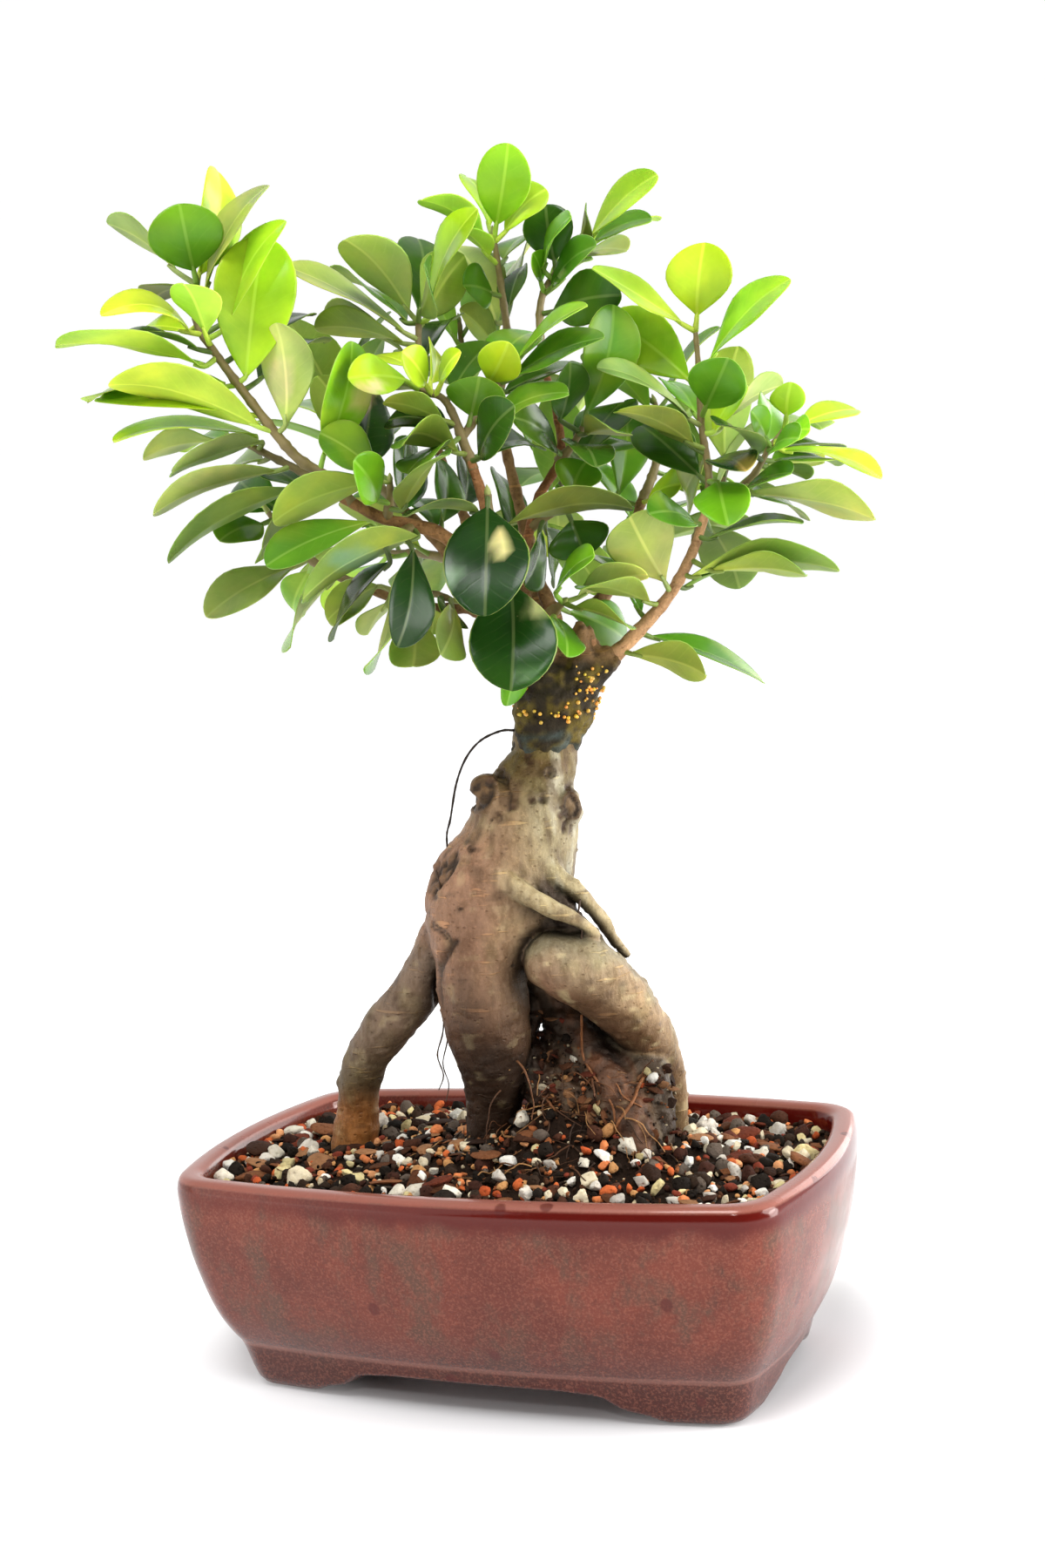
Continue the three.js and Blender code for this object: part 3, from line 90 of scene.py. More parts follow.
# Tree limbs: u, v, w and radius along each limb
LIMBS = {
  "body": [[7.5, 15, 0, 11], [7.5, 8, 0, 11.2], [3.4, -2, 0, 14.3], [1.4, -12, 0, 18], [-3, -27, -1, 21],
    [-9.5, -41, -2, 23.8],
    [-12, -54, -3, 18]],
  "middle_leg": [[-13, -50, 3, 17], [-14.7, -66, 5, 15], [-12.8, -78.5, 4, 15.2], [-11, -90.6, 0, 13.6],
    [-9.7, -101, -5, 11.4],
    [-10, -110, -9, 10.2], [-11, -128, -14, 9]],
  "left_leg": [[-22, -50, -6, 11.4], [-32.4, -65, -12, 9.2], [-39.3, -75.5, -16, 8.8], [-46.8, -84, -20, 8.7],
    [-53, -93.7, -24, 8], [-56.5, -103.6, -28, 7.4], [-57, -113, -31, 7.5], [-58, -122, -33, 8.4],
      [-59, -136, -35, 8]],
  "thigh": [[10.8, -61.5, 15, 10.2], [19, -64.2, 14, 12.3], [26.6, -69, 11, 12], [34.8, -76.6, 6, 11.4],
    [41.3, -84.8, -1, 9.9],
    [46.4, -92, -8, 8.5], [48.8, -99, -14, 7.1], [51, -108, -20, 6.6], [52, -124, -24, 6]],
  "inner_root": [[0, -50, -8, 12], [8, -66, -10, 9], [14, -76, -10, 9], [22, -92, -4, 9.5],
    [31, -106, 4, 9], [38, -118, 11, 8], [41, -130, 15, 7]],
  "outer_root": [[36, -84, -8, 8], [43, -101, 0, 8.4], [46, -114, 6, 7.2], [47, -128, 9, 6]],
  "left_burl": [[-10.5, -6.5, 9.5, 5.4], [-12.4, -1.6, 9, 4.8]],
  "right_knob": [[15.4, -5.6, 7, 4.6], [16.8, -10.4, 6.5, 4]],
}
ROOT_ARMS = {
  "front": [[-10, -30.5, 15, 5], [-5.5, -34, 19.5, 4.2], [0, -37.6, 21.5, 3.5], [8.2, -42.4, 22.5, 3],
    [16.6, -46, 21.5, 2.6],
    [22, -49.4, 19, 2.2], [25, -52.2, 16.5, 1.9]],
  "back": [[5, -25, 9, 5.5], [8.6, -29.2, 13, 4.4], [13.2, -33.2, 15, 3.6], [18.4, -36.8, 15, 3],
    [23.9, -42.6, 12, 2.7],
    [29.6, -50, 8, 2.2], [32.4, -54.8, 6, 1.9], [36.2, -59, 4, 1.4]],
}
COLLAR = {
  "core": [[7.6, 15, 0, 11.4], [9.4, 20, 0, 12.4], [11.2, 28, 0, 14], [12.4, 34, 0, 14.2], [13, 39, 1, 11]],
  "left_lobe": [[9, 32, 2, 9], [6, 40, 4, 7.4], [4, 45, 4, 4.4]],
  "right_lobe": [[15, 32, 2, 9.4], [21, 39, 4, 7.6], [27, 42, 6, 4.8]],
}
BRANCHES = {
  "main_left": [[6, 42, 5, 4.2], [-5, 58, 13, 3.5], [-16, 75, 21, 3], [-29, 87, 27, 2.6],
    [-48, 92, 29, 2.2], [-62, 99, 30, 2]],
  "left_side": [[-44, 91, 28.4, 1.9], [-56, 95.5, 22, 1.7], [-68, 104, 17, 1.5]],
  "lower_left": [[4, 42, -3, 3.8], [-6, 54, -6, 2.9], [-17, 60.5, -7, 2.4], [-30, 61, -8, 2.1],
    [-46, 65, -10, 1.9], [-57, 69, -11, 1.6]],
  "centre_front": [[4, 44, 6, 3.6], [-5, 62, 15, 2.7], [-10, 82, 21, 2.2], [-14, 100, 25, 2],
    [-18, 112, 27, 1.8]],
  "centre_right": [[9, 42, 3, 3.8], [4, 56, 4, 2.8], [-1, 70, 5, 2.2], [2, 86, 5, 2], [6, 100, 3, 1.9],
    [13, 113, -1, 1.7],
    [12, 128, -6, 1.6], [7, 146, -12, 1.5]],
  "right": [[18, 36, 3, 8], [25, 40.5, 6, 5.2], [31, 44, 6.5, 3.3], [42, 55, 8, 2.6], [52, 67, 9, 2.2],
    [60, 83, 10, 1.9],
    [65, 100, 12, 1.4]],
  "back_left": [[3, 40, -6, 4.2], [-10, 58, -22, 3.1], [-26, 80, -40, 2.4], [-44, 98, -54, 1.9]],
  "back_right": [[16, 40, -6, 4.2], [25, 58, -22, 3.1], [35, 80, -40, 2.4], [42, 100, -54, 1.9]],
  "back_centre": [[9, 42, -6, 3.8], [5, 66, -20, 2.9], [0, 92, -32, 2.4], [-6, 118, -35, 2],
    [-8, 140, -30, 1.6]],
  "mid_left": [[3, 42, 1, 3.4], [-9, 64, 2, 2.6], [-20, 92, 4, 2.1], [-30, 118, 5, 1.8], [-35, 140, 5, 1.5]],
  "low_middle": [[13, 40, 5, 4.8], [10.5, 52, 6, 4.1], [10, 60, 5, 3.2], [6, 70, 3, 2.2]],
  "dead_stump": [[19, 40, 8, 5], [19.6, 49, 9, 4], [20, 55.6, 9, 0.9]],
  "dead_splinter": [[23, 41, 7, 4], [23.6, 48, 7, 3], [23.2, 54, 7, 0.8]],
}
WOOD_LEAVES = [
  [35, 45, 64, 38.5, 11, "underOlive", 1, 34],
  [42, 51, 84, 36, 7, "mid", -1, 50, 0.03],
  [48, 62, 20, 69, 8, "underOlive", 1, 38],
  [43, 57, 25, 80, 5, "mid", -1, 38],
  [50.5, 67, 37, 93, 24, "underPale", 1, 40],
  [58, 72, 110, 75.5, 10, "underOlive", 1, 56, 0.08],
  [56, 68, 87, 77, 7, "dark", -1, 42],
  [66, 74, 98.5, 73, 6, "underOlive", 1, 44],
  [64, 85, 97, 91, 4, "dark", 1, 42],
  [62, 90, 45, 95, 8, "mid", 1, 34],
  [33, 99, 36, 132, 18, "mid", -1, 40],
  [42, 97, 55, 104, 8, "yellow", 1, 30],
  [-40, 95, -44, 119, 10, "dark", 1, 40],
  [-28, 86, -27, 113, 12, "dark", -1, 38],
  [-27, 89, -38, 99, 10, "mid", -1, 32],
  [-4, 86, -9, 109, 12, "dark", -1, 38],
  [-19, 93, -21, 115, 10, "deep", -1, 36],
]
SHOOTS = {
  "upper_left": {
    "stems": [[[-59, 97.5, 30, 2], [-69, 107, 31, 1.8], [-79, 114, 32, 1.7], [-93, 131, 33, 1.5],
      [-107, 150, 34, 1.3],
      [-113, 160, 34, 1.2], [-113, 173, 32, 1]]],
    "leaves": [
      [-113, 172, -104, 213, 16, "yellow", -1, 46],
      [-115, 174, -119, 201, 25, "fresh", 1, 32],
      [-120, 178, -143.5, 195, 5, "underPale", -1, 38],
      [-112, 166, -90, 209, 7, "pale", -1, 50],
      [-104, 160, -91, 195, 9, "dark", -1, 44],
      [-103, 158, -83.5, 196, 11, "lime", -1, 46],
      [-96, 141, -90, 190, 27, "lime", 1, 50],
      [-112, 155, -146, 163, 8, "yellow", 1, 42, 0.2],
      [-116, 157, -136, 157, 7, "yellow", -1, 34],
      [-108, 152, -117, 174, 14, "underYellow", 1, 34],
      [-112, 172, -129, 168, 5, "underBrown", -1, 34],
      [-110, 145, -162, 153, 6, "underLime", 1, 56],
      [-109, 148, -138, 157, 5, "dark", -1, 42],
      [-87, 121, -143, 141, 16, "underLime", 1, 62],
      [-98, 139, -151.5, 133.5, 6, "lime", -1, 60],
      [-90, 128, -147, 135, 6, "yellow", -1, 62],
      [-98, 150, -73.5, 164, 6, "dark", -1, 42],
      [-82, 124, -85, 160, 18, "underPale", -1, 42],
      [-92, 140, -70, 155, 8, "dark", -1, 46],
      [-69, 110, -58, 153, 17, "bright", 1, 48],
      [-58, 106, -53, 140, 18, "gloss", -1, 46],
    ],
  },
  "left_side": {
    "stems": [[[-65, 102, 18, 1.6], [-80, 110, 14, 1.4], [-92, 116, 10, 1.2], [-100, 120, 8, 1]]],
    "leaves": [
      [-92, 121, -142, 120.5, 6, "lime", 1, 54],
      [-101, 121, -132, 114, 7, "underPale", 1, 44, 0.07],
      [-101, 121, -117, 117, 6, "bright", -1, 40],
      [-90, 119, -122, 108.5, 7, "underPale", 1, 46, 0.03],
      [-80, 111, -129, 96, 7, "underPale", 1, 54, 0.03],
      [-88, 112, -109, 103.5, 4, "pale", -1, 42],
      [-76, 103, -124, 78.5, 9, "underGrey", 1, 56],
      [-74, 101, -89, 110, 12, "dark", -1, 36],
    ],
  },
  "left_low": {
    "stems": [[[-54, 68, -10.6, 1.7], [-66, 73, -12, 1.5], [-75, 79, -13, 1.4], [-83, 87, -14, 1.2],
      [-88, 94, -14, 1]]],
    "leaves": [
      [-84, 95, -99, 106, 17, "dark", -1, 34],
      [-90, 97, -113, 92, 5, "lime", -1, 42],
      [-86, 92, -105, 85, 14, "mid", -1, 42],
      [-77, 88, -91, 82, 12, "underGrey", 1, 40],
      [-74, 78, -110, 59, 13, "pale", 1, 44],
      [-74, 74, -80, 60, 12, "bright", -1, 30],
      [-64, 74, -82, 48, 5, "underPale", 1, 44],
    ],
  },
  "left_front": {
    "stems": [[[-38, 89.5, 28, 2], [-43, 86, 34, 1.5], [-48, 84, 38, 1.1]]],
    "leaves": [
      [-52, 91, -89, 76, 11, "mid", 1, 44],
      [-36, 86, -77, 65, 10, "underGrey", 1, 54],
      [-38, 82, -42, 48, 15, "gloss", 1, 40],
      [-46, 77, -67, 51, 6, "deep", -1, 46],
    ],
  },
  "left_inner": {
    "stems": [[[-47, 92, 29, 1.9], [-46, 99, 34, 1.4], [-46, 105, 40, 1]]],
    "leaves": [
      [-50, 98, -58, 112, 13, "bright", 1, 34],
      [-50, 105, -87, 92, 12, "underOlive", 1, 44],
      [-42, 95, -38, 118, 10, "dark", -1, 40],
      [-42, 95, -27, 115, 7, "underGrey", 1, 40],
      [-47, 106, -70, 122, 14, "mid", -1, 44],
    ],
  },
  "lower_left": {
    "stems": [[[-32, 61.5, -8, 1.9], [-38, 64, -1, 1.4], [-45, 67, 4, 1.1]],
      [[-38, 64, -1, 1.3], [-31, 66, 2, 1.2], [-25, 64, 2, 1]]],
    "leaves": [
      [-47, 66, -53, 39.5, 6, "underPale", 1, 40],
      [-45, 66, -54, 52, 8, "underPale", -1, 40],
      [-38, 64, -38, 39.5, 18, "underPale", 1, 36],
      [-33, 66, -31, 52, 6, "underOlive", -1, 40],
      [-28, 66, -25, 56, 6, "dark", -1, 34],
      [-24, 61, -28, 45, 10, "pale", -1, 36],
      [-50, 69, -68, 57, 7, "pale", 1, 42],
    ],
  },
  "mid_left_upper": {
    "stems": [[[-34.4, 137, 5, 1.6], [-36, 148, 4, 1.3], [-36, 160, 3, 1]]],
    "leaves": [
      [-38, 154, -82, 180, 5, "pale", 1, 54, 0.03],
      [-36, 146, -68, 163, 6, "underGrey", -1, 44],
      [-36, 152, -72, 159, 8, "underOlive", 1, 50],
      [-36, 162, -61, 190, 17, "underPale", 1, 46],
      [-40, 160, -66, 177, 4, "mid", -1, 46],
      [-34, 161, -36, 190, 20, "dark", -1, 42],
      [-33, 161, -17, 200, 6, "lime", 1, 48],
      [-33, 158, -21, 183, 9, "underOlive", -1, 42],
      [-34, 160, -33, 180, 6, "underGrey", 1, 38],
      [-34, 146, -24, 163, 9, "dark", -1, 36],
    ],
  },
  "top": {
    "stems": [[[-7.8, 137, -30.5, 1.7], [-5, 150, -24, 1.5], [-6.5, 166, -16, 1.3], [-10, 190, -8, 1]]],
    "leaves": [
      [-11, 189, -35, 203, 10, "underYellow", 1, 36],
      [-10, 189, -5, 222, 19, "lime", 1, 38],
      [-12, 190, -19, 211, 10, "lime", -1, 32],
      [-9, 188, 8, 206.5, 10, "yellow", 1, 34],
      [-11, 180, -22, 193, 6, "underLime", 1, 34],
      [-9, 160, -24, 188, 18, "pale", -1, 44],
      [-9, 150, 3, 188.5, 9, "pale", 1, 50],
      [-7, 180, 3, 191, 6, "mid", -1, 30],
      [-8, 169, -20, 173, 15, "mid", -1, 36],
      [-5, 161, 0, 180, 10, "dark", -1, 40],
      [-8, 148, -21, 165, 12, "underOlive", 1, 40],
    ],
  },
  "top_right": {
    "stems": [[[8, 143, -11, 1.6], [6, 158, -15, 1.4], [8, 172, -17, 1.2], [20, 186, -19, 1]]],
    "leaves": [
      [10, 178, 8, 201, 18, "dark", -1, 34],
      [19, 186, 22, 199, 5, "underBrown", 1, 26],
      [7, 178, 16, 197, 4, "bright", 1, 36],
      [8, 176, 15, 193, 5, "lime", 1, 36],
      [7, 170, 4, 184, 6, "bright", -1, 26],
      [8, 170, 24, 187, 9, "mid", 1, 36],
      [9, 170, 24, 183, 5, "mid", -1, 36],
      [18, 180, 35.7, 185.8, 4, "pale", 1, 34],
      [21.7, 188, 46, 212, 9, "lime", 1, 40],
      [23, 186, 44.7, 196.6, 7, "bright", 1, 36],
      [24, 188, 47, 196, 5, "lime", -1, 36],
      [7, 163, 33, 170, 18, "dark", 1, 40],
      [6, 158, -8, 146, 14, "fresh", 1, 38],
    ],
  },
  "centre_right": {
    "stems": [[[12.4, 112, -0.6, 1.9], [17, 117, 4, 1.4], [21, 124, 7, 1.1]]],
    "leaves": [
      [21, 125, 32, 166, 18, "fresh", 1, 46],
      [14, 114, -2, 128, 9, "dark", 1, 40],
      [17, 119, 26, 112, 8, "dark", 1, 36],
      [20, 121, 33, 122.5, 9, "underOlive", 1, 34],
      [20, 112, 35, 133, 17, "dark", -1, 44],
      [18, 112, 42, 119, 9, "mid", -1, 44],
      [13, 126, 17, 146, 12, "dark", 1, 34],
    ],
  },
  "centre_front": {
    "stems": [[[-17, 109, 26.4, 1.9], [-21, 120, 28, 1.6], [-24, 128, 30, 1.4], [-28, 134, 31, 1.2],
      [-36, 137, 32, 1]],
      [[-21, 120, 28, 1.5], [-14, 130, 25, 1.3], [-8, 139, 22, 1]]],
    "leaves": [
      [-36, 143, -53, 149, 6, "yellow", -1, 28],
      [-40, 140, -60, 141, 9, "lime", 1, 30],
      [-31, 136, -41, 150, 9, "yellow", 1, 26],
      [-31, 138, -31, 153.5, 7, "yellow", -1, 26],
      [-29, 138, -22, 150, 5, "yellow", 1, 22],
      [-19, 123, -15, 141, 20, "mid", 1, 28],
      [-12, 139, -5, 153, 15, "yellow", 1, 26],
      [-6, 141, 21.5, 167, 3, "bright", 1, 44],
      [-7, 139, 28, 155, 15, "mid", 1, 44],
      [-6, 136, 27, 146, 6, "dark", -1, 42],
      [-13, 124, 15, 137, 8, "mid", 1, 38],
      [-15, 113, -4, 131, 12, "dark", 1, 38],
      [-25, 124, -48, 133, 8, "underOlive", 1, 34],
      [-31, 134, -48, 138, 4, "underOlive", -1, 32],
      [-20, 114, -42, 118, 12, "underOlive", 1, 36, 0.22],
      [-26, 133, -10, 153, 12, "dark", -1, 40],
      [-19, 113, 5, 119, 9, "dark", -1, 40],
      [-23, 120, -40, 108, 12, "mid", -1, 40],
      [-26, 124, -47, 127, 10, "deep", -1, 38],
    ],
  },
  "front_low": {
    "stems": [[[-10, 81, 20.6, 2.1], [-11, 91, 27, 1.6], [-12, 100, 31, 1.2]]],
    "leaves": [
      [-12, 101, -13, 60, 28, "gloss", 1, 50],
      [-6, 90, 38, 98, 9, "underBrown", 1, 48],
      [-14, 94, -40, 94, 8, "deep", -1, 38],
    ],
  },
  "front_base": {
    "stems": [[[-6, 66, 16, 2], [-5, 70, 25, 1.5], [-4, 75, 31, 1.1]]],
    "leaves": [
      [-4, 74, -4, 33, 29, "gloss", 1, 46],
      [-6, 71, -5, 27, 8, "mid", -1, 48],
    ],
  },
  "centre_low": {
    "stems": [[[3, 89, 4.6, 2], [9, 93, 9, 1.3], [15, 96, 12, 1]]],
    "leaves": [
      [17, 95, 22, 79, 22, "dark", 1, 36],
      [16, 98, 22, 112, 16, "mid", 1, 34],
      [8, 91, 1, 69, 8, "dark", 1, 38],
      [9, 90, 11, 71, 8, "dark", -1, 36],
    ],
  },
  "low_middle": {
    "stems": [[[9.6, 59, 5, 3], [12, 61, 10, 1.6], [14, 63, 14, 1.2]]],
    "leaves": [
      [14, 64, 43, 74, 9, "underPale", 1, 38],
      [15, 64, 38, 54, 10, "underOlive", 1, 36],
      [13, 61, 37, 49, 17, "mid", -1, 38],
      [12, 58, 16, 45, 8, "mid", 1, 30],
      [11, 66, 24, 80, 5, "bright", -1, 38],
    ],
  },
  "right_top": {
    "stems": [[[64.8, 97, 11.8, 1.5], [64.4, 110, 12, 1.3], [62, 125, 12, 1.2], [61, 145, 12, 1],
      [60, 157, 12, 0.9]]],
    "leaves": [
      [57, 157, 24.4, 179, 9, "yellow", 1, 42, 0],
      [61, 158, 63, 187.5, 22.5, "yellow", 1, 34],
      [58, 140, 29, 162, 19, "lime", 1, 42],
      [64, 143, 92, 176, 10, "lime", 1, 46],
      [64.5, 127, 71, 147, 20, "fresh", 1, 30],
      [60, 126, 50, 140, 9, "bright", -1, 32],
      [61, 124, 27, 146, 4, "pale", 1, 46],
      [62, 104, 41, 125, 18, "dark", -1, 42],
      [62, 116, 33, 130, 9, "underOlive", 1, 40],
      [61, 114, 40, 128, 4, "underGrey", -1, 40],
      [64, 112, 77, 110, 7, "gloss", 1, 34],
      [68, 105, 71, 91, 19, "bright", 1, 36],
      [67, 122, 89, 139, 4, "underPale", -1, 42],
      [66, 122, 77, 139, 10, "lime", 1, 34],
      [64, 114, 56, 98, 12, "pale", -1, 38],
    ],
  },
  "right_cluster": {
    "stems": [[[64, 94, 11.4, 1.5], [72, 100, 14, 1.3], [80, 107, 16, 1.2], [86, 117, 18, 1],
      [91, 123, 18, 0.9]]],
    "leaves": [
      [80, 101, 123, 93.5, 9, "underPale", 1, 48, 0.03],
      [73, 102, 93, 108, 6, "fresh", 1, 38],
      [82, 111, 98.5, 106.4, 5, "underGrey", 1, 38],
      [84, 112, 109, 111.5, 6, "mid", -1, 38],
      [88, 115, 109, 116.5, 4, "dark", -1, 38],
      [90, 116, 125, 107.7, 4, "yellow", 1, 42],
      [86, 115, 95, 120.5, 7, "fresh", 1, 28],
      [86, 117, 80, 129, 9, "fresh", 1, 26],
      [88, 118, 99.4, 123.3, 6, "lime", 1, 28],
      [84, 115, 85, 134, 12, "fresh", -1, 36],
      [91, 124, 93, 139, 12, "lime", 1, 24],
      [93, 125, 116, 130, 8, "yellow", -1, 30],
      [91, 122, 104, 125, 4, "lime", -1, 32],
      [82, 113, 68, 126, 6, "gloss", 1, 36],
      [78, 101, 97, 93, 5, "dark", -1, 42],
    ],
  },
}
BACK_SHOOTS = {
  "back_left": { "stem": [[-42, 96, -52.5, 2], [-52, 106, -60, 1.6], [-60, 120, -64, 1.3],
    [-64, 134, -66, 1]], "count": 8, "turn": 0.3 },
  "back_left_low": { "stem": [[-24.5, 78, -38.5, 2], [-36, 80, -50, 1.5],
    [-46, 80, -60, 1.1]], "count": 5, "turn": 1.1 },
  "back_right": { "stem": [[41, 97, -52, 2], [46, 110, -60, 1.6], [48, 124, -64, 1.3],
    [46, 132, -64, 1]], "count": 7, "turn": 2.2 },
  "back_right_low": { "stem": [[34, 78, -38.5, 2], [39, 83, -50, 1.5],
    [42, 91, -58, 1.1]], "count": 4, "turn": 0.7 },
  "back_centre": { "stem": [[0, 90, -31, 2], [6, 94, -46, 1.6], [12, 100, -62, 1.3],
    [14, 108, -76, 1]], "count": 7, "turn": 1.9 },
  "back_upper": { "stem": [[-6, 118, -35, 2], [-14, 130, -48, 1.5], [-20, 146, -56, 1.2],
    [-22, 160, -58, 1]], "count": 7, "turn": 2.9 },
  "right_back": { "stem": [[60.4, 84, 10, 2], [62, 90, -6, 1.5], [67, 99, -20, 1.3],
    [71, 110, -30, 1]], "count": 7, "turn": 0.1 },
}

# Leaf placing
LEAF_WIDTH_RATIO = 0.5
PETIOLE_LENGTH = 5
DEFAULT_ARCH = 0.06
FOLD = 0.16
LEAN_STEPS = [1, 0.85, 0.7, 0.55, 0.4, 0.25, 0.1, -0.1, -0.25, -0.4, -0.55, -0.7, -0.85, -1, 1.15]
ROLL_STEPS = [0, 16, -16, 30]
LEAST_LEAN_RANGE = 14
NEAR_PETIOLE_SHARE = 0.6
MOST_PETIOLE_SHARE = 0.3
MOST_BASE_SHARE = 0.4
ROLL_RIGHT_SHARE = 0.3
LEAF_CLEARANCE = 3.6
OWN_LEAF_CLEARANCE = 3
OWN_LEAF_FREE_SHARE = 0.35
OWN_LEAF_WEIGHT = 0.6
STEM_CLEARANCE = 1.6
STEM_SAMPLE_PITCH = 3
SAMPLE_REACH = 60
LEAST_GAIN = 1e-6
BACK_LEAF_LENGTH = [40, 48]
GOLDEN_TURN = 2.39996

# Leaf blades
BLADE_STATIONS = [
    0, 0.03, 0.08, 0.15, 0.23, 0.32, 0.42, 0.52, 0.62, 0.71, 0.79, 0.86, 0.92, 0.96, 0.982, 0.995, 1,
]
BLADE_COLUMNS = [-1, -0.94, -0.7, -0.42, -0.13, 0, 0.13, 0.42, 0.7, 0.94, 1]
BLADE_THICKNESS = 0.42
RIB_HEIGHT = 0.5
GROOVE_DEPTH = 0.22
PETIOLE_RADIUS = 0.95

# Leaf colours: upper side, under side, as 8-bit sRGB
TONES = {
    "yellow": ((180, 204, 40), (210, 230, 88)),
    "lime": ((150, 190, 38), (184, 216, 82)),
    "bright": ((112, 162, 28), (152, 190, 74)),
    "fresh": ((92, 142, 30), (140, 172, 72)),
    "mid": ((82, 126, 28), (130, 152, 64)),
    "dark": ((54, 90, 22), (108, 130, 58)),
    "deep": ((28, 52, 12), (92, 110, 54)),
    "gloss": ((30, 58, 18), (110, 130, 64)),
    "pale": ((146, 162, 86), (158, 168, 94)),
    "underYellow": ((190, 216, 66), (212, 238, 90)),
    "underLime": ((150, 194, 62), (192, 216, 78)),
    "underPale": ((120, 160, 66), (176, 186, 106)),
    "underOlive": ((92, 130, 44), (152, 164, 70)),
    "underGrey": ((80, 116, 42), (118, 136, 62)),
    "underBrown": ((76, 108, 40), (114, 118, 54)),
}
BACK_TONES = ["mid", "dark", "fresh", "mid", "bright"]
LEAF_YELLOW = (186, 196, 66)
LEAF_YELLOW_SHARE = 0.3
# Worn spots and painted highlights and reflections on the leaves that face the viewer: u, v, half sizes,
# colour and share
LEAF_WEAR_AND_HIGHLIGHTS = [
    (-7.5, 83, 3.5, 5, (232, 214, 150), 0.95),
    (-25, 72, 2.6, 5.5, (150, 176, 140), 0.4),
    (4.5, 60, 3, 3.6, (214, 206, 144), 0.8),
    (-58, 78, 10, 4, (110, 148, 132), 0.5),
    (2, 38, 5, 3, (104, 136, 84), 0.35),
    (-51, 138, 3, 3, (204, 186, 140), 0.8),
    (78, 111, 4, 3, (198, 160, 84), 0.6),
    (-84, 140, 5, 9, (226, 206, 160), 0.55),
    (-56, 134, 4, 6, (206, 172, 128), 0.5),
]


# Sight frame
def sight_frame():
    az = math.radians(VIEW_AZIMUTH)
    el = math.radians(VIEW_ELEVATION)
    roll = math.radians(VIEW_ROLL)
    back = np.array([math.sin(az) * math.cos(el), -math.cos(az) * math.cos(el), math.sin(el)])
    level = np.array([math.cos(az), math.sin(az), 0])
    upright = np.cross(back, level)
    right = level * math.cos(roll) + upright * math.sin(roll)
    up = upright * math.cos(roll) - level * math.sin(roll)
    target = np.array([0, 0, VIEW_TARGET_HEIGHT]) + right * VIEW_TARGET_SIDE
    return right, up, back, target, target + back * VIEW_DISTANCE


RIGHT, UP, BACK, TARGET, EYE = sight_frame()
pot_box = np.array(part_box("pot"))
POT_CENTRE = np.array([*pot_box.mean(axis=0)[:2] * 1000, 0])


def place(u, v, w):
    seen = TARGET + RIGHT * u + UP * v
    return (seen - EYE) * (1 - w / VIEW_DISTANCE) + EYE


def seen_at(points):
    """Where points show in the front view, as u and v in the plane through the target."""
    away = points - EYE
    depth = -(away @ BACK)
    return away @ RIGHT * VIEW_DISTANCE / depth, away @ UP * VIEW_DISTANCE / depth


def chain(rows):
    return np.array([[*place(u, v, w), r] for u, v, w, r in rows])


def draw(index, series):
    """A repeatable number from 0 to 1 for each pair of whole numbers."""
    wave = math.sin(index * 12.9898 + series * 78.233) * 43758.5453
    return wave - math.floor(wave)


def unit(vector):
    return vector / np.linalg.norm(vector)


def smooth_step(low, high, value):
    t = np.clip((value - low) / (high - low), 0, 1)
    return t * t * (3 - 2 * t)


def linear(colour):
    share = np.array(colour) / 255
    return np.where(share <= 0.04045, share / 12.92, ((share + 0.055) / 1.055) ** 2.4)


# Leaf placing, by the same rule as the solids
WAYS = [(share, turn) for turn in ROLL_STEPS for share in LEAN_STEPS]


def nearest_on_stems(stems, u, v):
    best = None
    for rows in stems:
        for (ua, va, wa, _), (ub, vb, wb, _) in zip(rows, rows[1:]):
            length = (ub - ua) ** 2 + (vb - va) ** 2
            t = min(max(((u - ua) * (ub - ua) + (v - va) * (vb - va)) / length, 0), 1)
            near = (ua + (ub - ua) * t, va + (vb - va) * t, wa + (wb - wa) * t)
            distance = math.hypot(near[0] - u, near[1] - v)
            if best is None or distance < best[0]:
                best = (distance, near)
    return best[1]


def leaf_normal(base, tip, roll):
    along = unit(tip - base)
    to_eye = unit(EYE - base)
    facing = unit(to_eye - along * (to_eye @ along))
    sideways = np.cross(along, facing)
    if sideways @ (UP + RIGHT * ROLL_RIGHT_SHARE) < 0:
        sideways = -sideways
    return facing * math.cos(roll) + sideways * math.sin(roll)


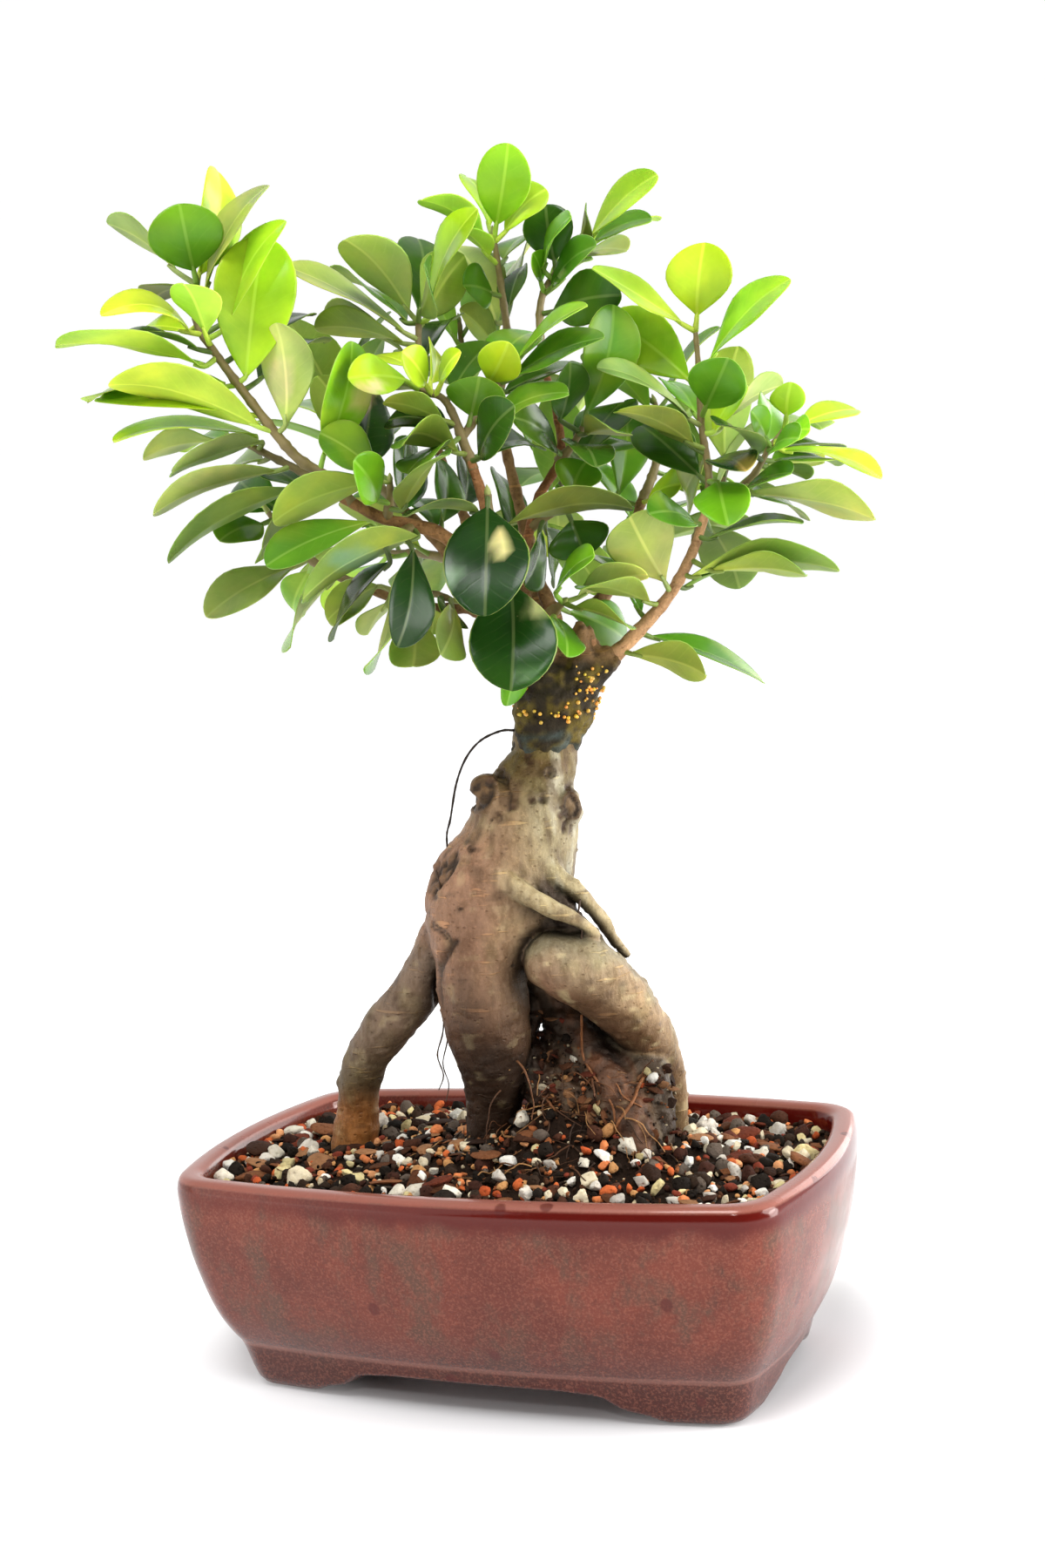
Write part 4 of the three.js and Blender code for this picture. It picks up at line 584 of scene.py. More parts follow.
def leaf_from_row(row, stems):
    u0, v0, u1, v1, seen_width, tone, lean, length = row[:8]
    arch = row[8] if len(row) > 8 else DEFAULT_ARCH
    ru, rv, rw = nearest_on_stems(stems, u0, v0)
    seen_length = math.hypot(u1 - ru, v1 - rv)
    hidden = math.sqrt(max(length * length - seen_length * seen_length, 0))
    lean_range = max(hidden, LEAST_LEAN_RANGE)
    width = max(LEAF_WIDTH_RATIO * length, seen_width)
    tilt = math.acos(min(seen_width / width, 1))
    roll = math.pi - tilt if tone.startswith("under") else tilt
    apart = math.hypot(u0 - ru, v0 - rv)
    along = max(apart, PETIOLE_LENGTH) / max(seen_length, PETIOLE_LENGTH * 2)
    shapes = []
    for share, turn in WAYS:
        reach = share * lean * lean_range
        start = place(ru, rv, rw)
        tip = place(u1, v1, rw + reach)
        if apart > PETIOLE_LENGTH * NEAR_PETIOLE_SHARE:
            base = place(u0, v0, rw + reach * min(along, MOST_BASE_SHARE))
        else:
            span = tip - start
            base = start + span * min(PETIOLE_LENGTH / np.linalg.norm(span), MOST_PETIOLE_SHARE)
        normal = leaf_normal(base, tip, roll + math.radians(turn))
        shapes.append({
            "start": start, "base": base, "tip": tip, "normal": normal, "width": width, "arch": arch,
        })
    return {"shapes": shapes, "tone": tone}


def back_leaves(rows, count, turn):
    links = chain(rows)[:, :3]
    leaves = []
    for i in range(count):
        t = (0.3 + 0.7 * i / (count - 1)) * (len(links) - 1)
        k = min(math.floor(t), len(links) - 2)
        start = links[k] + (links[k + 1] - links[k]) * (t - k)
        axis = unit(links[k + 1] - links[k])
        side = unit(BACK - axis * (BACK @ axis))
        across = np.cross(axis, side)
        length = BACK_LEAF_LENGTH[0] + (BACK_LEAF_LENGTH[1] - BACK_LEAF_LENGTH[0]) * draw(i, turn)
        rise = 0.9 + 0.35 * draw(i, turn + 5) - 0.5 * (i / count)
        shapes = []
        for share, swing in WAYS:
            angle = turn + i * GOLDEN_TURN + (share - 1) * 0.6 + math.radians(swing)
            outward = side * math.cos(angle) + across * math.sin(angle)
            heading = axis * math.cos(rise) + outward * math.sin(rise)
            normal = np.array([0, 0, 1]) - heading * heading[2] + axis * 0.4
            normal = unit(normal - heading * (normal @ heading))
            shapes.append({
                "start": start, "base": start + heading * PETIOLE_LENGTH, "tip": start + heading * length,
                "normal": normal, "width": length * LEAF_WIDTH_RATIO, "arch": DEFAULT_ARCH,
            })
        leaves.append({"shapes": shapes, "tone": BACK_TONES[i % len(BACK_TONES)]})
    return leaves


def width_share(t):
    return np.sin(math.pi * np.asarray(t, float) ** 1.25) ** 0.75


SAMPLE_T = np.repeat(np.arange(1, 11) / 10, 7)
SAMPLE_S = np.tile(np.arange(-3, 4) / 3, 10)
SAMPLE_SHARE = SAMPLE_S * 0.5 * width_share(np.minimum(SAMPLE_T, 0.97))
SAMPLE_OUTER = SAMPLE_T >= OWN_LEAF_FREE_SHARE
SAMPLE_MIDDLE = len(SAMPLE_T) // 2


def leaf_samples(leaf):
    along = leaf["tip"] - leaf["base"]
    side = unit(np.cross(leaf["normal"], along))
    rise = leaf["arch"] * np.linalg.norm(along) * 4 * SAMPLE_T * (1 - SAMPLE_T)
    out = SAMPLE_SHARE * leaf["width"]
    return leaf["base"] + np.outer(SAMPLE_T, along) + np.outer(rise, leaf["normal"]) + np.outer(out, side)


def stem_samples(links):
    rows = []
    for near, far in zip(links, links[1:]):
        steps = max(math.ceil(np.linalg.norm(near[:3] - far[:3]) / STEM_SAMPLE_PITCH), 1)
        rows.extend(near + (far - near) * (i / steps) for i in range(steps + 1))
    return np.array(rows)


def least_gap(near, far):
    squares = (near ** 2).sum(1)[:, None] + (far ** 2).sum(1) - 2 * near @ far.T
    return math.sqrt(max(squares.min(), 0))


def shortfall(samples, owner, placed, stems):
    """How far short of its wanted clearance a leaf comes; zero when it is clear of everything."""
    worst = 0
    middle = samples[SAMPLE_MIDDLE]
    outer = samples[SAMPLE_OUTER]
    if placed["middles"]:
        close = np.linalg.norm(np.array(placed["middles"]) - middle, axis=1) < SAMPLE_REACH
        own = np.array([name == owner for name in placed["owners"]])
        others = [placed["samples"][i] for i in np.flatnonzero(close & ~own)]
        same = [placed["samples"][i][SAMPLE_OUTER] for i in np.flatnonzero(close & own)]
        if others:
            worst = max(worst, LEAF_CLEARANCE - least_gap(samples, np.concatenate(others)))
        if same:
            lack = OWN_LEAF_CLEARANCE - least_gap(outer, np.concatenate(same))
            worst = max(worst, OWN_LEAF_WEIGHT * lack)
    close = np.linalg.norm(stems["points"] - middle, axis=1) < SAMPLE_REACH
    for mine, tested in ((False, samples), (True, outer)):
        rows = close & ((stems["owners"] == owner) == mine)
        if rows.any():
            gaps = np.linalg.norm(tested[:, None] - stems["points"][rows], axis=2)
            worst = max(worst, (stems["radii"][rows] + STEM_CLEARANCE - gaps).max())
    return worst


def settle_leaves(groups, stems):
    """Each leaf leans as its row says, or else as little as keeps it clear of what is already there."""
    placed = {"owners": [], "samples": [], "middles": []}
    settled = {}
    for owner, leaves in groups.items():
        settled[owner] = []
        for leaf in leaves:
            best = None
            for shape in leaf["shapes"]:
                samples = leaf_samples(shape)
                lack = shortfall(samples, owner, placed, stems)
                if best is None or lack < best[2] - LEAST_GAIN:
                    best = (shape, samples, lack)
                if best[2] == 0:
                    break
            shape, samples, _ = best
            placed["owners"].append(owner)
            placed["samples"].append(samples)
            placed["middles"].append(samples[SAMPLE_MIDDLE])
            settled[owner].append({**shape, "tone": leaf["tone"]})
    return settled


def place_leaves():
    groups = {"scion_wood": [leaf_from_row(row, list(BRANCHES.values())) for row in WOOD_LEAVES]}
    for name, shoot in SHOOTS.items():
        groups[name] = [leaf_from_row(row, shoot["stems"]) for row in shoot["leaves"]]
    for name, shoot in BACK_SHOOTS.items():
        groups[name] = back_leaves(shoot["stem"], shoot["count"], shoot["turn"])
    owned = [("rootstock", rows) for rows in LIMBS.values()]
    owned += [("scion_wood", rows) for rows in [*COLLAR.values(), *BRANCHES.values()]]
    owned += [(name, rows) for name, shoot in SHOOTS.items() for rows in shoot["stems"]]
    owned += [(name, shoot["stem"]) for name, shoot in BACK_SHOOTS.items()]
    samples = [stem_samples(chain(rows)) for _, rows in owned]
    owners = np.concatenate([[name] * len(found) for (name, _), found in zip(owned, samples)])
    points = np.concatenate(samples)
    return settle_leaves(groups, {"points": points[:, :3], "radii": points[:, 3], "owners": owners})


# Meshes
class Skin:
    """Gathers patches of points and faces, with their map places and tints, into one piece."""

    def __init__(self):
        self.points = []
        self.faces = []
        self.slots = []
        self.maps = []
        self.tints = []
        self.count = 0

    def add(self, points, faces, slot=0, places=None, tint=(1, 1, 1)):
        points = np.asarray(points, float)
        self.points.append(points)
        patches = faces if isinstance(faces, list) else [faces]
        for k, patch in enumerate(patches):
            self.faces.append(np.asarray(patch) + self.count)
            self.slots.append(np.full(len(patch), slot[k] if isinstance(slot, list) else slot))
        self.maps.append(np.zeros((len(points), 2)) if places is None else places)
        tint = np.asarray(tint, float)
        self.tints.append(np.broadcast_to(tint, (len(points), 3)) if tint.ndim == 1 else tint)
        self.count += len(points)

    def piece(self, name, materials, nodes=()):
        points = (np.concatenate(self.points) + POT_CENTRE) / 1000
        sizes = np.concatenate([np.full(len(patch), patch.shape[1]) for patch in self.faces])
        corners = np.concatenate([patch.ravel() for patch in self.faces])
        mesh = bpy.data.meshes.new(name)
        mesh.vertices.add(len(points))
        mesh.vertices.foreach_set("co", points.astype(np.float32).ravel())
        mesh.loops.add(len(corners))
        mesh.loops.foreach_set("vertex_index", corners.astype(np.int32))
        mesh.polygons.add(len(sizes))
        mesh.polygons.foreach_set("loop_start", np.concatenate([[0], np.cumsum(sizes)[:-1]]).astype(np.int32))
        mesh.polygons.foreach_set("material_index", np.concatenate(self.slots).astype(np.int32))
        mesh.polygons.foreach_set("use_smooth", np.ones(len(sizes), bool))
        mesh.update(calc_edges=True)
        layer = mesh.uv_layers.new(name="Places")
        layer.uv.foreach_set("vector", np.concatenate(self.maps)[corners].astype(np.float32).ravel())
        tints = np.ones((len(points), 4), np.float32)
        tints[:, :3] = np.concatenate(self.tints)
        mesh.attributes.new("tint", "FLOAT_COLOR", "POINT").data.foreach_set("color", tints.ravel())
        mesh.validate()
        for material in materials:
            mesh.materials.append(material)
        made = bpy.data.objects.new(name, mesh)
        bpy.context.scene.collection.objects.link(made)
        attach(made, "root")
        if nodes:
            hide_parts(*nodes)
        return made


def grid_faces(rows, columns, wrap=False):
    """Quads over a grid of points, rows by columns, with the columns joined end to end if wrap is set."""
    j = np.arange(columns if wrap else columns - 1)
    i = np.arange(rows - 1)[:, None]
    a = i * columns + j
    b = i * columns + (j + 1) % columns
    return np.stack([a, b, b + columns, a + columns], axis=-1).reshape(-1, 4)


def spline(rows, pitch):
    """Points along a smooth curve through rows of numbers, about pitch apart in their first three."""
    rows = np.asarray(rows, float)
    padded = np.vstack([2 * rows[0] - rows[1], rows, 2 * rows[-1] - rows[-2]])
    found = []
    for p0, p1, p2, p3 in zip(padded, padded[1:], padded[2:], padded[3:]):
        steps = max(math.ceil(np.linalg.norm(p2[:3] - p1[:3]) / pitch), 1)
        for i in range(steps):
            t = i / steps
            bend = 2 * p1 + (p2 - p0) * t + (2 * p0 - 5 * p1 + 4 * p2 - p3) * t * t
            found.append((bend + (3 * p1 - p0 - 3 * p2 + p3) * t ** 3) / 2)
    found.append(rows[-1])
    return np.array(found)


# How far each ring of a tube's round tip lies past its end, and its size, as shares of the radius
ROUND_TIP = ((0.5, 0.8), (0.85, 0.45), (1, 0.08))


def tube(skin, links, sides, slot=0, tint=(1, 1, 1), round_tip=True, lumps=0):
    """A closed tube along links of x, y, z and radius; lumps swells it here and there."""
    links = np.asarray(links, float)
    if round_tip:
        out = unit(links[-1, :3] - links[-2, :3])
        r = links[-1, 3]
        tip = [[*(links[-1, :3] + out * r * reach), r * share] for reach, share in ROUND_TIP]
        links = np.vstack([links, tip])
    turns = np.arange(sides) * 2 * math.pi / sides
    side = np.array([0.31, 0.87, 0.38])
    rings = []
    for k, (*p, r) in enumerate(links):
        along = unit(links[min(k + 1, len(links) - 1), :3] - links[max(k - 1, 0), :3])
        side = unit(side - along * (side @ along))
        across = np.cross(along, side)
        swell = 1 + lumps * (2 * draw(k, sides + len(links)) - 1)
        rings.append(p + r * swell * (np.outer(np.cos(turns), side) + np.outer(np.sin(turns), across)))
    travelled = np.concatenate([[0], np.cumsum(np.linalg.norm(np.diff(links[:, :3], axis=0), axis=1))])
    places = np.stack([np.tile(turns / (2 * math.pi), len(links)), np.repeat(travelled / 100, sides)], axis=1)
    ends = [np.arange(sides)[::-1][None], (np.arange(sides) + (len(links) - 1) * sides)[None]]
    skin.add(np.concatenate(rings), [grid_faces(len(links), sides, wrap=True), *ends], slot, places, tint)


def mixed(colours, other, share):
    share = np.clip(share, 0, 1)[:, None]
    return colours * (1 - share) + linear(other) * share


# Leaves
STATION_T = np.array(BLADE_STATIONS)
COLUMN_S = np.array(BLADE_COLUMNS)
GRID_T, GRID_S = (grid.ravel() for grid in np.meshgrid(STATION_T, COLUMN_S, indexing="ij"))
GRID_INNER = (np.abs(GRID_S) < 1) & (GRID_T > 0) & (GRID_T < 1)
GRID_BACKS = np.where(GRID_INNER, len(GRID_T) + np.cumsum(GRID_INNER) - 1, np.arange(len(GRID_T)))
GRID_FACES = grid_faces(len(STATION_T), len(COLUMN_S))


def blade(skin, leaf, index):
    """One leaf: a petiole and a thin arched blade with a midrib, closed along its edge."""
    span = leaf["tip"] - leaf["base"]
    length = np.linalg.norm(span)
    along = span / length
    side = unit(np.cross(leaf["normal"], along))
    normal = leaf["normal"]
    wave = (draw(index, 31) - 0.5) * 0.05
    droop = 0.05 * draw(index, 32) + 0.01
    sweep = (draw(index, 33) - 0.5) * 0.06
    twist = (draw(index, 34) - 0.5) * 0.5
    t, s = GRID_T, GRID_S
    slim = leaf["width"] / length
    widest = 0.57 + 0.06 * draw(index, 38)
    toward_base = np.sin(np.clip(t / widest, 0, 1) * math.pi / 2) ** (0.8 + 0.5 * draw(index, 43))
    toward_tip = (1 - np.clip((t - widest) / (1 - widest), 0, 1) ** 2) ** (0.78 - 0.45 * min(slim, 0.6))
    out = np.maximum(0.5 * np.where(t < widest, toward_base, toward_tip) * leaf["width"], 0.35) * s
    lift = leaf["arch"] * length * 4 * t * (1 - t)
    lift -= droop * length * np.maximum(t - 0.55, 0) ** 2 / 0.2
    lift += FOLD * np.abs(out) * np.abs(s) / (np.abs(s) + 0.12)
    lift += wave * length * np.sin(t * 9 + index) * s ** 2 * np.sign(s)
    lift += twist * out * smooth_step(0.3, 1, t)
    shift = out + sweep * length * 4 * t * (1 - t)
    middle = leaf["base"] + np.outer(t * length, along) + np.outer(shift, side) + np.outer(lift, normal)
    rib = np.exp(-(out / 0.75) ** 2) * (1 - 0.75 * t)
    top = middle + np.outer(GRID_INNER * (BLADE_THICKNESS / 2 - GROOVE_DEPTH * rib), normal)
    bottom = middle - np.outer(BLADE_THICKNESS / 2 + RIB_HEIGHT * rib, normal)
    upper, under = (linear(colour) for colour in TONES[leaf["tone"]])
    shade = 0.86 + 0.28 * draw(index, 35)
    warm = np.array([1 + 0.22 * (draw(index, 36) - 0.5), 1, 1 - 0.2 * (draw(index, 37) - 0.5)])
    places = np.stack([t * length / 100, out / 100 + np.where(np.abs(s) == 1, s, 0)], axis=1)
    tints = np.repeat([upper * shade * warm, under * shade * warm], [len(t), GRID_INNER.sum()], axis=0)
    points = np.vstack([top, bottom[GRID_INNER]])
    share = np.concatenate([t, t[GRID_INNER]])[:, None]
    fade = np.array([1.25, 1.12, 0.8]) if draw(index, 39) > 0.5 else np.array([0.8, 0.88, 0.95])
    tints *= 1 + (fade - 1) * smooth_step(0.35, 1, share) * draw(index, 40)
    # Painted shade: one half of the blade darker than the other, as the fold turns it from the light, then
    # soft painted shadow patches over the blade
    tints *= (1 + (draw(index, 42) - 0.5) * 0.24 * np.sign(np.concatenate([s, s[GRID_INNER]])))[:, None]
    tints = tints * (1 + 0.24 * lattice_noise(points + index, 9, 35))[:, None]
    patches = smooth_step(0.1, 0.7, lattice_noise(points + index, 13, 36))
    patches *= smooth_step(0.06, 0.3, tints[:, 1])
    tints = mixed(tints, LEAF_YELLOW, LEAF_YELLOW_SHARE * patches)
    u, v = seen_at(points)
    # Worn spots and painted highlights and reflections on the leaves that face the viewer
    for u0, v0, half_u, half_v, colour, most in LEAF_WEAR_AND_HIGHLIGHTS:
        away = np.hypot((u - u0) / half_u, (v - v0) / half_v)
        tints = mixed(tints, colour, most * smooth_step(1.2, 0.7, away))
    faces = [GRID_FACES[:, ::-1], GRID_BACKS[GRID_FACES]]
    skin.add(points, faces, [0, 1], np.vstack([places, places[GRID_INNER]]), tints)
    stalk = spline(np.array([
        [*leaf["start"], PETIOLE_RADIUS * 1.15],
        [*(leaf["start"] * 0.4 + leaf["base"] * 0.6 - normal * 0.25), PETIOLE_RADIUS],
        [*(leaf["base"] - normal * 0.3 + along * 0.5), PETIOLE_RADIUS * 0.9],
        [*(leaf["base"] - normal * 0.25 + along * 4), PETIOLE_RADIUS * 0.5],
    ]), 1.6)
    tube(skin, stalk, 7, 2, (upper * 0.4 + under * 0.6) * shade, round_tip=False)


# Bark skins from fields of distance
def lattice_noise(points, pitch, seed):
    """Smooth noise from -1 to 1 with lumps about pitch across."""
    size = 32
    table = np.random.default_rng(seed).uniform(-1, 1, (size, size, size))
    at = points / pitch
    low = np.floor(at).astype(int)
    t = at - low
    t = t * t * (3 - 2 * t)
    total = np.zeros(len(points))
    for corner in np.ndindex(2, 2, 2):
        index = (low + corner) % size
        weight = np.prod(np.where(corner, t, 1 - t), axis=1)
        total += weight * table[index[:, 0], index[:, 1], index[:, 2]]
    return total


class Field:
    """Distances to a shape on a box of grid points, in millimetres."""

    FAR = 40

    def __init__(self, low, high, step):
        self.low = np.asarray(low, float)
        self.step = step
        self.shape = np.ceil((np.asarray(high) - self.low) / step).astype(int) + 1
        self.values = np.full(self.shape, float(self.FAR))

    def limb(self, links, margin=9):
        """Distances to a limb given as links of x, y, z and radius."""
        values = np.full(self.shape, float(self.FAR))
        for near, far in zip(links, links[1:]):
            reach = max(near[3], far[3]) + margin
            first = np.floor((np.minimum(near, far)[:3] - reach - self.low) / self.step).astype(int).clip(0)
            last = np.ceil((np.maximum(near, far)[:3] + reach - self.low) / self.step).astype(int) + 1
            last = np.minimum(last, self.shape)
            if (last <= first).any():
                continue
            axes = [self.low[i] + np.arange(first[i], last[i]) * self.step for i in range(3)]
            grid = np.stack(np.meshgrid(*axes, indexing="ij"), axis=-1)
            span = far[:3] - near[:3]
            t = np.clip((grid - near[:3]) @ span / max(span @ span, 1e-9), 0, 1)
            away = np.linalg.norm(grid - near[:3] - t[..., None] * span, axis=-1)
            part = tuple(slice(a, b) for a, b in zip(first, last))
            values[part] = np.minimum(values[part], away - near[3] - t * (far[3] - near[3]))
        return values

    def blend(self, other, soft):
        """Joins other on with a fillet about soft wide."""
        bridge = np.maximum(soft - np.abs(self.values - other), 0) / soft
        self.values = np.minimum(self.values, other) - bridge * bridge * soft / 4

    def at(self, points):
        """The distance at any point, by linear steps between the grid points."""
        where = np.clip((points - self.low) / self.step, 0, self.shape - 1.001)
        low = np.floor(where).astype(int)
        t = where - low
        total = np.zeros(len(points))
        for corner in np.ndindex(2, 2, 2):
            index = low + corner
            weight = np.prod(np.where(corner, t, 1 - t), axis=1)
            total += weight * self.values[index[:, 0], index[:, 1], index[:, 2]]
        return total

    def slope(self, points):
        reach = self.step * 0.7
        steps = np.eye(3) * reach
        slope = np.stack([self.at(points + step) - self.at(points - step) for step in steps], axis=1)
        return slope / np.maximum(np.linalg.norm(slope, axis=1, keepdims=True), 1e-9)

    def skin(self):
        """Points and quads of the surface where the distance is zero."""
        values = self.values
        inside = values < 0
        cells = np.zeros(self.shape - 1, int)
        for corner in np.ndindex(2, 2, 2):
            part = tuple(slice(c, n - 1 + c) for c, n in zip(corner, self.shape))
            cells += inside[part]
        mixed = (cells > 0) & (cells < 8)
        numbers = np.full(self.shape - 1, -1)
        numbers[mixed] = np.arange(mixed.sum())
        corner = np.argwhere(mixed)
        total = np.zeros((len(corner), 3))
        crossings = np.zeros(len(corner))
        for axis in range(3):
            others = [a for a in range(3) if a != axis]
            for shift in np.ndindex(2, 2):
                near = corner.copy()
                near[:, others] += shift
                far = near.copy()
                far[:, axis] += 1
                a = values[tuple(near.T)]
                b = values[tuple(far.T)]
                crossed = (a < 0) != (b < 0)
                t = a / np.where(crossed, a - b, 1)
                total += (near + (far - near) * t[:, None]) * crossed[:, None]
                crossings += crossed
        points = self.low + total / crossings[:, None] * self.step
        quads = []
        for axis in range(3):
            others = [a for a in range(3) if a != axis]
            near = inside[tuple(slice(1, -1) if a != axis else slice(0, -1) for a in range(3))]
            far = inside[tuple(slice(1, -1) if a != axis else slice(1, None) for a in range(3))]
            edge = np.argwhere(near != far) + np.array([0 if a == axis else 1 for a in range(3)])
            outward = near[near != far]
            ring = []
            for shift in ((0, 0), (1, 0), (1, 1), (0, 1)):
                cell = edge.copy()
                cell[:, others] -= shift
                ring.append(numbers[tuple(cell.T)])
            quad = np.stack(ring, axis=1)
            flip = outward if axis == 1 else ~outward
            quad[flip] = quad[flip][:, ::-1]
            quads.append(quad)
        return points, np.concatenate(quads)


def relaxed(points, quads, rounds):
    """Evens the points out over their faces without shrinking the whole much."""
    for share in [0.5, -0.52] * rounds:
        total = np.zeros_like(points)
        count = np.zeros(len(points))
        for k in range(4):
            for other in (quads[:, (k + 1) % 4], quads[:, (k - 1) % 4]):
                np.add.at(total, quads[:, k], points[other])
                np.add.at(count, quads[:, k], 1)
        points = points + share * (total / count[:, None] - points)
    return points


# Rootstock
FIELD_MARGIN = 4
ROOT_STEP = 0.86
BARK_LEVEL = 0.77
SOIL_LINE = 62
BARK = {
    "tan": (158, 130, 98), "pale": (166, 156, 120), "grey": (116, 100, 84), "pink": (160, 118, 94),
    "brown": (92, 62, 42), "orange": (182, 118, 60), "dark": (34, 24, 18), "olive": (112, 92, 38),
    "root_red": (84, 46, 31), "soil_stain": (36, 24, 17), "streak": (86, 64, 44),
    "pale_streak": (206, 202, 178), "leg_moss": (92, 80, 48), "thigh": (162, 142, 112),
    "thigh_end": (172, 138, 96), "thigh_top": (138, 136, 108), "thigh_front": (168, 128, 104),
    "mottle": (136, 122, 84), "low_shade": (36, 24, 18), "mat": (54, 34, 24),
    "fleck": (214, 196, 150), "dark_fleck": (70, 48, 34), "strand": (132, 84, 56), "strand_gap": (38, 24, 19),
    "burl": (112, 84, 54), "burl_gap": (40, 27, 18), "dark_marks_and_crease_shade": (44, 28, 20), "torn": (96, 72, 50),
    "torn_gap": (40, 27, 19), "scab": (74, 50, 32),
}
# Burls as u, v, half sizes and turn in degrees, and knots as u, v, radius and how clear their ring is
BURL_FACES = [(-13.8, -4, 3.8, 5.8, -28), (16.8, -7.6, 2.7, 4.2, 12)]
KNOTS = [
    (6.6, -5.4, 2.4, 0), (9.4, 3.9, 2.2, 0.8), (20.6, 11.6, 1.3, 0), (-17.8, -22.6, 1.2, 0.5),
    (-10.4, -12.6, 0.8, 0), (-21.4, -43.4, 0.8, 0), (-3.6, -62.8, 0.9, 0),
]
CRACKS = [
    [(-29.6, -27.6), (-31.6, -33.8), (-31, -39.4)],
    [(-31, -49), (-27.5, -51.4), (-25.4, -55), (-25.8, -59)],
    [(-12, 3), (-6.6, 1.6), (-4, -4), (-4.6, -9)],
    [(13.4, -8), (15.6, -12), (14.4, -17)],
]
# Rough brown patches round the knots: middle u, v, half sizes and turn
BARK_SCABS = [
    (-6.3, 3, 1.8, 3.4, 50), (-3, -7, 2.8, 2, 10), (15, -13.5, 2.6, 4.6, 24), (3, -4.6, 1.6, 2.6, 0),
    (-10.2, 1.8, 2.4, 1.5, 30), (2, 9, 2, 3, 20), (16.5, -1.5, 2.2, 2.6, 0), (-8.4, -11.5, 1.6, 2.6, 30),
]
# Fibrous roots and soil that fill the gap under the thigh: u, v, w and radius
ROOT_MAT = [[4, -96, -6, 6], [9, -104, -4, 9], [18, -110, 2, 9], [30, -116, 8, 8]]
ROOT_MAT_TOP = [[3.5, -76, -9, 5], [1.5, -88, -9, 4], [6, -98, -7, 6]]
ROOT_MAT_SIDE = [[9.5, -88.5, -6, 3.2], [13, -93, -4, 4.5], [17, -98, 0, 6]]
# Fills in the hollow between the arms and the body and at the thigh's start: u, v, w and radius; their dark
# mat colour stands for soil there and painted shade of the hollow
ARM_HOLLOW = [
    [2, -33, 12, 5], [8, -38.5, 13, 5], [14.5, -45, 13, 4.4], [20, -50.5, 13, 3.4], [25, -54, 11, 2.4],
]
THIGH_HOLLOW = [[4, -46, 8, 5], [11, -49.4, 9, 4.2], [17, -52, 9, 3.6], [22, -55, 9, 3]]
MATS = (ROOT_MAT, ROOT_MAT_TOP, ROOT_MAT_SIDE)
FILLS = (*MATS, ARM_HOLLOW, THIGH_HOLLOW)
# How the limbs blend into the body, in this order, in millimetres
LIMB_BLENDS = {
    "middle_leg": 5, "left_leg": 1.6, "inner_root": 3, "outer_root": 3, "thigh": 1.2, "left_burl": 2.2,
    "right_knob": 2.2,
}
# The creases and roots that colours follow, as u, v along each
LEG_CREASE = [(-23.6, -55), (-25.7, -57.2), (-28.7, -63), (-29.8, -69), (-29.4, -76)]
INNER_ROOT_LINE = [(16, -70), (23, -84), (29, -96), (35.5, -108), (38.5, -122)]
# A torn ridge of old bark on the left: middle u, v, half sizes and turn, and the lobe behind it
TORN_BARK = (-27.4, -30.6, 2.4, 8.4, -34)
LEFT_RIDGE = [[-17, -20, 1, 4], [-24, -29, 1, 5.4], [-28.6, -40, -1, 5]]


def in_turned(u, v, mark):
    """How far places lie from a mark's middle, as a share of its half sizes."""
    u0, v0, half_u, half_v, turn = mark
    c, s = math.cos(math.radians(turn)), math.sin(math.radians(turn))
    du, dv = u - u0, v - v0
    return np.hypot((du * c + dv * s) / half_u, (dv * c - du * s) / half_v)


def line_distance(u, v, stops):
    found = np.full(len(u), 99.0)
    for (ua, va), (ub, vb) in zip(stops, stops[1:]):
        length = (ub - ua) ** 2 + (vb - va) ** 2
        t = np.clip(((u - ua) * (ub - ua) + (v - va) * (vb - va)) / length, 0, 1)
        found = np.minimum(found, np.hypot(u - ua - t * (ub - ua), v - va - t * (vb - va)))
    return found


def root_field():
    limbs = {name: spline(chain(rows), 4) for name, rows in LIMBS.items()}
    arms = [spline(chain(rows), 2.5) for rows in ROOT_ARMS.values()]
    every = np.vstack([*limbs.values(), *arms])
    low = (every[:, :3] - every[:, 3:]).min(0) - FIELD_MARGIN
    high = (every[:, :3] + every[:, 3:]).max(0) + FIELD_MARGIN
    low[2] = SOIL_LINE
    field = Field(low, high, ROOT_STEP)
    field.values = field.limb(limbs["body"])
    for name, blend in LIMB_BLENDS.items():
        field.blend(field.limb(limbs[name]), blend)
    for arm in arms:
        field.blend(field.limb(arm), 1.8)
    field.blend(field.limb(spline(chain(LEFT_RIDGE), 4)), 2)
    for rows in FILLS:
        field.blend(field.limb(spline(chain(rows), 4)), 1.5)
    return field, limbs


def nearness(field, limb_links, points, wide):
    """How close places lie to one limb: 1 on it and 0 beyond wide."""
    keep = field.values
    field.values = field.limb(limb_links, 14)
    found = smooth_step(wide, -0.5, field.at(points))
    field.values = keep
    return found


def bell(away, width):
    """One at zero, falling off smoothly to either side."""
    return np.exp(-(away / width) ** 2)


def faces_viewer(normals, low=0, high=0.3):
    return smooth_step(low, high, normals @ BACK)


def crack_wander(points):
    return 1.2 * lattice_noise(points, 4, 17)


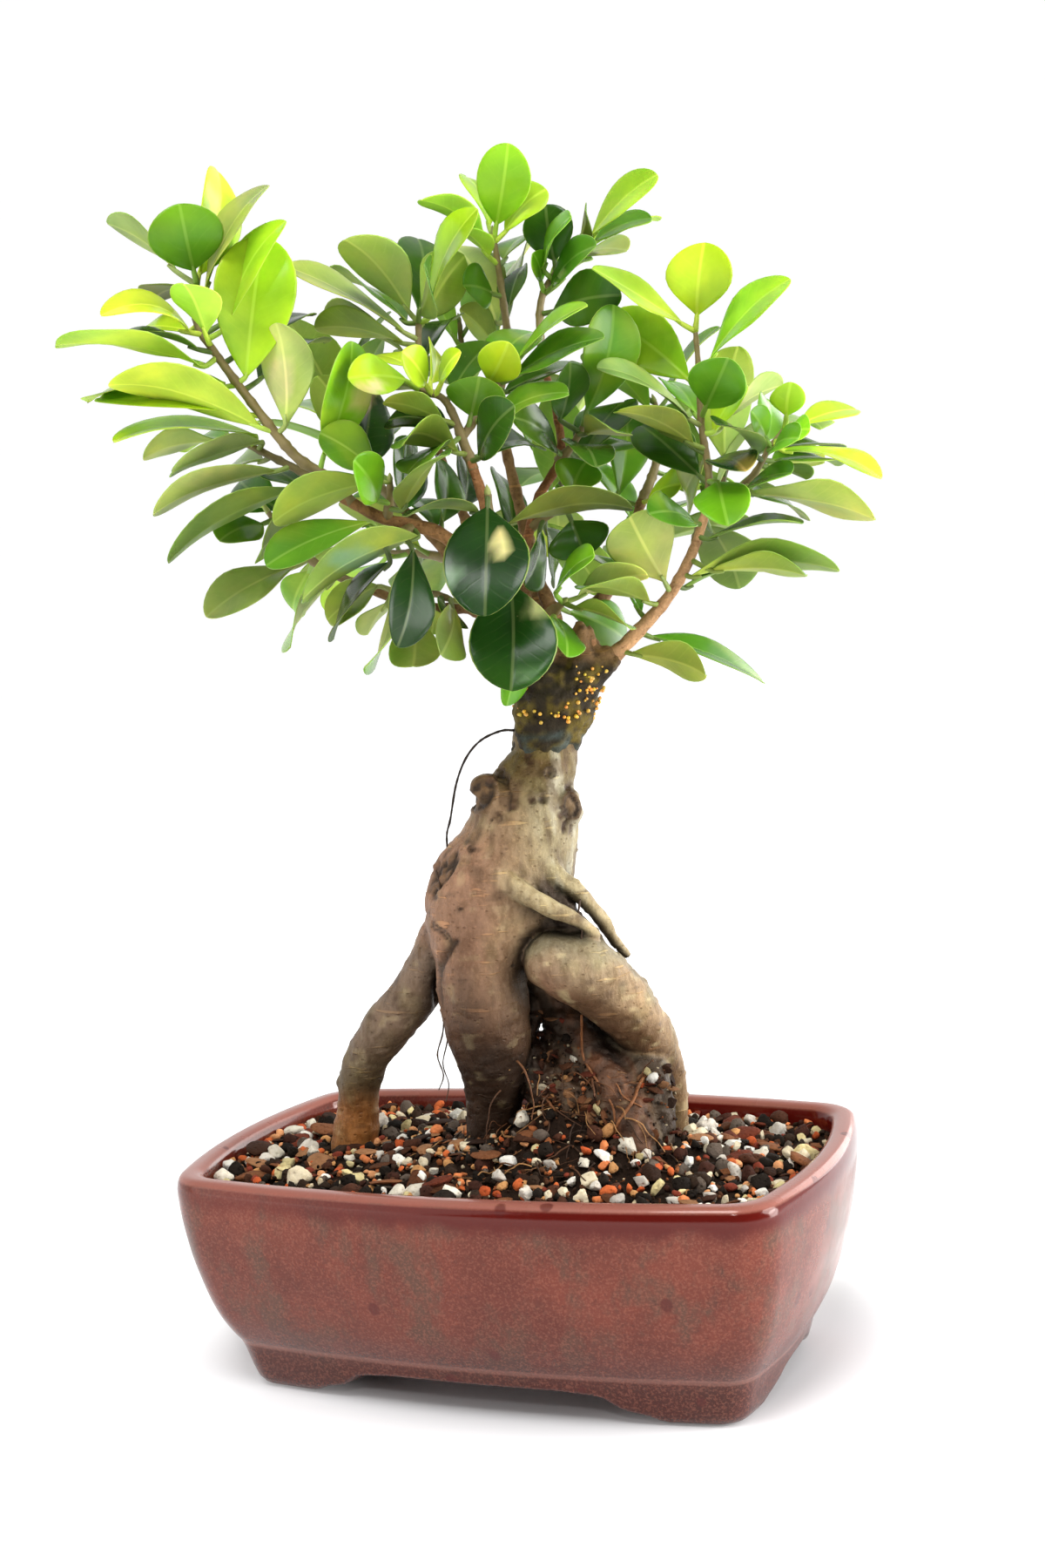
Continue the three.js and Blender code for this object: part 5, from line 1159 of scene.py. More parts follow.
def root_relief(points, normals, near):
    """How far the bark stands out or in from the smooth limbs, in millimetres."""
    u, v = seen_at(points)
    front = faces_viewer(normals)
    relief = 0.6 * lattice_noise(points, 9, 3)
    relief += 0.32 * lattice_noise(points, 4, 4)
    relief += 0.14 * lattice_noise(points, 1.9, 5)
    rings = lattice_noise(points * np.array([0.25, 0.25, 1]), 1.6, 6)
    relief += 0.22 * rings * smooth_step(-0.2, 0.5, lattice_noise(points, 17, 7))
    folds = np.abs(lattice_noise(points * np.array([0.3, 0.3, 1]), 5.5, 13))
    relief -= 0.45 * smooth_step(0.12, 0, folds) * smooth_step(-0.1, 0.4, lattice_noise(points, 12, 14))
    warts = lattice_noise(points * np.array([0.6, 0.6, 1]), 2.2, 8)
    relief += (0.5 + 0.5 * near["thigh"]) * np.maximum(warts - 0.5, 0) / 0.5
    rough = np.maximum(near["mat"], 0.7 * near["roots"])
    relief += rough * (1.5 * lattice_noise(points, 3.4, 15) + 0.8 * lattice_noise(points, 1.7, 16))
    burled = faces_viewer(normals, -0.3, 0.1)
    for mark in BURL_FACES:
        away = in_turned(u, v, mark)
        relief += burled * (1.2 * bell(away - 1.05, 0.24) - 0.5 * (away < 0.85) * (1 - away))
        relief += burled * 0.9 * lattice_noise(points, 1.6, 29) * (away < 0.9)
    for mark in BARK_SCABS:
        scab = front * smooth_step(1.2, 0.6, in_turned(u, v, mark))
        relief += scab * (0.9 * lattice_noise(points, 1.8, 31) + 0.1)
    torn = smooth_step(1.2, 0.8, in_turned(u, v, TORN_BARK)) * faces_viewer(normals, -0.1, 0.2)
    relief += torn * (1.3 * lattice_noise(points, 2.4, 20) - 0.8)
    for u0, v0, r, _ in KNOTS:
        away = np.hypot(u - u0, v - v0) / r
        relief += front * (0.6 * bell(away - 1, 0.4) - 0.9 * bell(away, 0.6))
    wander = crack_wander(points)
    for stops in CRACKS:
        relief -= front * 0.9 * bell(line_distance(u, v, stops) + wander, 0.7)
    return relief - front * 1.8 * bell(line_distance(u, v, LEG_CREASE), 1.1)


def layered(colours, layers):
    """Lays named bark colours over each other, each with its share."""
    for name, share in layers:
        colours = mixed(colours, BARK[name], share)
    return colours


def body_layers(u, v, points, fine, broad, near):
    upright = lattice_noise(points * np.array([1, 1, 0.22]), 2.6, 32)
    pale_streaks = smooth_step(-0.1, -0.6, upright + 0.4 * fine)
    return [
        # The right side of the body paler: partly the bark's tone, partly painted light from the right
        ("pale", 0.85 * smooth_step(-8, 8, u + 5 * broad) * smooth_step(-52, -20, v)),
        ("pale", 0.9 * near["arm"]),
        ("pink", 0.8 * smooth_step(0, -18, u) * smooth_step(-4, -26, v)),
        ("grey", 0.45 * smooth_step(0, 0.9, broad) * smooth_step(-40, -60, v)),
        ("olive", 0.85 * smooth_step(-10, 8, v + 3 * fine)),
        ("streak", 0.6 * smooth_step(0.15, 0.7, upright) * smooth_step(-50, -24, v)),
        # Pale upright streaks on the upper right: partly the bark's tone, partly a painted highlight
        ("pale_streak", 0.65 * pale_streaks * smooth_step(2, 14, u) * smooth_step(-48, -30, v)),
        ("brown", 0.5 * smooth_step(-24, 4, v) * smooth_step(0, 0.6, lattice_noise(points, 6, 30))),
    ]


def leg_layers(u, v, normals, fine, near):
    leg, thigh, up = near["left_leg"], near["thigh"], normals[:, 2]
    return [
        ("grey", 0.85 * leg * smooth_step(-48, -62, v)),
        ("leg_moss", 0.75 * leg * smooth_step(-84, -104, v)),
        ("orange", 0.95 * leg * smooth_step(-103, -115, v)),
        ("thigh", 0.75 * thigh),
        ("thigh_end", 0.6 * thigh * smooth_step(22, 44, u)),
        # Painted shade: the thigh darker brown on its underside
        ("brown", 0.9 * thigh * smooth_step(0.1, -0.6, up)),
        ("thigh_top", 0.6 * thigh * smooth_step(0.1, 0.7, up + 0.4 * fine)),
        ("thigh_front", 0.5 * thigh * smooth_step(22, 4, u) * smooth_step(0.5, 0, up)),
        ("mottle", 0.35 * smooth_step(0.1, 0.8, fine) * (1 - near["mat"])),
    ]


def soil_layers(u, v, points, fine, near):
    """Stains of soil low on the roots, painted shade low on the middle leg, flecks, and strands along the
    roots.
    """
    on_root = smooth_step(9, 6.6, line_distance(u, v, INNER_ROOT_LINE))
    middle = smooth_step(-36, -30, u) * smooth_step(12, 4, u) * (1 - near["left_leg"]) * (1 - near["thigh"])
    flecks = lattice_noise(points * np.array([0.5, 0.5, 1]), 2.4, 18)
    strands = lattice_noise(points * np.array([1, 1, 0.2]), 2.2, 19)
    sunk = smooth_step(SOIL_RIM_HEIGHT + 16, SOIL_RIM_HEIGHT + 4, points[:, 2])
    return [
        ("root_red", 0.92 * near["roots"] * on_root),
        ("soil_stain", 0.95 * near["roots"] * (1 - on_root)),
        # Painted shade: the middle leg browner and darker towards the soil
        ("brown", 0.85 * middle * smooth_step(-54, -90, v)),
        ("low_shade", 0.9 * middle * smooth_step(-80, -100, v + 4 * fine)),
        # The dark mat colour: soil and fibres on the root mat, and painted shade in the hollows between the
        # arms and at the thigh
        ("mat", 0.95 * near["mat"]),
        ("fleck", 0.5 * smooth_step(0.45, 0.8, flecks) * (0.35 + 0.65 * near["thigh"])),
        ("dark_fleck", 0.5 * smooth_step(-0.5, -0.85, flecks)),
        ("strand", 0.55 * near["roots"] * on_root * smooth_step(0.1, 0.6, strands)),
        ("strand_gap", 0.7 * near["roots"] * smooth_step(-0.05, -0.5, strands)),
        # Painted shade: the middle leg darkest just above the soil
        ("dark", 0.9 * sunk * middle),
    ]


def mark_layers(u, v, points, normals):
    """Burls, knots, torn bark, scabs, painted shade in the crease of the leg, and cracks."""
    front = faces_viewer(normals)
    cracked = smooth_step(-0.1, 0.5, lattice_noise(points, 1.6, 29))
    layers = []
    for mark in BURL_FACES:
        away = in_turned(u, v, mark)
        burled = faces_viewer(normals, -0.3, 0.1) * smooth_step(1.3, 1.1, away)
        gaps = 0.6 * bell(away - 0.86, 0.2) + 0.75 * (1 - cracked) * (away < 0.9)
        layers += [("burl", burled * 0.85), ("burl_gap", burled * gaps)]
    for u0, v0, r, ringed in KNOTS:
        away = np.hypot(u - u0, v - v0) / r
        inked = 0.95 * bell(away, 0.8 - 0.3 * ringed) + ringed * bell(away - 0.95, 0.18)
        layers.append(("dark_marks_and_crease_shade", front * inked))
    torn = smooth_step(1.2, 0.9, in_turned(u, v, TORN_BARK)) * faces_viewer(normals, -0.1, 0.2)
    hollows = smooth_step(0.1, -0.3, lattice_noise(points, 2.4, 20))
    layers += [("torn", 0.7 * torn), ("torn_gap", 0.9 * torn * hollows)]
    for mark in BARK_SCABS:
        scab = front * smooth_step(1.2, 0.7, in_turned(u, v, mark))
        layers.append(("scab", scab * (0.45 + 0.5 * smooth_step(0.2, -0.4, lattice_noise(points, 1.8, 31)))))
    # Painted shade along the crease between the left leg and the middle leg
    layers.append(("dark_marks_and_crease_shade", front * 0.85 * bell(line_distance(u, v, LEG_CREASE), 1.3)))
    wander = crack_wander(points)
    for stops in CRACKS:
        layers.append(("dark_marks_and_crease_shade", front * 0.8 * bell(line_distance(u, v, stops) + wander, 0.6)))
    return layers


def root_colours(points, normals, field, near):
    u, v = seen_at(points)
    broad = lattice_noise(points, 22, 11)
    fine = lattice_noise(points, 5, 12)
    colours = np.broadcast_to(linear(BARK["tan"]), (len(points), 3))
    colours = layered(colours, body_layers(u, v, points, fine, broad, near))
    colours = layered(colours, leg_layers(u, v, normals, fine, near))
    # Painted shade: the left leg much darker beside its crease with the middle leg, and a little darker all
    # over
    crease_shade = smooth_step(8, 0, line_distance(u, v, LEG_CREASE))
    colours = colours * (1 - 0.1 * near["left_leg"] - 0.5 * near["left_leg"] * crease_shade)[:, None]
    colours = layered(colours, soil_layers(u, v, points, fine, near))
    colours = layered(colours, mark_layers(u, v, points, normals))
    # Painted shade: the bark darker where other bark lies close outside it, in hollows and between limbs; the
    # arms are kept lighter than the rest
    shade = BARK_LEVEL + (1 - BARK_LEVEL) * near["arm"] * 1.4
    for reach, weight in ((2.5, 0.6), (6, 0.6), (12, 0.4)):
        opened = np.clip(field.at(points + normals * reach) / reach, 0, 1)
        shade = shade * (1 - weight * (1 - opened) ** 1.2)
    return colours * shade[:, None]


def build_rootstock(material, field, limbs):
    points, quads = field.skin()
    points = relaxed(points, quads, 2)
    normals = field.slope(points)
    near = {name: nearness(field, limbs[name], points, 2.5) for name in ("left_leg", "thigh")}
    roots = [nearness(field, limbs[name], points, 2.5) for name in ("inner_root", "outer_root")]
    mats = [nearness(field, spline(chain(rows), 4), points, 3) for rows in FILLS]
    near["roots"] = np.maximum(*roots) * (1 - near["thigh"]) * smooth_step(-66, -74, seen_at(points)[1])
    arms = [nearness(field, spline(chain(rows), 2.5), points, 0.8) for rows in ROOT_ARMS.values()]
    near["arm"] = np.maximum(*arms)
    near["mat"] = np.max(mats, axis=0) * (1 - near["thigh"]) * (1 - near["arm"]) * (1 - 0.6 * near["roots"])
    colours = root_colours(points, normals, field, near)
    points = points + normals * root_relief(points, normals, near)[:, None]
    skin = Skin()
    skin.add(points, quads, tint=colours)
    return skin.piece("rootstock_bark", [material], ["rootstock"])


# Fine roots: u, v, w and radius along each
BLACK_ROOT = [
    [-2.8, 18.6, 3, 0.5], [-7.5, 18.4, 2, 0.45], [-14.5, 15.1, 1, 0.4], [-19.6, 9, 0, 0.42],
    [-23, 0, -1, 0.38], [-25, -12, -1, 0.42], [-26.3, -18, -1, 0.36], [-25.6, -26.5, 0, 0.4],
]
HAIR_ROOTS = [
    [
        [-27, -76, -4, 0.4], [-27.6, -86, -2, 0.32], [-29.5, -94, -1, 0.3], [-27.4, -101, 0, 0.26],
        [-29, -106, 1, 0.2],
    ],
    [
        [-27, -78, -4, 0.35], [-26, -88, -2, 0.28], [-27.6, -97, -1, 0.25], [-25.6, -104, 0, 0.2],
        [-26.5, -110, 2, 0.2],
    ],
    [[-30, -30, 8, 0.4], [-28.6, -36, 10, 0.35], [-29.6, -43, 10, 0.3], [-28.4, -50, 9, 0.22]],
    [[20, -40, 18, 0.4], [19.4, -46, 20, 0.35], [20.6, -51, 20, 0.3], [19.8, -57, 19, 0.22]],
]
STRAND_TINTS = [(60, 40, 28), (84, 54, 36), (140, 100, 62), (168, 124, 78), (44, 30, 24), (104, 68, 44)]
BLACK_ROOT_TINT = (36, 28, 26)
HAIR_ROOT_TINT = (58, 42, 32)
LONG_ROOT_TINT = (128, 82, 50)
# How many strands start on the root mat and on the bed, and the ranges of u, v and w that they start in
MAT_STRANDS = 70
MAT_STRAND_RANGES = ((2, 44), (-118, -98), (2, 22))
BED_STRANDS = 110
BED_STRAND_RANGES = ((-30, 52), (-124, -112), (-30, 34))
# Longer bare roots that lie over the root mat: u, v along each, and its radius
LONG_ROOTS = [
    ([(16.6, -86), (18.4, -92), (21.6, -99), (27, -105.6), (32, -112), (34.4, -117)], 0.42),
    ([(42.6, -99.6), (41, -104), (38, -110.4), (35.6, -117), (34.6, -121)], 0.6),
    ([(29, -100), (33, -104), (35, -109), (40, -113)], 0.3),
    ([(3, -108), (6, -114), (11, -118), (18, -120)], 0.5),
]


def wander_strand(random, start, heading, steps, pitch, droop, floor_at):
    """Points of a thin root that wanders from its start and comes down onto the soil."""
    found = [start]
    for _ in range(steps):
        heading = unit(heading + random.normal(0, 0.2, 3) + [0, 0, -droop])
        place_now = found[-1] + heading * pitch
        lowest = floor_at(place_now[0], place_now[1]) + 0.6
        if place_now[2] < lowest:
            place_now[2] = lowest
            heading = unit(heading * [1, 1, 0] + [0.01, 0, 0])
        found.append(place_now)
    return found


def random_place(random, ranges):
    return place(*(random.uniform(*reach) for reach in ranges))


def build_rootlets(material, field):
    """The thin black root at the neck, the hanging hairs, and the fibres in and round the root mat."""
    random = np.random.default_rng(81)
    skin = Skin()
    tube(skin, spline(chain(BLACK_ROOT), 1.5), 7, tint=linear(BLACK_ROOT_TINT), lumps=0.2)
    for rows in HAIR_ROOTS:
        tube(skin, spline(chain(rows), 1.5), 6, tint=linear(HAIR_ROOT_TINT), lumps=0.2)
    for stops, radius in LONG_ROOTS:
        points = np.array([place(u, v, 14) for u, v in stops])
        for _ in range(3):
            points = points - field.slope(points) * np.clip(field.at(points) - radius, -6, 6)[:, None]
        links = np.column_stack([points, np.full(len(points), radius)])
        tube(skin, spline(links, 1.5), 6, tint=linear(LONG_ROOT_TINT), lumps=0.2)
    starts = [random_place(random, MAT_STRAND_RANGES) for _ in range(MAT_STRANDS)]
    starts += [random_place(random, BED_STRAND_RANGES) for _ in range(BED_STRANDS)]
    for k, start in enumerate(starts):
        away = field.at(start[None])[0]
        if abs(away) < 25:
            start = start - field.slope(start[None])[0] * (away - 0.6) if k < MAT_STRANDS else start
        if k >= MAT_STRANDS:
            start[2] = soil_height(start[0], start[1]) + random.uniform(1, 4)
        heading = unit(random.normal(0, 1, 3) * [1, 1, 0.5] + (-0.5 * BACK if k < MAT_STRANDS else 0))
        points = wander_strand(random, start, heading, random.integers(4, 11), 2.2, 0.3, soil_height)
        radius = random.uniform(0.14, 0.34) * (1.7 if random.random() < 0.12 else 1)
        links = [[*point, radius * (1 - 0.6 * i / len(points))] for i, point in enumerate(points)]
        tint = linear(STRAND_TINTS[random.integers(len(STRAND_TINTS))]) * random.uniform(0.7, 1.2)
        tube(skin, spline(links, 1.6), 5, tint=tint, lumps=0.15)
    return skin.piece("fine_roots", [material])


# Scion wood
SCION_STEP = 1.0
COLLAR_DARK = (34, 28, 14)
COLLAR_GREEN = (100, 86, 26)
COLLAR_BLOT = (34, 26, 22)
TAPE_BLUE = (58, 72, 70)
WOOD_BROWN = (126, 96, 62)
BRANCH_THINNING = 0.88
BRANCH_COLOURS = {
    "right": (176, 136, 98), "main_left": (148, 108, 66), "centre_right": (158, 106, 70),
    "centre_front": (150, 106, 68),
    "dead_stump": (112, 78, 52), "dead_splinter": (140, 100, 68),
}
BEAD_YELLOW = (228, 178, 62)
BEAD_COUNT = 150


def scion_field():
    collar = {name: spline(chain(rows), 3) for name, rows in COLLAR.items()}
    starts = {name: spline(chain(rows[:3]), 3) for name, rows in BRANCHES.items() if name != "left_side"}
    every = np.vstack([*collar.values(), *starts.values()])
    low = (every[:, :3] - every[:, 3:]).min(0) - FIELD_MARGIN
    high = (every[:, :3] + every[:, 3:]).max(0) + FIELD_MARGIN
    field = Field(low, high, SCION_STEP)
    for links in collar.values():
        field.blend(field.limb(links), 4)
    for links in starts.values():
        field.blend(field.limb(links), 3)
    return field


def scion_colours(points, normals, field):
    u, v = seen_at(points)
    colours = np.broadcast_to(linear(WOOD_BROWN), (len(points), 3)).copy()
    mottle = lattice_noise(points, 5, 21)
    collar = smooth_step(46, 40, v + 1.5 * mottle) * smooth_step(26, 19, np.abs(u - 11))
    colours = mixed(colours, COLLAR_DARK, collar)
    mossy = smooth_step(-0.1, 0.5, mottle + 0.5 * lattice_noise(points, 2, 34))
    colours = mixed(colours, COLLAR_GREEN, collar * mossy * 0.85)
    tape = smooth_step(18.5, 15.5, v + 1.3 * lattice_noise(points, 3.2, 22) - 0.12 * (u - 8))
    colours = mixed(colours, TAPE_BLUE, tape * smooth_step(-0.25, 0.3, lattice_noise(points, 2.8, 23)) * 0.85)
    blots = smooth_step(0.2, 0.7, lattice_noise(points, 2.4, 24))
    colours = mixed(colours, COLLAR_BLOT, 0.6 * blots * (1 - tape))
    # Painted shade: darker where other wood lies close outside the surface, in the collar's folds and at the
    # branch starts
    shade = 1 - 0.5 * (1 - np.clip(field.at(points + normals * 3) / 3, 0, 1))
    return colours * shade[:, None]


def branch_tubes(skin, slot):
    """The branches, with a ring of bark at each leaf scar."""
    for k, (name, rows) in enumerate(BRANCHES.items()):
        links = spline(chain(rows), 2.2)
        links[:, 3] *= BRANCH_THINNING
        ringed = links.copy()
        for i in range(len(ringed)):
            ringed[i, 3] *= 1.12 if i % 5 == 4 else 1
        tint = linear(BRANCH_COLOURS.get(name, WOOD_BROWN))
        tube(skin, ringed, 12, slot, tint * (0.9 + 0.25 * draw(k, 41)), lumps=0.07)


def bead(skin, centre, normal, radius, tint, slot):
    """A small dome that sits on the bark."""
    side = unit(np.cross(normal, [0.3, 0.5, 0.8]))
    across = np.cross(normal, side)
    rings = []
    turns = np.arange(7) * 2 * math.pi / 7
    for out, up in ((1, -0.25), (0.92, 0.35), (0.55, 0.85)):
        circle = np.outer(np.cos(turns), side) + np.outer(np.sin(turns), across)
        rings.append(centre + radius * (out * circle + up * normal))
    top = centre + radius * normal
    points = np.vstack([*rings, top])
    cap = np.stack([np.arange(7) + 14, (np.arange(7) + 1) % 7 + 14, np.full(7, 21)], axis=1)
    base = np.arange(7)[::-1][None]
    skin.add(points, [grid_faces(3, 7, wrap=True), cap, base], slot, tint=tint)


def build_scion(wood, beads, leaf_materials, leaves):
    field = scion_field()
    points, quads = field.skin()
    points = relaxed(points, quads, 1)
    normals = field.slope(points)
    colours = scion_colours(points, normals, field)
    lumps = 0.9 * lattice_noise(points, 4.5, 25) + 0.7 * lattice_noise(points, 2.1, 26)
    skin = Skin()
    skin.add(points + normals * lumps[:, None], quads, 3, tint=colours)
    branch_tubes(skin, 3)
    random = np.random.default_rng(27)
    u, v = seen_at(points)
    on_collar = (v > 20) & (v < 41) & (np.abs(u - 12) < 17)
    chosen = np.flatnonzero(on_collar & (lattice_noise(points, 4.5, 28) > 0.02))
    for i in random.choice(chosen, BEAD_COUNT, replace=False):
        tint = linear(BEAD_YELLOW) * random.uniform([0.75, 0.6, 0.5], [1.15, 1.1, 1.6])
        bead(skin, points[i] + normals[i] * 0.3, normals[i], random.uniform(0.35, 0.85), tint, 4)
    for i, leaf in enumerate(leaves):
        blade(skin, leaf, i + 900)
    return skin.piece("scion_wood_fine", [*leaf_materials, wood, beads], ["scion_wood"])


# Shoots
STEM_GREEN = (122, 134, 66)
BUD_GREEN = (150, 158, 84)
# How far each ring of a bud lies from the stem's end, and its size as a share of the stem's radius
BUD_STOPS = ((0, 0.9), (1.2, 1), (2.4, 0.7), (3.6, 0.2))


def build_shoot(name, stems, leaves, materials, series):
    skin = Skin()
    for i, leaf in enumerate(leaves):
        blade(skin, leaf, i + series * 40)
    for rows in stems:
        links = spline(chain(rows), 1.8)
        ringed = links.copy()
        ringed[:, 3] *= np.where(np.arange(len(links)) % 5 == 3, 1.18, 1)
        tube(skin, ringed, 10, 2, linear(WOOD_BROWN) * 0.7 + linear(STEM_GREEN) * 0.3, lumps=0.05)
        tip = links[-1]
        axis = unit(links[-1, :3] - links[-3, :3])
        bud = [[*(tip[:3] + axis * reach), tip[3] * size] for reach, size in BUD_STOPS]
        tube(skin, spline(bud, 1.2), 8, 2, linear(BUD_GREEN))
    return skin.piece(f"shoot_{name}_fine", materials, [f"shoot_{name}"])


# Pot
LONG_STEPS = 26
CORNER_COUNT = 9
SHORT_STEPS = 15
RING_INSETS = np.arange(-1, 42, 0.5)


def bowed_side(half, bow, steps):
    radius = (half * half + bow * bow) / (2 * bow)
    turns = math.asin(half / radius) * np.arange(steps + 1) / steps
    return turns, radius * np.sin(turns), radius * np.cos(turns) - radius + bow


def mirrored(quarter, flips):
    """A whole ring from its first quarter; flips are the signs that x and y take on mirroring."""
    back = quarter[:-1][::-1] * [1, flips]
    half = np.vstack([quarter, back])
    return np.vstack([half, half[1:-1][::-1] * [flips, 1]])


def ring(inset):
    corner = max(POT_CORNER_RADIUS - CORNER_RADIUS_LOSS * inset, 4)
    long_bow = LONG_SIDE_BOW * (1 - inset / BOW_FADE_INSET)
    short_bow = SHORT_SIDE_BOW * (1 - inset / BOW_FADE_INSET)
    core_x = POT_LENGTH / 2 - inset - short_bow - corner
    core_y = POT_DEPTH / 2 - inset - long_bow - corner
    turns, x, y = bowed_side(core_x, long_bow, LONG_STEPS)
    rows = [np.stack([x + corner * np.sin(turns), y + core_y + corner * np.cos(turns)], axis=1)]
    ends, y, x = bowed_side(core_y, short_bow, SHORT_STEPS)
    bends = np.linspace(turns[-1], math.pi / 2 - ends[-1], CORNER_COUNT + 1)[1:-1]
    rows.append(np.stack([core_x + corner * np.sin(bends), core_y + corner * np.cos(bends)], axis=1))
    side = np.stack([x + core_x + corner * np.cos(ends), y + corner * np.sin(ends)], axis=1)
    rows.append(side[::-1])
    return mirrored(np.vstack(rows), -1)


RINGS = np.array([ring(inset) for inset in RING_INSETS])


def pot_row(insets, heights):
    """A ring of points at the given inset and height for each of the pot's upright columns."""
    where = np.clip((np.asarray(insets, float) - RING_INSETS[0]) / 0.5, 0, len(RING_INSETS) - 1.001)
    where = np.broadcast_to(where, RINGS.shape[1])
    low = np.floor(where).astype(int)
    t = (where - low)[:, None]
    columns = np.arange(RINGS.shape[1])
    flat = RINGS[low, columns] * (1 - t) + RINGS[low + 1, columns] * t
    return np.column_stack([flat, np.broadcast_to(heights, len(flat))])


def arch_heights():
    """How far the arches between the feet rise at each column."""
    foot = ring(FOOT_PROFILE[2][0])
    rises = []
    for stops, along in ((LONG_ARCH, np.abs(foot[:, 0])), (SHORT_ARCH, np.abs(foot[:, 1]))):
        reach, height = np.array(stops).T
        fine = np.arange(0, 140, 0.25)
        steps = np.interp(fine, reach, height)
        soft = np.convolve(np.pad(steps, 8, "edge"), np.ones(17) / 17, "valid")
        rises.append(np.interp(along, fine, soft))
    quarter = LONG_STEPS + CORNER_COUNT + SHORT_STEPS + 1
    on_long = np.arange(quarter) <= LONG_STEPS
    kinds = mirrored(np.stack([on_long, ~on_long], axis=1).astype(float), 1)
    return np.where(kinds[:, 0] > 0.5, rises[0], rises[1])


def smooth_profile(stops, pitch):
    rows = spline(np.column_stack([stops, np.zeros(len(stops))]), pitch)
    return rows[:, :2]


def build_pot(glaze):
    arches = arch_heights()
    foot = np.array(FOOT_PROFILE)
    rows = [pot_row(RECESS_INSET, RECESS_HEIGHT), pot_row(RECESS_INSET, arches)]
    rows.append(pot_row(np.interp(arches, foot[:, 1], foot[:, 0]) + EDGE_ROUND, arches))
    for share in (0.3, 1):
        heights = arches + EDGE_ROUND * share
        insets = np.interp(heights, foot[:, 1], foot[:, 0]) + EDGE_ROUND * (1 - share) * 0.35
        rows.append(pot_row(insets, heights))
    for share in np.linspace(0, 1, 7)[1:]:
        heights = (arches + EDGE_ROUND) * (1 - share) + foot[-1, 1] * share
        rows.append(pot_row(np.interp(heights, foot[:, 1], foot[:, 0]), heights))
    for inset, height in smooth_profile(OUTER_PROFILE, 1.6)[1:]:
        rows.append(pot_row(inset, height))
    for inset, height in [(3.8, POT_HEIGHT), (5.2, POT_HEIGHT), *smooth_profile(INNER_PROFILE, 3)]:
        rows.append(pot_row(inset, height))
    columns = len(arches)
    last = (len(rows) - 1) * columns
    caps = [np.arange(columns)[None], (np.arange(columns) + last)[::-1][None]]
    skin = Skin()
    faces = [grid_faces(len(rows), columns, wrap=True)[:, ::-1], *caps]
    skin.add(np.vstack(rows), faces)
    pot = skin.piece("pot_glazed", [glaze], ["pot"])
    for x in (-DRAIN_OFFSET, DRAIN_OFFSET):
        centre = (np.array([x, 0, POT_HEIGHT / 5]) + POT_CENTRE) / 1000
        bpy.ops.mesh.primitive_cylinder_add(
            vertices=40, radius=DRAIN_RADIUS / 1000, depth=0.03, location=centre,
        )
        drill = bpy.context.object
        cut = pot.modifiers.new("drain", "BOOLEAN")
        cut.object = drill
        cut.solver = "EXACT"
        with bpy.context.temp_override(object=pot, active_object=pot, selected_objects=[pot]):
            bpy.ops.object.modifier_apply(modifier=cut.name)
        bpy.data.objects.remove(drill)
    pot.data.set_sharp_from_angle(angle=math.radians(38))
    return pot


# Soil
SOIL_HUMUS = (34, 21, 14)
# Each kind of grain: how many, range of sizes, flat cuts, roughness, thinness, fineness of the mesh,
# tints as 8-bit sRGB, and how many crumbs of it lie on the root mat
GRAIN_KINDS = {
    "grains_lava": {
        "count": 460, "size": (1.3, 4.0), "cuts": 4, "rough": 0.34, "flat": (0.6, 1), "detail": 1,
        "tints": [(30, 24, 20), (22, 17, 14), (50, 36, 27), (78, 46, 33), (96, 84, 74), (62, 34, 26)],
        "on_mat": 20,
    },
    "grains_pumice": {
        "count": 280, "size": (1.8, 4.8), "cuts": 7, "rough": 0.32, "flat": (0.55, 0.9), "detail": 2,
        "tints": [(232, 224, 206), (242, 238, 228), (222, 208, 178), (206, 198, 186), (214, 198, 146)],
        "on_mat": 7,
    },
    "grains_clay": {
        "count": 520, "size": (1.2, 3.3), "cuts": 5, "rough": 0.14, "flat": (0.55, 0.9), "detail": 1,
        "tints": [
            (206, 104, 56), (222, 132, 80), (184, 84, 44), (200, 146, 92), (130, 58, 42), (226, 160, 110),
        ],
        "on_mat": 26,
    },
    "grains_grit": {
        "count": 1800, "size": (0.5, 1.6), "cuts": 3, "rough": 0.3, "flat": (0.4, 1), "detail": 1,
        "tints": [
            (50, 32, 21), (76, 46, 29), (28, 20, 15), (156, 92, 54), (208, 190, 156), (36, 25, 18),
            (104, 66, 42),
        ],
        "on_mat": 480,
    },
    "bark_chips": {
        "count": 480, "size": (2.4, 7.2), "cuts": 6, "rough": 0.14, "flat": (0.14, 0.3), "detail": 2,
        "tints": [(88, 52, 32), (62, 36, 24), (122, 76, 48), (46, 28, 20), (150, 106, 72), (104, 48, 32)],
        "on_mat": 110,
    },
}
PEBBLE_SHAPES = 12
# Crumbs on the root mat are darkened as painted shade under the thigh
MAT_CRUMB_SHADE = 0.55
MAT_CRUMB_RANGES = ((2, 52), (-124, -76), (-8, 26))
GRAIN_RAISE = 0.9


def soil_height(x, y):
    height = np.full(np.shape(x), float(SOIL_RIM_HEIGHT))
    for mound in MOUNDS:
        centre = place(*mound["at"])
        away = ((x - centre[0]) / mound["spread"][0]) ** 2 + ((y - centre[1]) / mound["spread"][1]) ** 2
        height += mound["rise"] * np.exp(-away / 2)
    return height


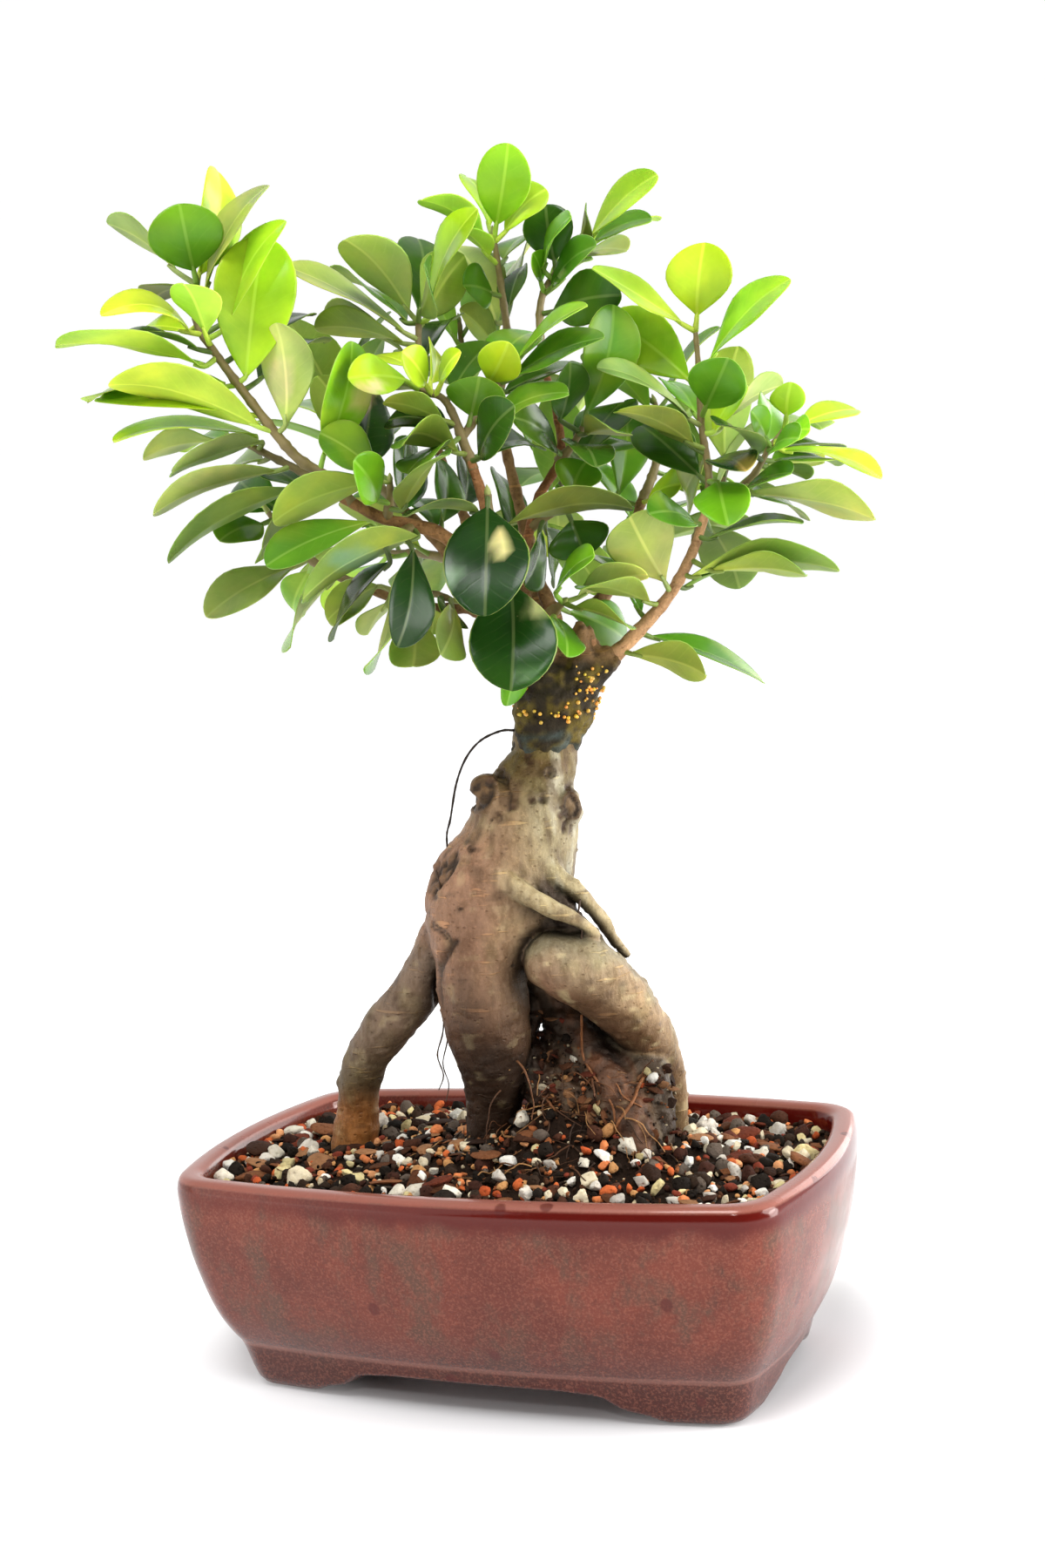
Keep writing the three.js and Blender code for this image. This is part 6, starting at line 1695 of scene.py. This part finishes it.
def build_soil(humus):
    rim = ring(SOIL_INSET + 0.7)
    rows = [pot_row(26.4, 18.4)]
    for inset, height in ((18.4, 30), (12.6, 53), (SOIL_INSET + 0.7, SOIL_RIM_HEIGHT - 2)):
        rows.append(pot_row(inset, height))
    for share in np.linspace(1, 0, 62)[:-1]:
        flat = rim * share
        height = soil_height(flat[:, 0], flat[:, 1])
        points = np.column_stack([flat, height])
        points[:, 2] += 1.1 * lattice_noise(points, 7, 51) + 0.9 * lattice_noise(points, 2.8, 52) - 1.2
        rows.append(points)
    columns = len(rim)
    last = (len(rows) - 1) * columns
    caps = [np.arange(columns)[None], (np.arange(columns) + last)[::-1][None]]
    points = np.vstack(rows)
    skin = Skin()
    tints = linear(SOIL_HUMUS) * (1 + 0.5 * lattice_noise(points, 5, 53))[:, None]
    skin.add(points, [grid_faces(len(rows), columns, wrap=True)[:, ::-1], *caps], tint=tints)
    return skin.piece("soil_bed", [humus], ["soil"])


def ball(detail):
    """Points and triangles of a round ball split detail times from an icosahedron."""
    gold = (1 + math.sqrt(5)) / 2
    points = [unit(np.array(p, float)) for p in (
        (-1, gold, 0), (1, gold, 0), (-1, -gold, 0), (1, -gold, 0), (0, -1, gold), (0, 1, gold),
        (0, -1, -gold), (0, 1, -gold), (gold, 0, -1), (gold, 0, 1), (-gold, 0, -1), (-gold, 0, 1),
    )]
    triangles = [
        (0, 11, 5), (0, 5, 1), (0, 1, 7), (0, 7, 10), (0, 10, 11), (1, 5, 9), (5, 11, 4), (11, 10, 2),
        (10, 7, 6), (7, 1, 8), (3, 9, 4), (3, 4, 2), (3, 2, 6), (3, 6, 8), (3, 8, 9), (4, 9, 5), (2, 4, 11),
        (6, 2, 10), (8, 6, 7), (9, 8, 1),
    ]
    for _ in range(detail):
        middles = {}
        finer = []
        for triangle in triangles:
            cut = []
            for a, b in zip(triangle, triangle[1:] + triangle[:1]):
                key = (min(a, b), max(a, b))
                if key not in middles:
                    middles[key] = len(points)
                    points.append(unit(points[a] + points[b]))
                cut.append(middles[key])
            a, b, c = triangle
            ab, bc, ca = cut
            finer.extend([(a, ab, ca), (b, bc, ab), (c, ca, bc), (ab, bc, ca)])
        triangles = finer
    return np.array(points), np.array(triangles)


def pebble(points, kind, random):
    """A lumpy stone with a few flat cuts."""
    bumps = lattice_noise(points + random.uniform(0, 20, 3), 0.5, 61)
    shape = points + kind["rough"] * bumps[:, None] * points
    for _ in range(kind["cuts"]):
        normal = unit(random.normal(size=3))
        over = np.maximum(shape @ normal - random.uniform(0.5, 0.8), 0)
        shape = shape - over[:, None] * normal * 0.92
    return shape


def turned(random, lying):
    """A random turn; a lying stone keeps its thin side roughly upright."""
    spin = random.uniform(0, 2 * math.pi)
    tilt = random.normal(0, 0.28) if lying else random.uniform(0, math.pi)
    way = random.uniform(0, 2 * math.pi)
    turns = [Matrix.Rotation(angle, 3, axis) for angle, axis in ((way, "Z"), (tilt, "X"), (spin, "Z"))]
    return np.array(turns[0] @ turns[1] @ turns[2])


def build_grains(materials, field, limbs, outline):
    placed = np.zeros((0, 3))
    made = {}
    for k, (name, kind) in enumerate(GRAIN_KINDS.items()):
        random = np.random.default_rng(70 + k)
        points, triangles = ball(kind["detail"])
        shapes = [pebble(points, kind, random) for _ in range(PEBBLE_SHAPES)]
        skin = Skin()
        lying = kind["flat"][1] < 0.5
        count = 0
        while count < kind["count"]:
            size = kind["size"][0] + (kind["size"][1] - kind["size"][0]) * random.random() ** 1.6
            x, y = random.uniform(-1, 1, 2) * [POT_LENGTH / 2 - 10, POT_DEPTH / 2 - 10]
            spot = inside_by(outline, x, y)
            if spot < size * 0.75:
                continue
            z = float(soil_height(x, y)) + size * random.uniform(-0.1, 0.45) - 0.6 + GRAIN_RAISE
            if field.at(np.array([[x, y, max(z, SOIL_LINE + 1)]]))[0] < size * 0.2:
                continue
            gaps = np.hypot(placed[:, 0] - x, placed[:, 1] - y) - 0.62 * (placed[:, 2] + size)
            if size > 1.5 and len(gaps) and gaps.min() < 0 and random.random() > 0.12:
                count += 0.25
                continue
            placed = np.vstack([placed, [x, y, size]])
            spans = ((0.85, 1.15), (0.6, 0.95), kind["flat"])
            scale = size * np.array([random.uniform(*span) for span in spans])
            stone = shapes[random.integers(PEBBLE_SHAPES)] * scale @ turned(random, lying).T + [x, y, z]
            tint = linear(kind["tints"][random.integers(len(kind["tints"]))]) * random.uniform(0.8, 1.15)
            skin.add(stone, triangles, tint=tint)
            count += 1
        for spot in mat_spots(field, limbs, kind["on_mat"], random):
            size = kind["size"][0] * random.uniform(0.7, 1.5)
            scale = size * np.array([1, random.uniform(0.6, 0.95), random.uniform(*kind["flat"])])
            stone = shapes[random.integers(PEBBLE_SHAPES)] * scale @ turned(random, False).T + spot
            tint = linear(kind["tints"][random.integers(len(kind["tints"]))])
            # Painted shade under the thigh
            skin.add(stone, triangles, tint=tint * MAT_CRUMB_SHADE)
        made[name] = skin.piece(name, [materials[name]])
    return made


def mat_spots(field, limbs, count, random):
    """Places on the crumbly soil that clings to the root mat under the thigh."""
    tries = 30 * count
    points = np.array([random_place(random, MAT_CRUMB_RANGES) for _ in range(tries)])
    for _ in range(3):
        points = points - field.slope(points) * field.at(points)[:, None]
    mats = [nearness(field, spline(chain(rows), 4), points, 1.5) for rows in MATS]
    roots = [nearness(field, limbs[name], points, 1.5) for name in ("inner_root", "outer_root")]
    bare = nearness(field, limbs["thigh"], points, 1.5) > 0.4
    u, v = seen_at(points)
    bare |= (line_distance(u, v, INNER_ROOT_LINE) < 6.4) | ((u > 36) & (v > -98))
    good = (np.max([*mats, *roots], axis=0) > 0.5) & ~bare & (v < -78)
    good &= (np.abs(field.at(points)) < 0.5) & (points[:, 2] > SOIL_RIM_HEIGHT)
    return points[good][:count]


def inside_by(outline, x, y):
    """How far inside the soil's outline a place lies, in millimetres."""
    away = outline - [x, y]
    nearest = np.argmin((away ** 2).sum(1))
    inward = -unit(outline[nearest])
    reach = np.linalg.norm(away[nearest])
    return reach if (np.array([x, y]) - outline[nearest]) @ inward > 0 else -reach


# Finishes
class Finish:
    """A material built node by node; values may be numbers, colours or the sockets of other nodes."""

    def __init__(self, name, **settings):
        self.material = bpy.data.materials.new(name)
        self.material.use_nodes = True
        self.tree = self.material.node_tree
        self.shader = self.tree.nodes["Principled BSDF"]
        self.fill(self.shader, {key.replace("_", " "): value for key, value in settings.items()})
        self.coordinates = self.node("TexCoord").outputs["Object"]

    def fill(self, node, inputs):
        for key, value in inputs.items():
            socket = node.inputs[key]
            if isinstance(value, bpy.types.NodeSocket):
                self.tree.links.new(value, socket)
            elif isinstance(value, (tuple, list, np.ndarray)) and len(value) == 3 and socket.type == "RGBA":
                socket.default_value = (*value, 1)
            else:
                socket.default_value = value

    def node(self, kind, inputs=None, **settings):
        node = self.tree.nodes.new(f"ShaderNode{kind}")
        for key, value in settings.items():
            setattr(node, key, value)
        self.fill(node, inputs or {})
        return node

    def math(self, operation, a, b=0.0):
        return self.node("Math", {0: a, 1: b}, operation=operation).outputs[0]

    def band(self, value, low, high, start=0.0, end=1.0):
        inputs = {"Value": value, "From Min": low, "From Max": high, "To Min": start, "To Max": end}
        return self.node("MapRange", inputs, interpolation_type="SMOOTHSTEP").outputs["Result"]

    def mix(self, share, a, b, blend="MIX"):
        node = self.node("Mix", data_type="RGBA", blend_type=blend)
        self.fill(node, {0: share, 6: a, 7: b})
        return node.outputs[2]

    def times(self, *values):
        found = values[0]
        for value in values[1:]:
            found = self.math("MULTIPLY", found, value)
        return found

    def shaded(self, colour, share, tint, scale):
        """Lays the tint, made lighter or darker by scale, over a colour."""
        return self.mix(share, colour, self.mix(1.0, tint, scale, "MULTIPLY"))

    def stretched(self, scale):
        return self.node("Mapping", {"Vector": self.coordinates, "Scale": scale}).outputs[0]

    def noise(self, scale, detail=3.0, roughness=0.55, vector=None):
        inputs = {"Scale": scale, "Detail": detail, "Roughness": roughness}
        return self.node("TexNoise", {"Vector": vector or self.coordinates, **inputs}).outputs["Fac"]

    def cells(self, scale, feature="F1", vector=None):
        inputs = {"Vector": vector or self.coordinates, "Scale": scale}
        return self.node("TexVoronoi", inputs, feature=feature).outputs["Distance"]

    def tint(self):
        return self.node("Attribute", attribute_name="tint").outputs["Color"]

    def set(self, colour=None, roughness=None, height=None, depth=0.0002, strength=1.0):
        if colour is not None:
            self.fill(self.shader, {"Base Color": colour})
        if roughness is not None:
            self.fill(self.shader, {"Roughness": roughness})
        if height is not None:
            bump = self.node("Bump", {"Height": height, "Distance": depth, "Strength": strength})
            self.fill(self.shader, {"Normal": bump.outputs[0]})
        return self.material


# Pale veins and edges and brown specks of the leaves, as linear shares
VEIN_PALE = (0.62, 0.68, 0.26)
EDGE_PALE = (0.7, 0.72, 0.2)
SPECK_BROWN = (0.3, 0.24, 0.12)
# Tints of the gloss on bark and soil, and on the glaze
WARM_GLOSS = (1.0, 0.84, 0.68)
RED_GLOSS = (1.0, 0.72, 0.64)


def leaf_finish(name, under):
    roughness, gloss, vein_share = (0.5, 0.1, 0.14) if under else (0.24, 0.18, 0.1)
    finish = Finish(name)
    finish.fill(finish.shader, {
        "Roughness": roughness, "Specular IOR Level": gloss,
        "Subsurface Weight": 0.3, "Subsurface Radius": (0.5, 1.0, 0.2), "Subsurface Scale": 0.0015,
    })
    place_map = finish.node("UVMap", uv_map="Places").outputs[0]
    split = finish.node("SeparateXYZ", {0: place_map})
    along, across = split.outputs[0], finish.math("ABSOLUTE", split.outputs[1])
    rib = finish.band(across, 0.0025, 0.0075, 1.0, 0.0)
    sway = finish.math("MULTIPLY", finish.noise(60.0, 2.0), 0.05)
    slant = finish.math("SUBTRACT", finish.math("ADD", along, sway), finish.math("MULTIPLY", across, 0.8))
    phase = finish.math("MULTIPLY", slant, 150.0)
    waves = finish.math("SINE", phase)
    veins = finish.math("MULTIPLY", finish.band(waves, 0.8, 1.0), finish.band(across, 0.004, 0.02))
    veins = finish.math("MULTIPLY", veins, finish.band(finish.noise(90.0, 2.0), 0.35, 0.65))
    edge = finish.band(across, 0.45, 0.85)
    tint = finish.tint()
    broad = finish.noise(45.0, 2.0)
    fine = finish.noise(420.0, 4.0)
    colour = finish.shaded(tint, finish.band(broad, 0.35, 0.7, 0.0, 0.5), tint, (0.5, 0.72, 0.5))
    colour = finish.shaded(colour, finish.band(broad, 0.5, 0.25, 0.0, 0.45), tint, (1.5, 1.25, 0.9))
    colour = finish.shaded(colour, finish.band(fine, 0.3, 0.7, 0.0, 0.22), colour, (0.7, 0.78, 0.7))
    pale = finish.mix(0.11, finish.mix(1.0, tint, (1.25, 1.2, 1.2), "MULTIPLY"), VEIN_PALE)
    colour = finish.mix(finish.times(veins, vein_share), colour, pale)
    colour = finish.mix(finish.times(rib, 0.75), colour, pale)
    colour = finish.mix(finish.times(edge, 0.7), colour, finish.mix(0.35, tint, EDGE_PALE))
    specks = finish.band(finish.cells(330.0), 0.0, 0.14, 1.0, 0.0)
    scarred = finish.band(finish.noise(30.0, 1.0), 0.62, 0.7)
    colour = finish.mix(finish.times(specks, scarred, 0.5), colour, SPECK_BROWN)
    height = finish.math("ADD", finish.math("MULTIPLY", veins, -0.2), finish.math("MULTIPLY", fine, 0.5))
    return finish.set(colour, height=height, depth=0.0001, strength=0.5)


def stem_finish():
    finish = Finish("young_stem", Roughness=0.55)
    tint = finish.tint()
    rings = finish.noise(260.0, 4.0)
    colour = finish.shaded(tint, finish.band(rings, 0.35, 0.7, 0.0, 0.6), tint, (0.55, 0.5, 0.42))
    return finish.set(colour, height=rings, depth=0.0003, strength=0.6)


def bark_finish(name, roughness, streak, dark):
    """Bark with faint upright fibres, pores, patches and short pale scratches across it."""
    finish = Finish(name, Roughness=roughness)
    finish.fill(finish.shader, {"Specular IOR Level": 0.34, "Specular Tint": WARM_GLOSS})
    tint = finish.tint()
    fibres = finish.noise(380.0, 5.0, 0.64, finish.stretched((1, 1, streak)))
    grain = finish.noise(1000.0, 4.0, 0.62)
    patches = finish.noise(85.0, 4.0, 0.62)
    pores = finish.band(finish.cells(300.0, vector=finish.stretched((1, 1, 1.6))), 0.08, 0.24, 1.0, 0.0)
    across = finish.noise(300.0, 2.0, 0.5, finish.stretched((0.22, 0.22, 1.9)))
    scratch = finish.math("MULTIPLY", finish.band(across, 0.64, 0.68), finish.band(patches, 0.4, 0.55))
    colour = tint
    for share, scale in (
        (finish.band(fibres, 0.38, 0.66, 0.0, 0.85), dark),
        (finish.band(patches, 0.5, 0.7, 0.0, 0.6), (1.36, 1.34, 1.26)),
        (finish.band(patches, 0.46, 0.3, 0.0, 0.7), (0.58, 0.5, 0.42)),
        (finish.times(pores, 0.5), (0.4, 0.3, 0.22)),
        (finish.band(grain, 0.5, 0.72, 0.0, 0.45), (1.5, 1.44, 1.32)),
        (finish.times(scratch, 0.6), (1.9, 1.75, 1.4)),
    ):
        colour = finish.shaded(colour, share, tint, scale)
    height = finish.math("ADD", fibres, finish.math("MULTIPLY", grain, 0.5))
    height = finish.math("SUBTRACT", height, finish.math("MULTIPLY", pores, 0.4))
    height = finish.math("ADD", height, finish.math("MULTIPLY", scratch, 0.5))
    return finish.set(colour, height=height, depth=0.0006, strength=0.9)


# Glaze colours, as 8-bit sRGB
GLAZE = {
    "red": (116, 53, 39), "brown": (92, 38, 28), "smear": (86, 58, 46), "drip": (62, 40, 34),
    "low": (58, 15, 10), "fleck": (160, 96, 76), "speck": (56, 26, 22), "band": (84, 14, 9),
    "rim": (150, 92, 80), "groove": (170, 118, 104), "drop": (78, 20, 18),
}


def glaze_finish():
    """Dusty red glaze with grey-brown clouds, dark glossy red under the rim and a mauve rim."""
    finish = Finish("mottled_glaze")
    finish.fill(finish.shader, {
        "Specular IOR Level": 0.3, "Specular Tint": RED_GLOSS, "Coat Weight": 0.24, "Coat Roughness": 0.06,
    })
    split = finish.node("SeparateXYZ", {0: finish.coordinates})
    side, height = split.outputs[0], split.outputs[2]
    clouds = finish.noise(26.0, 5.0, 0.64)
    smears = finish.noise(44.0, 5.0, 0.68, finish.stretched((1, 1, 0.6)))
    drips = finish.noise(110.0, 3.0, 0.6, finish.stretched((1, 1, 0.1)))
    fine = finish.noise(1100.0, 3.0, 0.7)
    specks = finish.noise(420.0, 2.0, 0.6)
    cells = finish.cells(50.0, vector=finish.stretched((1, 1, 0.8)))
    right = finish.band(side, 0.0, 0.08)
    streaks = finish.times(finish.band(drips, 0.52, 0.72), finish.band(smears, 0.4, 0.6))
    wander = finish.times(finish.math("SUBTRACT", drips, 0.5), 0.006)
    ragged = finish.math("ADD", height, finish.math("ADD", wander, finish.times(clouds, 0.004)))
    band = finish.times(finish.band(ragged, 0.0685, 0.0745), finish.band(height, 0.0762, 0.0772, 1.0, 0.0))
    # A lighter line along the groove above the feet: partly pooled glaze, partly a painted highlight
    groove = finish.times(
        finish.band(height, 0.0155, 0.0165), finish.band(height, 0.0175, 0.0185, 1.0, 0.0), 0.3,
    )
    colour = finish.mix(finish.band(clouds, 0.36, 0.66), linear(GLAZE["red"]), linear(GLAZE["brown"]))
    for name, share in (
        ("smear", finish.band(smears, 0.46, 0.62, 0.0, 0.9)),
        ("drip", finish.times(streaks, right, 0.55)),
        ("low", finish.band(height, 0.008, 0.04, 0.9, 0.0)),
        ("fleck", finish.band(fine, 0.46, 0.64, 0.0, 0.36)),
        ("speck", finish.band(specks, 0.62, 0.72, 0.0, 0.35)),
        ("band", finish.times(band, finish.band(side, -0.1, 0.0, 0.5, 0.97))),
        ("rim", finish.band(height, 0.0762, 0.0774, 0.0, 0.85)),
        ("groove", groove),
        ("drop", finish.band(cells, 0.09, 0.13, 0.7, 0.0)),
    ):
        colour = finish.mix(share, colour, linear(GLAZE[name]))
    worn = finish.math("ADD", clouds, finish.times(band, -0.4))
    bumps = finish.math("ADD", smears, finish.times(fine, 0.14))
    return finish.set(colour, finish.band(worn, 0.2, 0.7, 0.12, 0.34), bumps, depth=0.0005, strength=0.3)


def grain_finish(name, pits, dark, roughness=0.85):
    finish = Finish(name, Roughness=roughness)
    finish.fill(finish.shader, {"Specular IOR Level": 0.2, "Specular Tint": WARM_GLOSS})
    tint = finish.tint()
    fine = finish.noise(700.0, 4.0, 0.65)
    holes = finish.band(finish.cells(520.0), 0.12, 0.34, 1.0, 0.0)
    pitted = finish.times(holes, pits)
    colour = finish.shaded(tint, finish.band(fine, 0.4, 0.7, 0.0, 0.6), tint, dark)
    colour = finish.shaded(colour, pitted, tint, (0.45, 0.4, 0.32))
    height = finish.math("SUBTRACT", fine, pitted)
    return finish.set(colour, height=height, depth=0.0007, strength=0.9)


# Stage
ROOM_SHADE = 0.11
ROOM_BACK = 1.1
ROOM_TOP = 0.6
# Glow of the floor under the pot, just round it and far off, and where each begins in metres; the floor glows
# though it is no lamp, and its weaker glow near the pot paints a shadow round it
FLOOR_GLOW = (0, 0.32, 0.7)
FLOOR_REACH = (0.1, 0.15, 0.25, 1.0)
POT_ROUNDING = (1, 1.45, 1)
# Lights: place, size and power in watts
LIGHTS = {
    "key": ((0.15, -0.75, 1.4), 0.6, 15),
    "side": ((1.3, 0.1, 0.55), 0.8, 15),
    "glint": ((0.4, -1.2, 0.9), 0.12, 2.2),
    "rim": ((0.6, 1.3, 0.5), 1.0, 8),
    "low_side": ((0.8, 0.12, 0.14), 0.35, 3),
    "fill": ((-0.9, -1.1, 0.5), 1.2, 5),
}


def build_stage():
    bpy.ops.mesh.primitive_plane_add(size=16, location=(0, 0, -0.0002))
    floor = bpy.context.object
    floor.name = "floor"
    # The floor glows, least under and near the pot: painted light, with a painted shadow round the pot
    glowing_paper = Finish("glowing_white_paper", Roughness=0.8)
    far = glowing_paper.node("VectorMath", {0: glowing_paper.stretched(POT_ROUNDING)}, operation="LENGTH").outputs["Value"]
    near_glow = glowing_paper.band(far, *FLOOR_REACH[:2], *FLOOR_GLOW[:2])
    far_glow = glowing_paper.band(far, *FLOOR_REACH[2:], 0.0, FLOOR_GLOW[2] - FLOOR_GLOW[1])
    glow = glowing_paper.math("ADD", near_glow, far_glow)
    glowing_paper.fill(glowing_paper.shader, {
        "Specular IOR Level": 0.1, "Emission Color": (1, 1, 1), "Emission Strength": glow,
    })
    floor.data.materials.append(glowing_paper.set((0.75, 0.75, 0.76)))
    bpy.ops.mesh.primitive_ico_sphere_add(subdivisions=4, radius=8)
    backdrop = bpy.context.object
    backdrop.name = "backdrop"
    glow = Finish("white_backdrop", Roughness=1.0)
    glow.fill(glow.shader, {"Emission Color": (1, 1, 1), "Emission Strength": 1.0})
    backdrop.data.materials.append(glow.set((0, 0, 0)))
    for kind in ("diffuse", "glossy", "transmission", "volume_scatter", "shadow"):
        setattr(backdrop, f"visible_{kind}", False)


def build_world():
    """White all round and above, and darker on the side that the object faces."""
    world = bpy.data.worlds.new("studio")
    bpy.context.scene.world = world
    world.use_nodes = True
    nodes, links = world.node_tree.nodes, world.node_tree.links
    front = nodes.new("ShaderNodeVectorMath")
    front.operation = "DOT_PRODUCT"
    turn = math.radians(VIEW_AZIMUTH)
    front.inputs[1].default_value = (math.sin(turn), -math.cos(turn), 0)
    direction = nodes.new("ShaderNodeTexCoord").outputs["Generated"]
    links.new(direction, front.inputs[0])
    split = nodes.new("ShaderNodeSeparateXYZ")
    links.new(direction, split.inputs[0])
    top = nodes.new("ShaderNodeMapRange")
    top.interpolation_type = "SMOOTHSTEP"
    for key, value in {"From Min": 0.2, "From Max": 0.9, "To Min": 1.0, "To Max": ROOM_TOP}.items():
        top.inputs[key].default_value = value
    links.new(split.outputs[2], top.inputs["Value"])
    both = nodes.new("ShaderNodeMath")
    both.operation = "MULTIPLY"
    level = nodes.new("ShaderNodeMapRange")
    level.interpolation_type = "SMOOTHSTEP"
    for key, value in {"From Min": -0.3, "From Max": 0.8, "To Min": ROOM_BACK, "To Max": ROOM_SHADE}.items():
        level.inputs[key].default_value = value
    links.new(front.outputs["Value"], level.inputs["Value"])
    nodes["Background"].inputs["Color"].default_value = (1, 1, 1, 1)
    links.new(level.outputs["Result"], both.inputs[0])
    links.new(top.outputs["Result"], both.inputs[1])
    links.new(both.outputs[0], nodes["Background"].inputs["Strength"])


def area_light(name, location, size, power, aim=(0, 0, 0.2)):
    data = bpy.data.lights.new(name, "AREA")
    data.shape = "DISK"
    data.size = size
    data.energy = power
    light = bpy.data.objects.new(name, data)
    light.location = location
    direction = Matrix.Translation(aim).translation - light.location
    light.rotation_euler = direction.to_track_quat("-Z", "Y").to_euler()
    bpy.context.scene.collection.objects.link(light)


def build_camera():
    data = bpy.data.cameras.new("camera")
    data.lens = LENS
    data.sensor_width = SENSOR
    data.clip_start = 0.01
    camera = bpy.data.objects.new("camera", data)
    turn = np.eye(4)
    turn[:3, 0], turn[:3, 1], turn[:3, 2] = RIGHT, UP, BACK
    turn[:3, 3] = (EYE + POT_CENTRE) / 1000
    camera.matrix_world = Matrix(turn.tolist())
    bpy.context.scene.collection.objects.link(camera)
    bpy.context.scene.camera = camera


def main():
    leaf_materials = [leaf_finish("leaf_upper", False), leaf_finish("leaf_under", True), stem_finish()]
    settled = place_leaves()
    for k, (name, shoot) in enumerate(SHOOTS.items()):
        build_shoot(name, shoot["stems"], settled[name], leaf_materials, k)
    for k, (name, shoot) in enumerate(BACK_SHOOTS.items()):
        build_shoot(name, [shoot["stem"]], settled[name], leaf_materials, k + len(SHOOTS))
    root_bark = bark_finish("root_bark", 0.48, 0.4, (0.6, 0.54, 0.46))
    wood = bark_finish("scion_bark", 0.7, 0.9, (0.5, 0.46, 0.42))
    beads = Finish("resin_beads", Roughness=0.35)
    beads.set(beads.tint())
    build_scion(wood, beads.material, leaf_materials, settled["scion_wood"])
    field, limbs = root_field()
    build_rootstock(root_bark, field, limbs)
    build_pot(glaze_finish())
    build_soil(grain_finish("humus", 0.6, (0.4, 0.38, 0.36)))
    build_rootlets(root_bark, field)
    materials = {
        "grains_lava": grain_finish("lava", 0.7, (0.5, 0.48, 0.46)),
        "grains_pumice": grain_finish("pumice", 0.35, (0.8, 0.76, 0.66)),
        "grains_clay": grain_finish("fired_clay", 0.25, (0.7, 0.62, 0.56)),
        "grains_grit": grain_finish("grit", 0.4, (0.6, 0.56, 0.5)),
        "bark_chips": grain_finish("chip_bark", 0.4, (0.6, 0.54, 0.48)),
    }
    build_grains(materials, field, limbs, ring(SOIL_INSET))
    screens = grain_finish("mesh_plastic", 0.1, (0.8, 0.8, 0.8), 0.5)
    for name in ("drain_screen_left", "drain_screen_right"):
        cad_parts[name].data.materials.clear()
        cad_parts[name].data.materials.append(screens)
    build_stage()
    build_world()
    for name, (location, size, power) in LIGHTS.items():
        area_light(name, location, size, power)
    build_camera()
    bpy.context.scene.view_settings.view_transform = "Standard"


main()
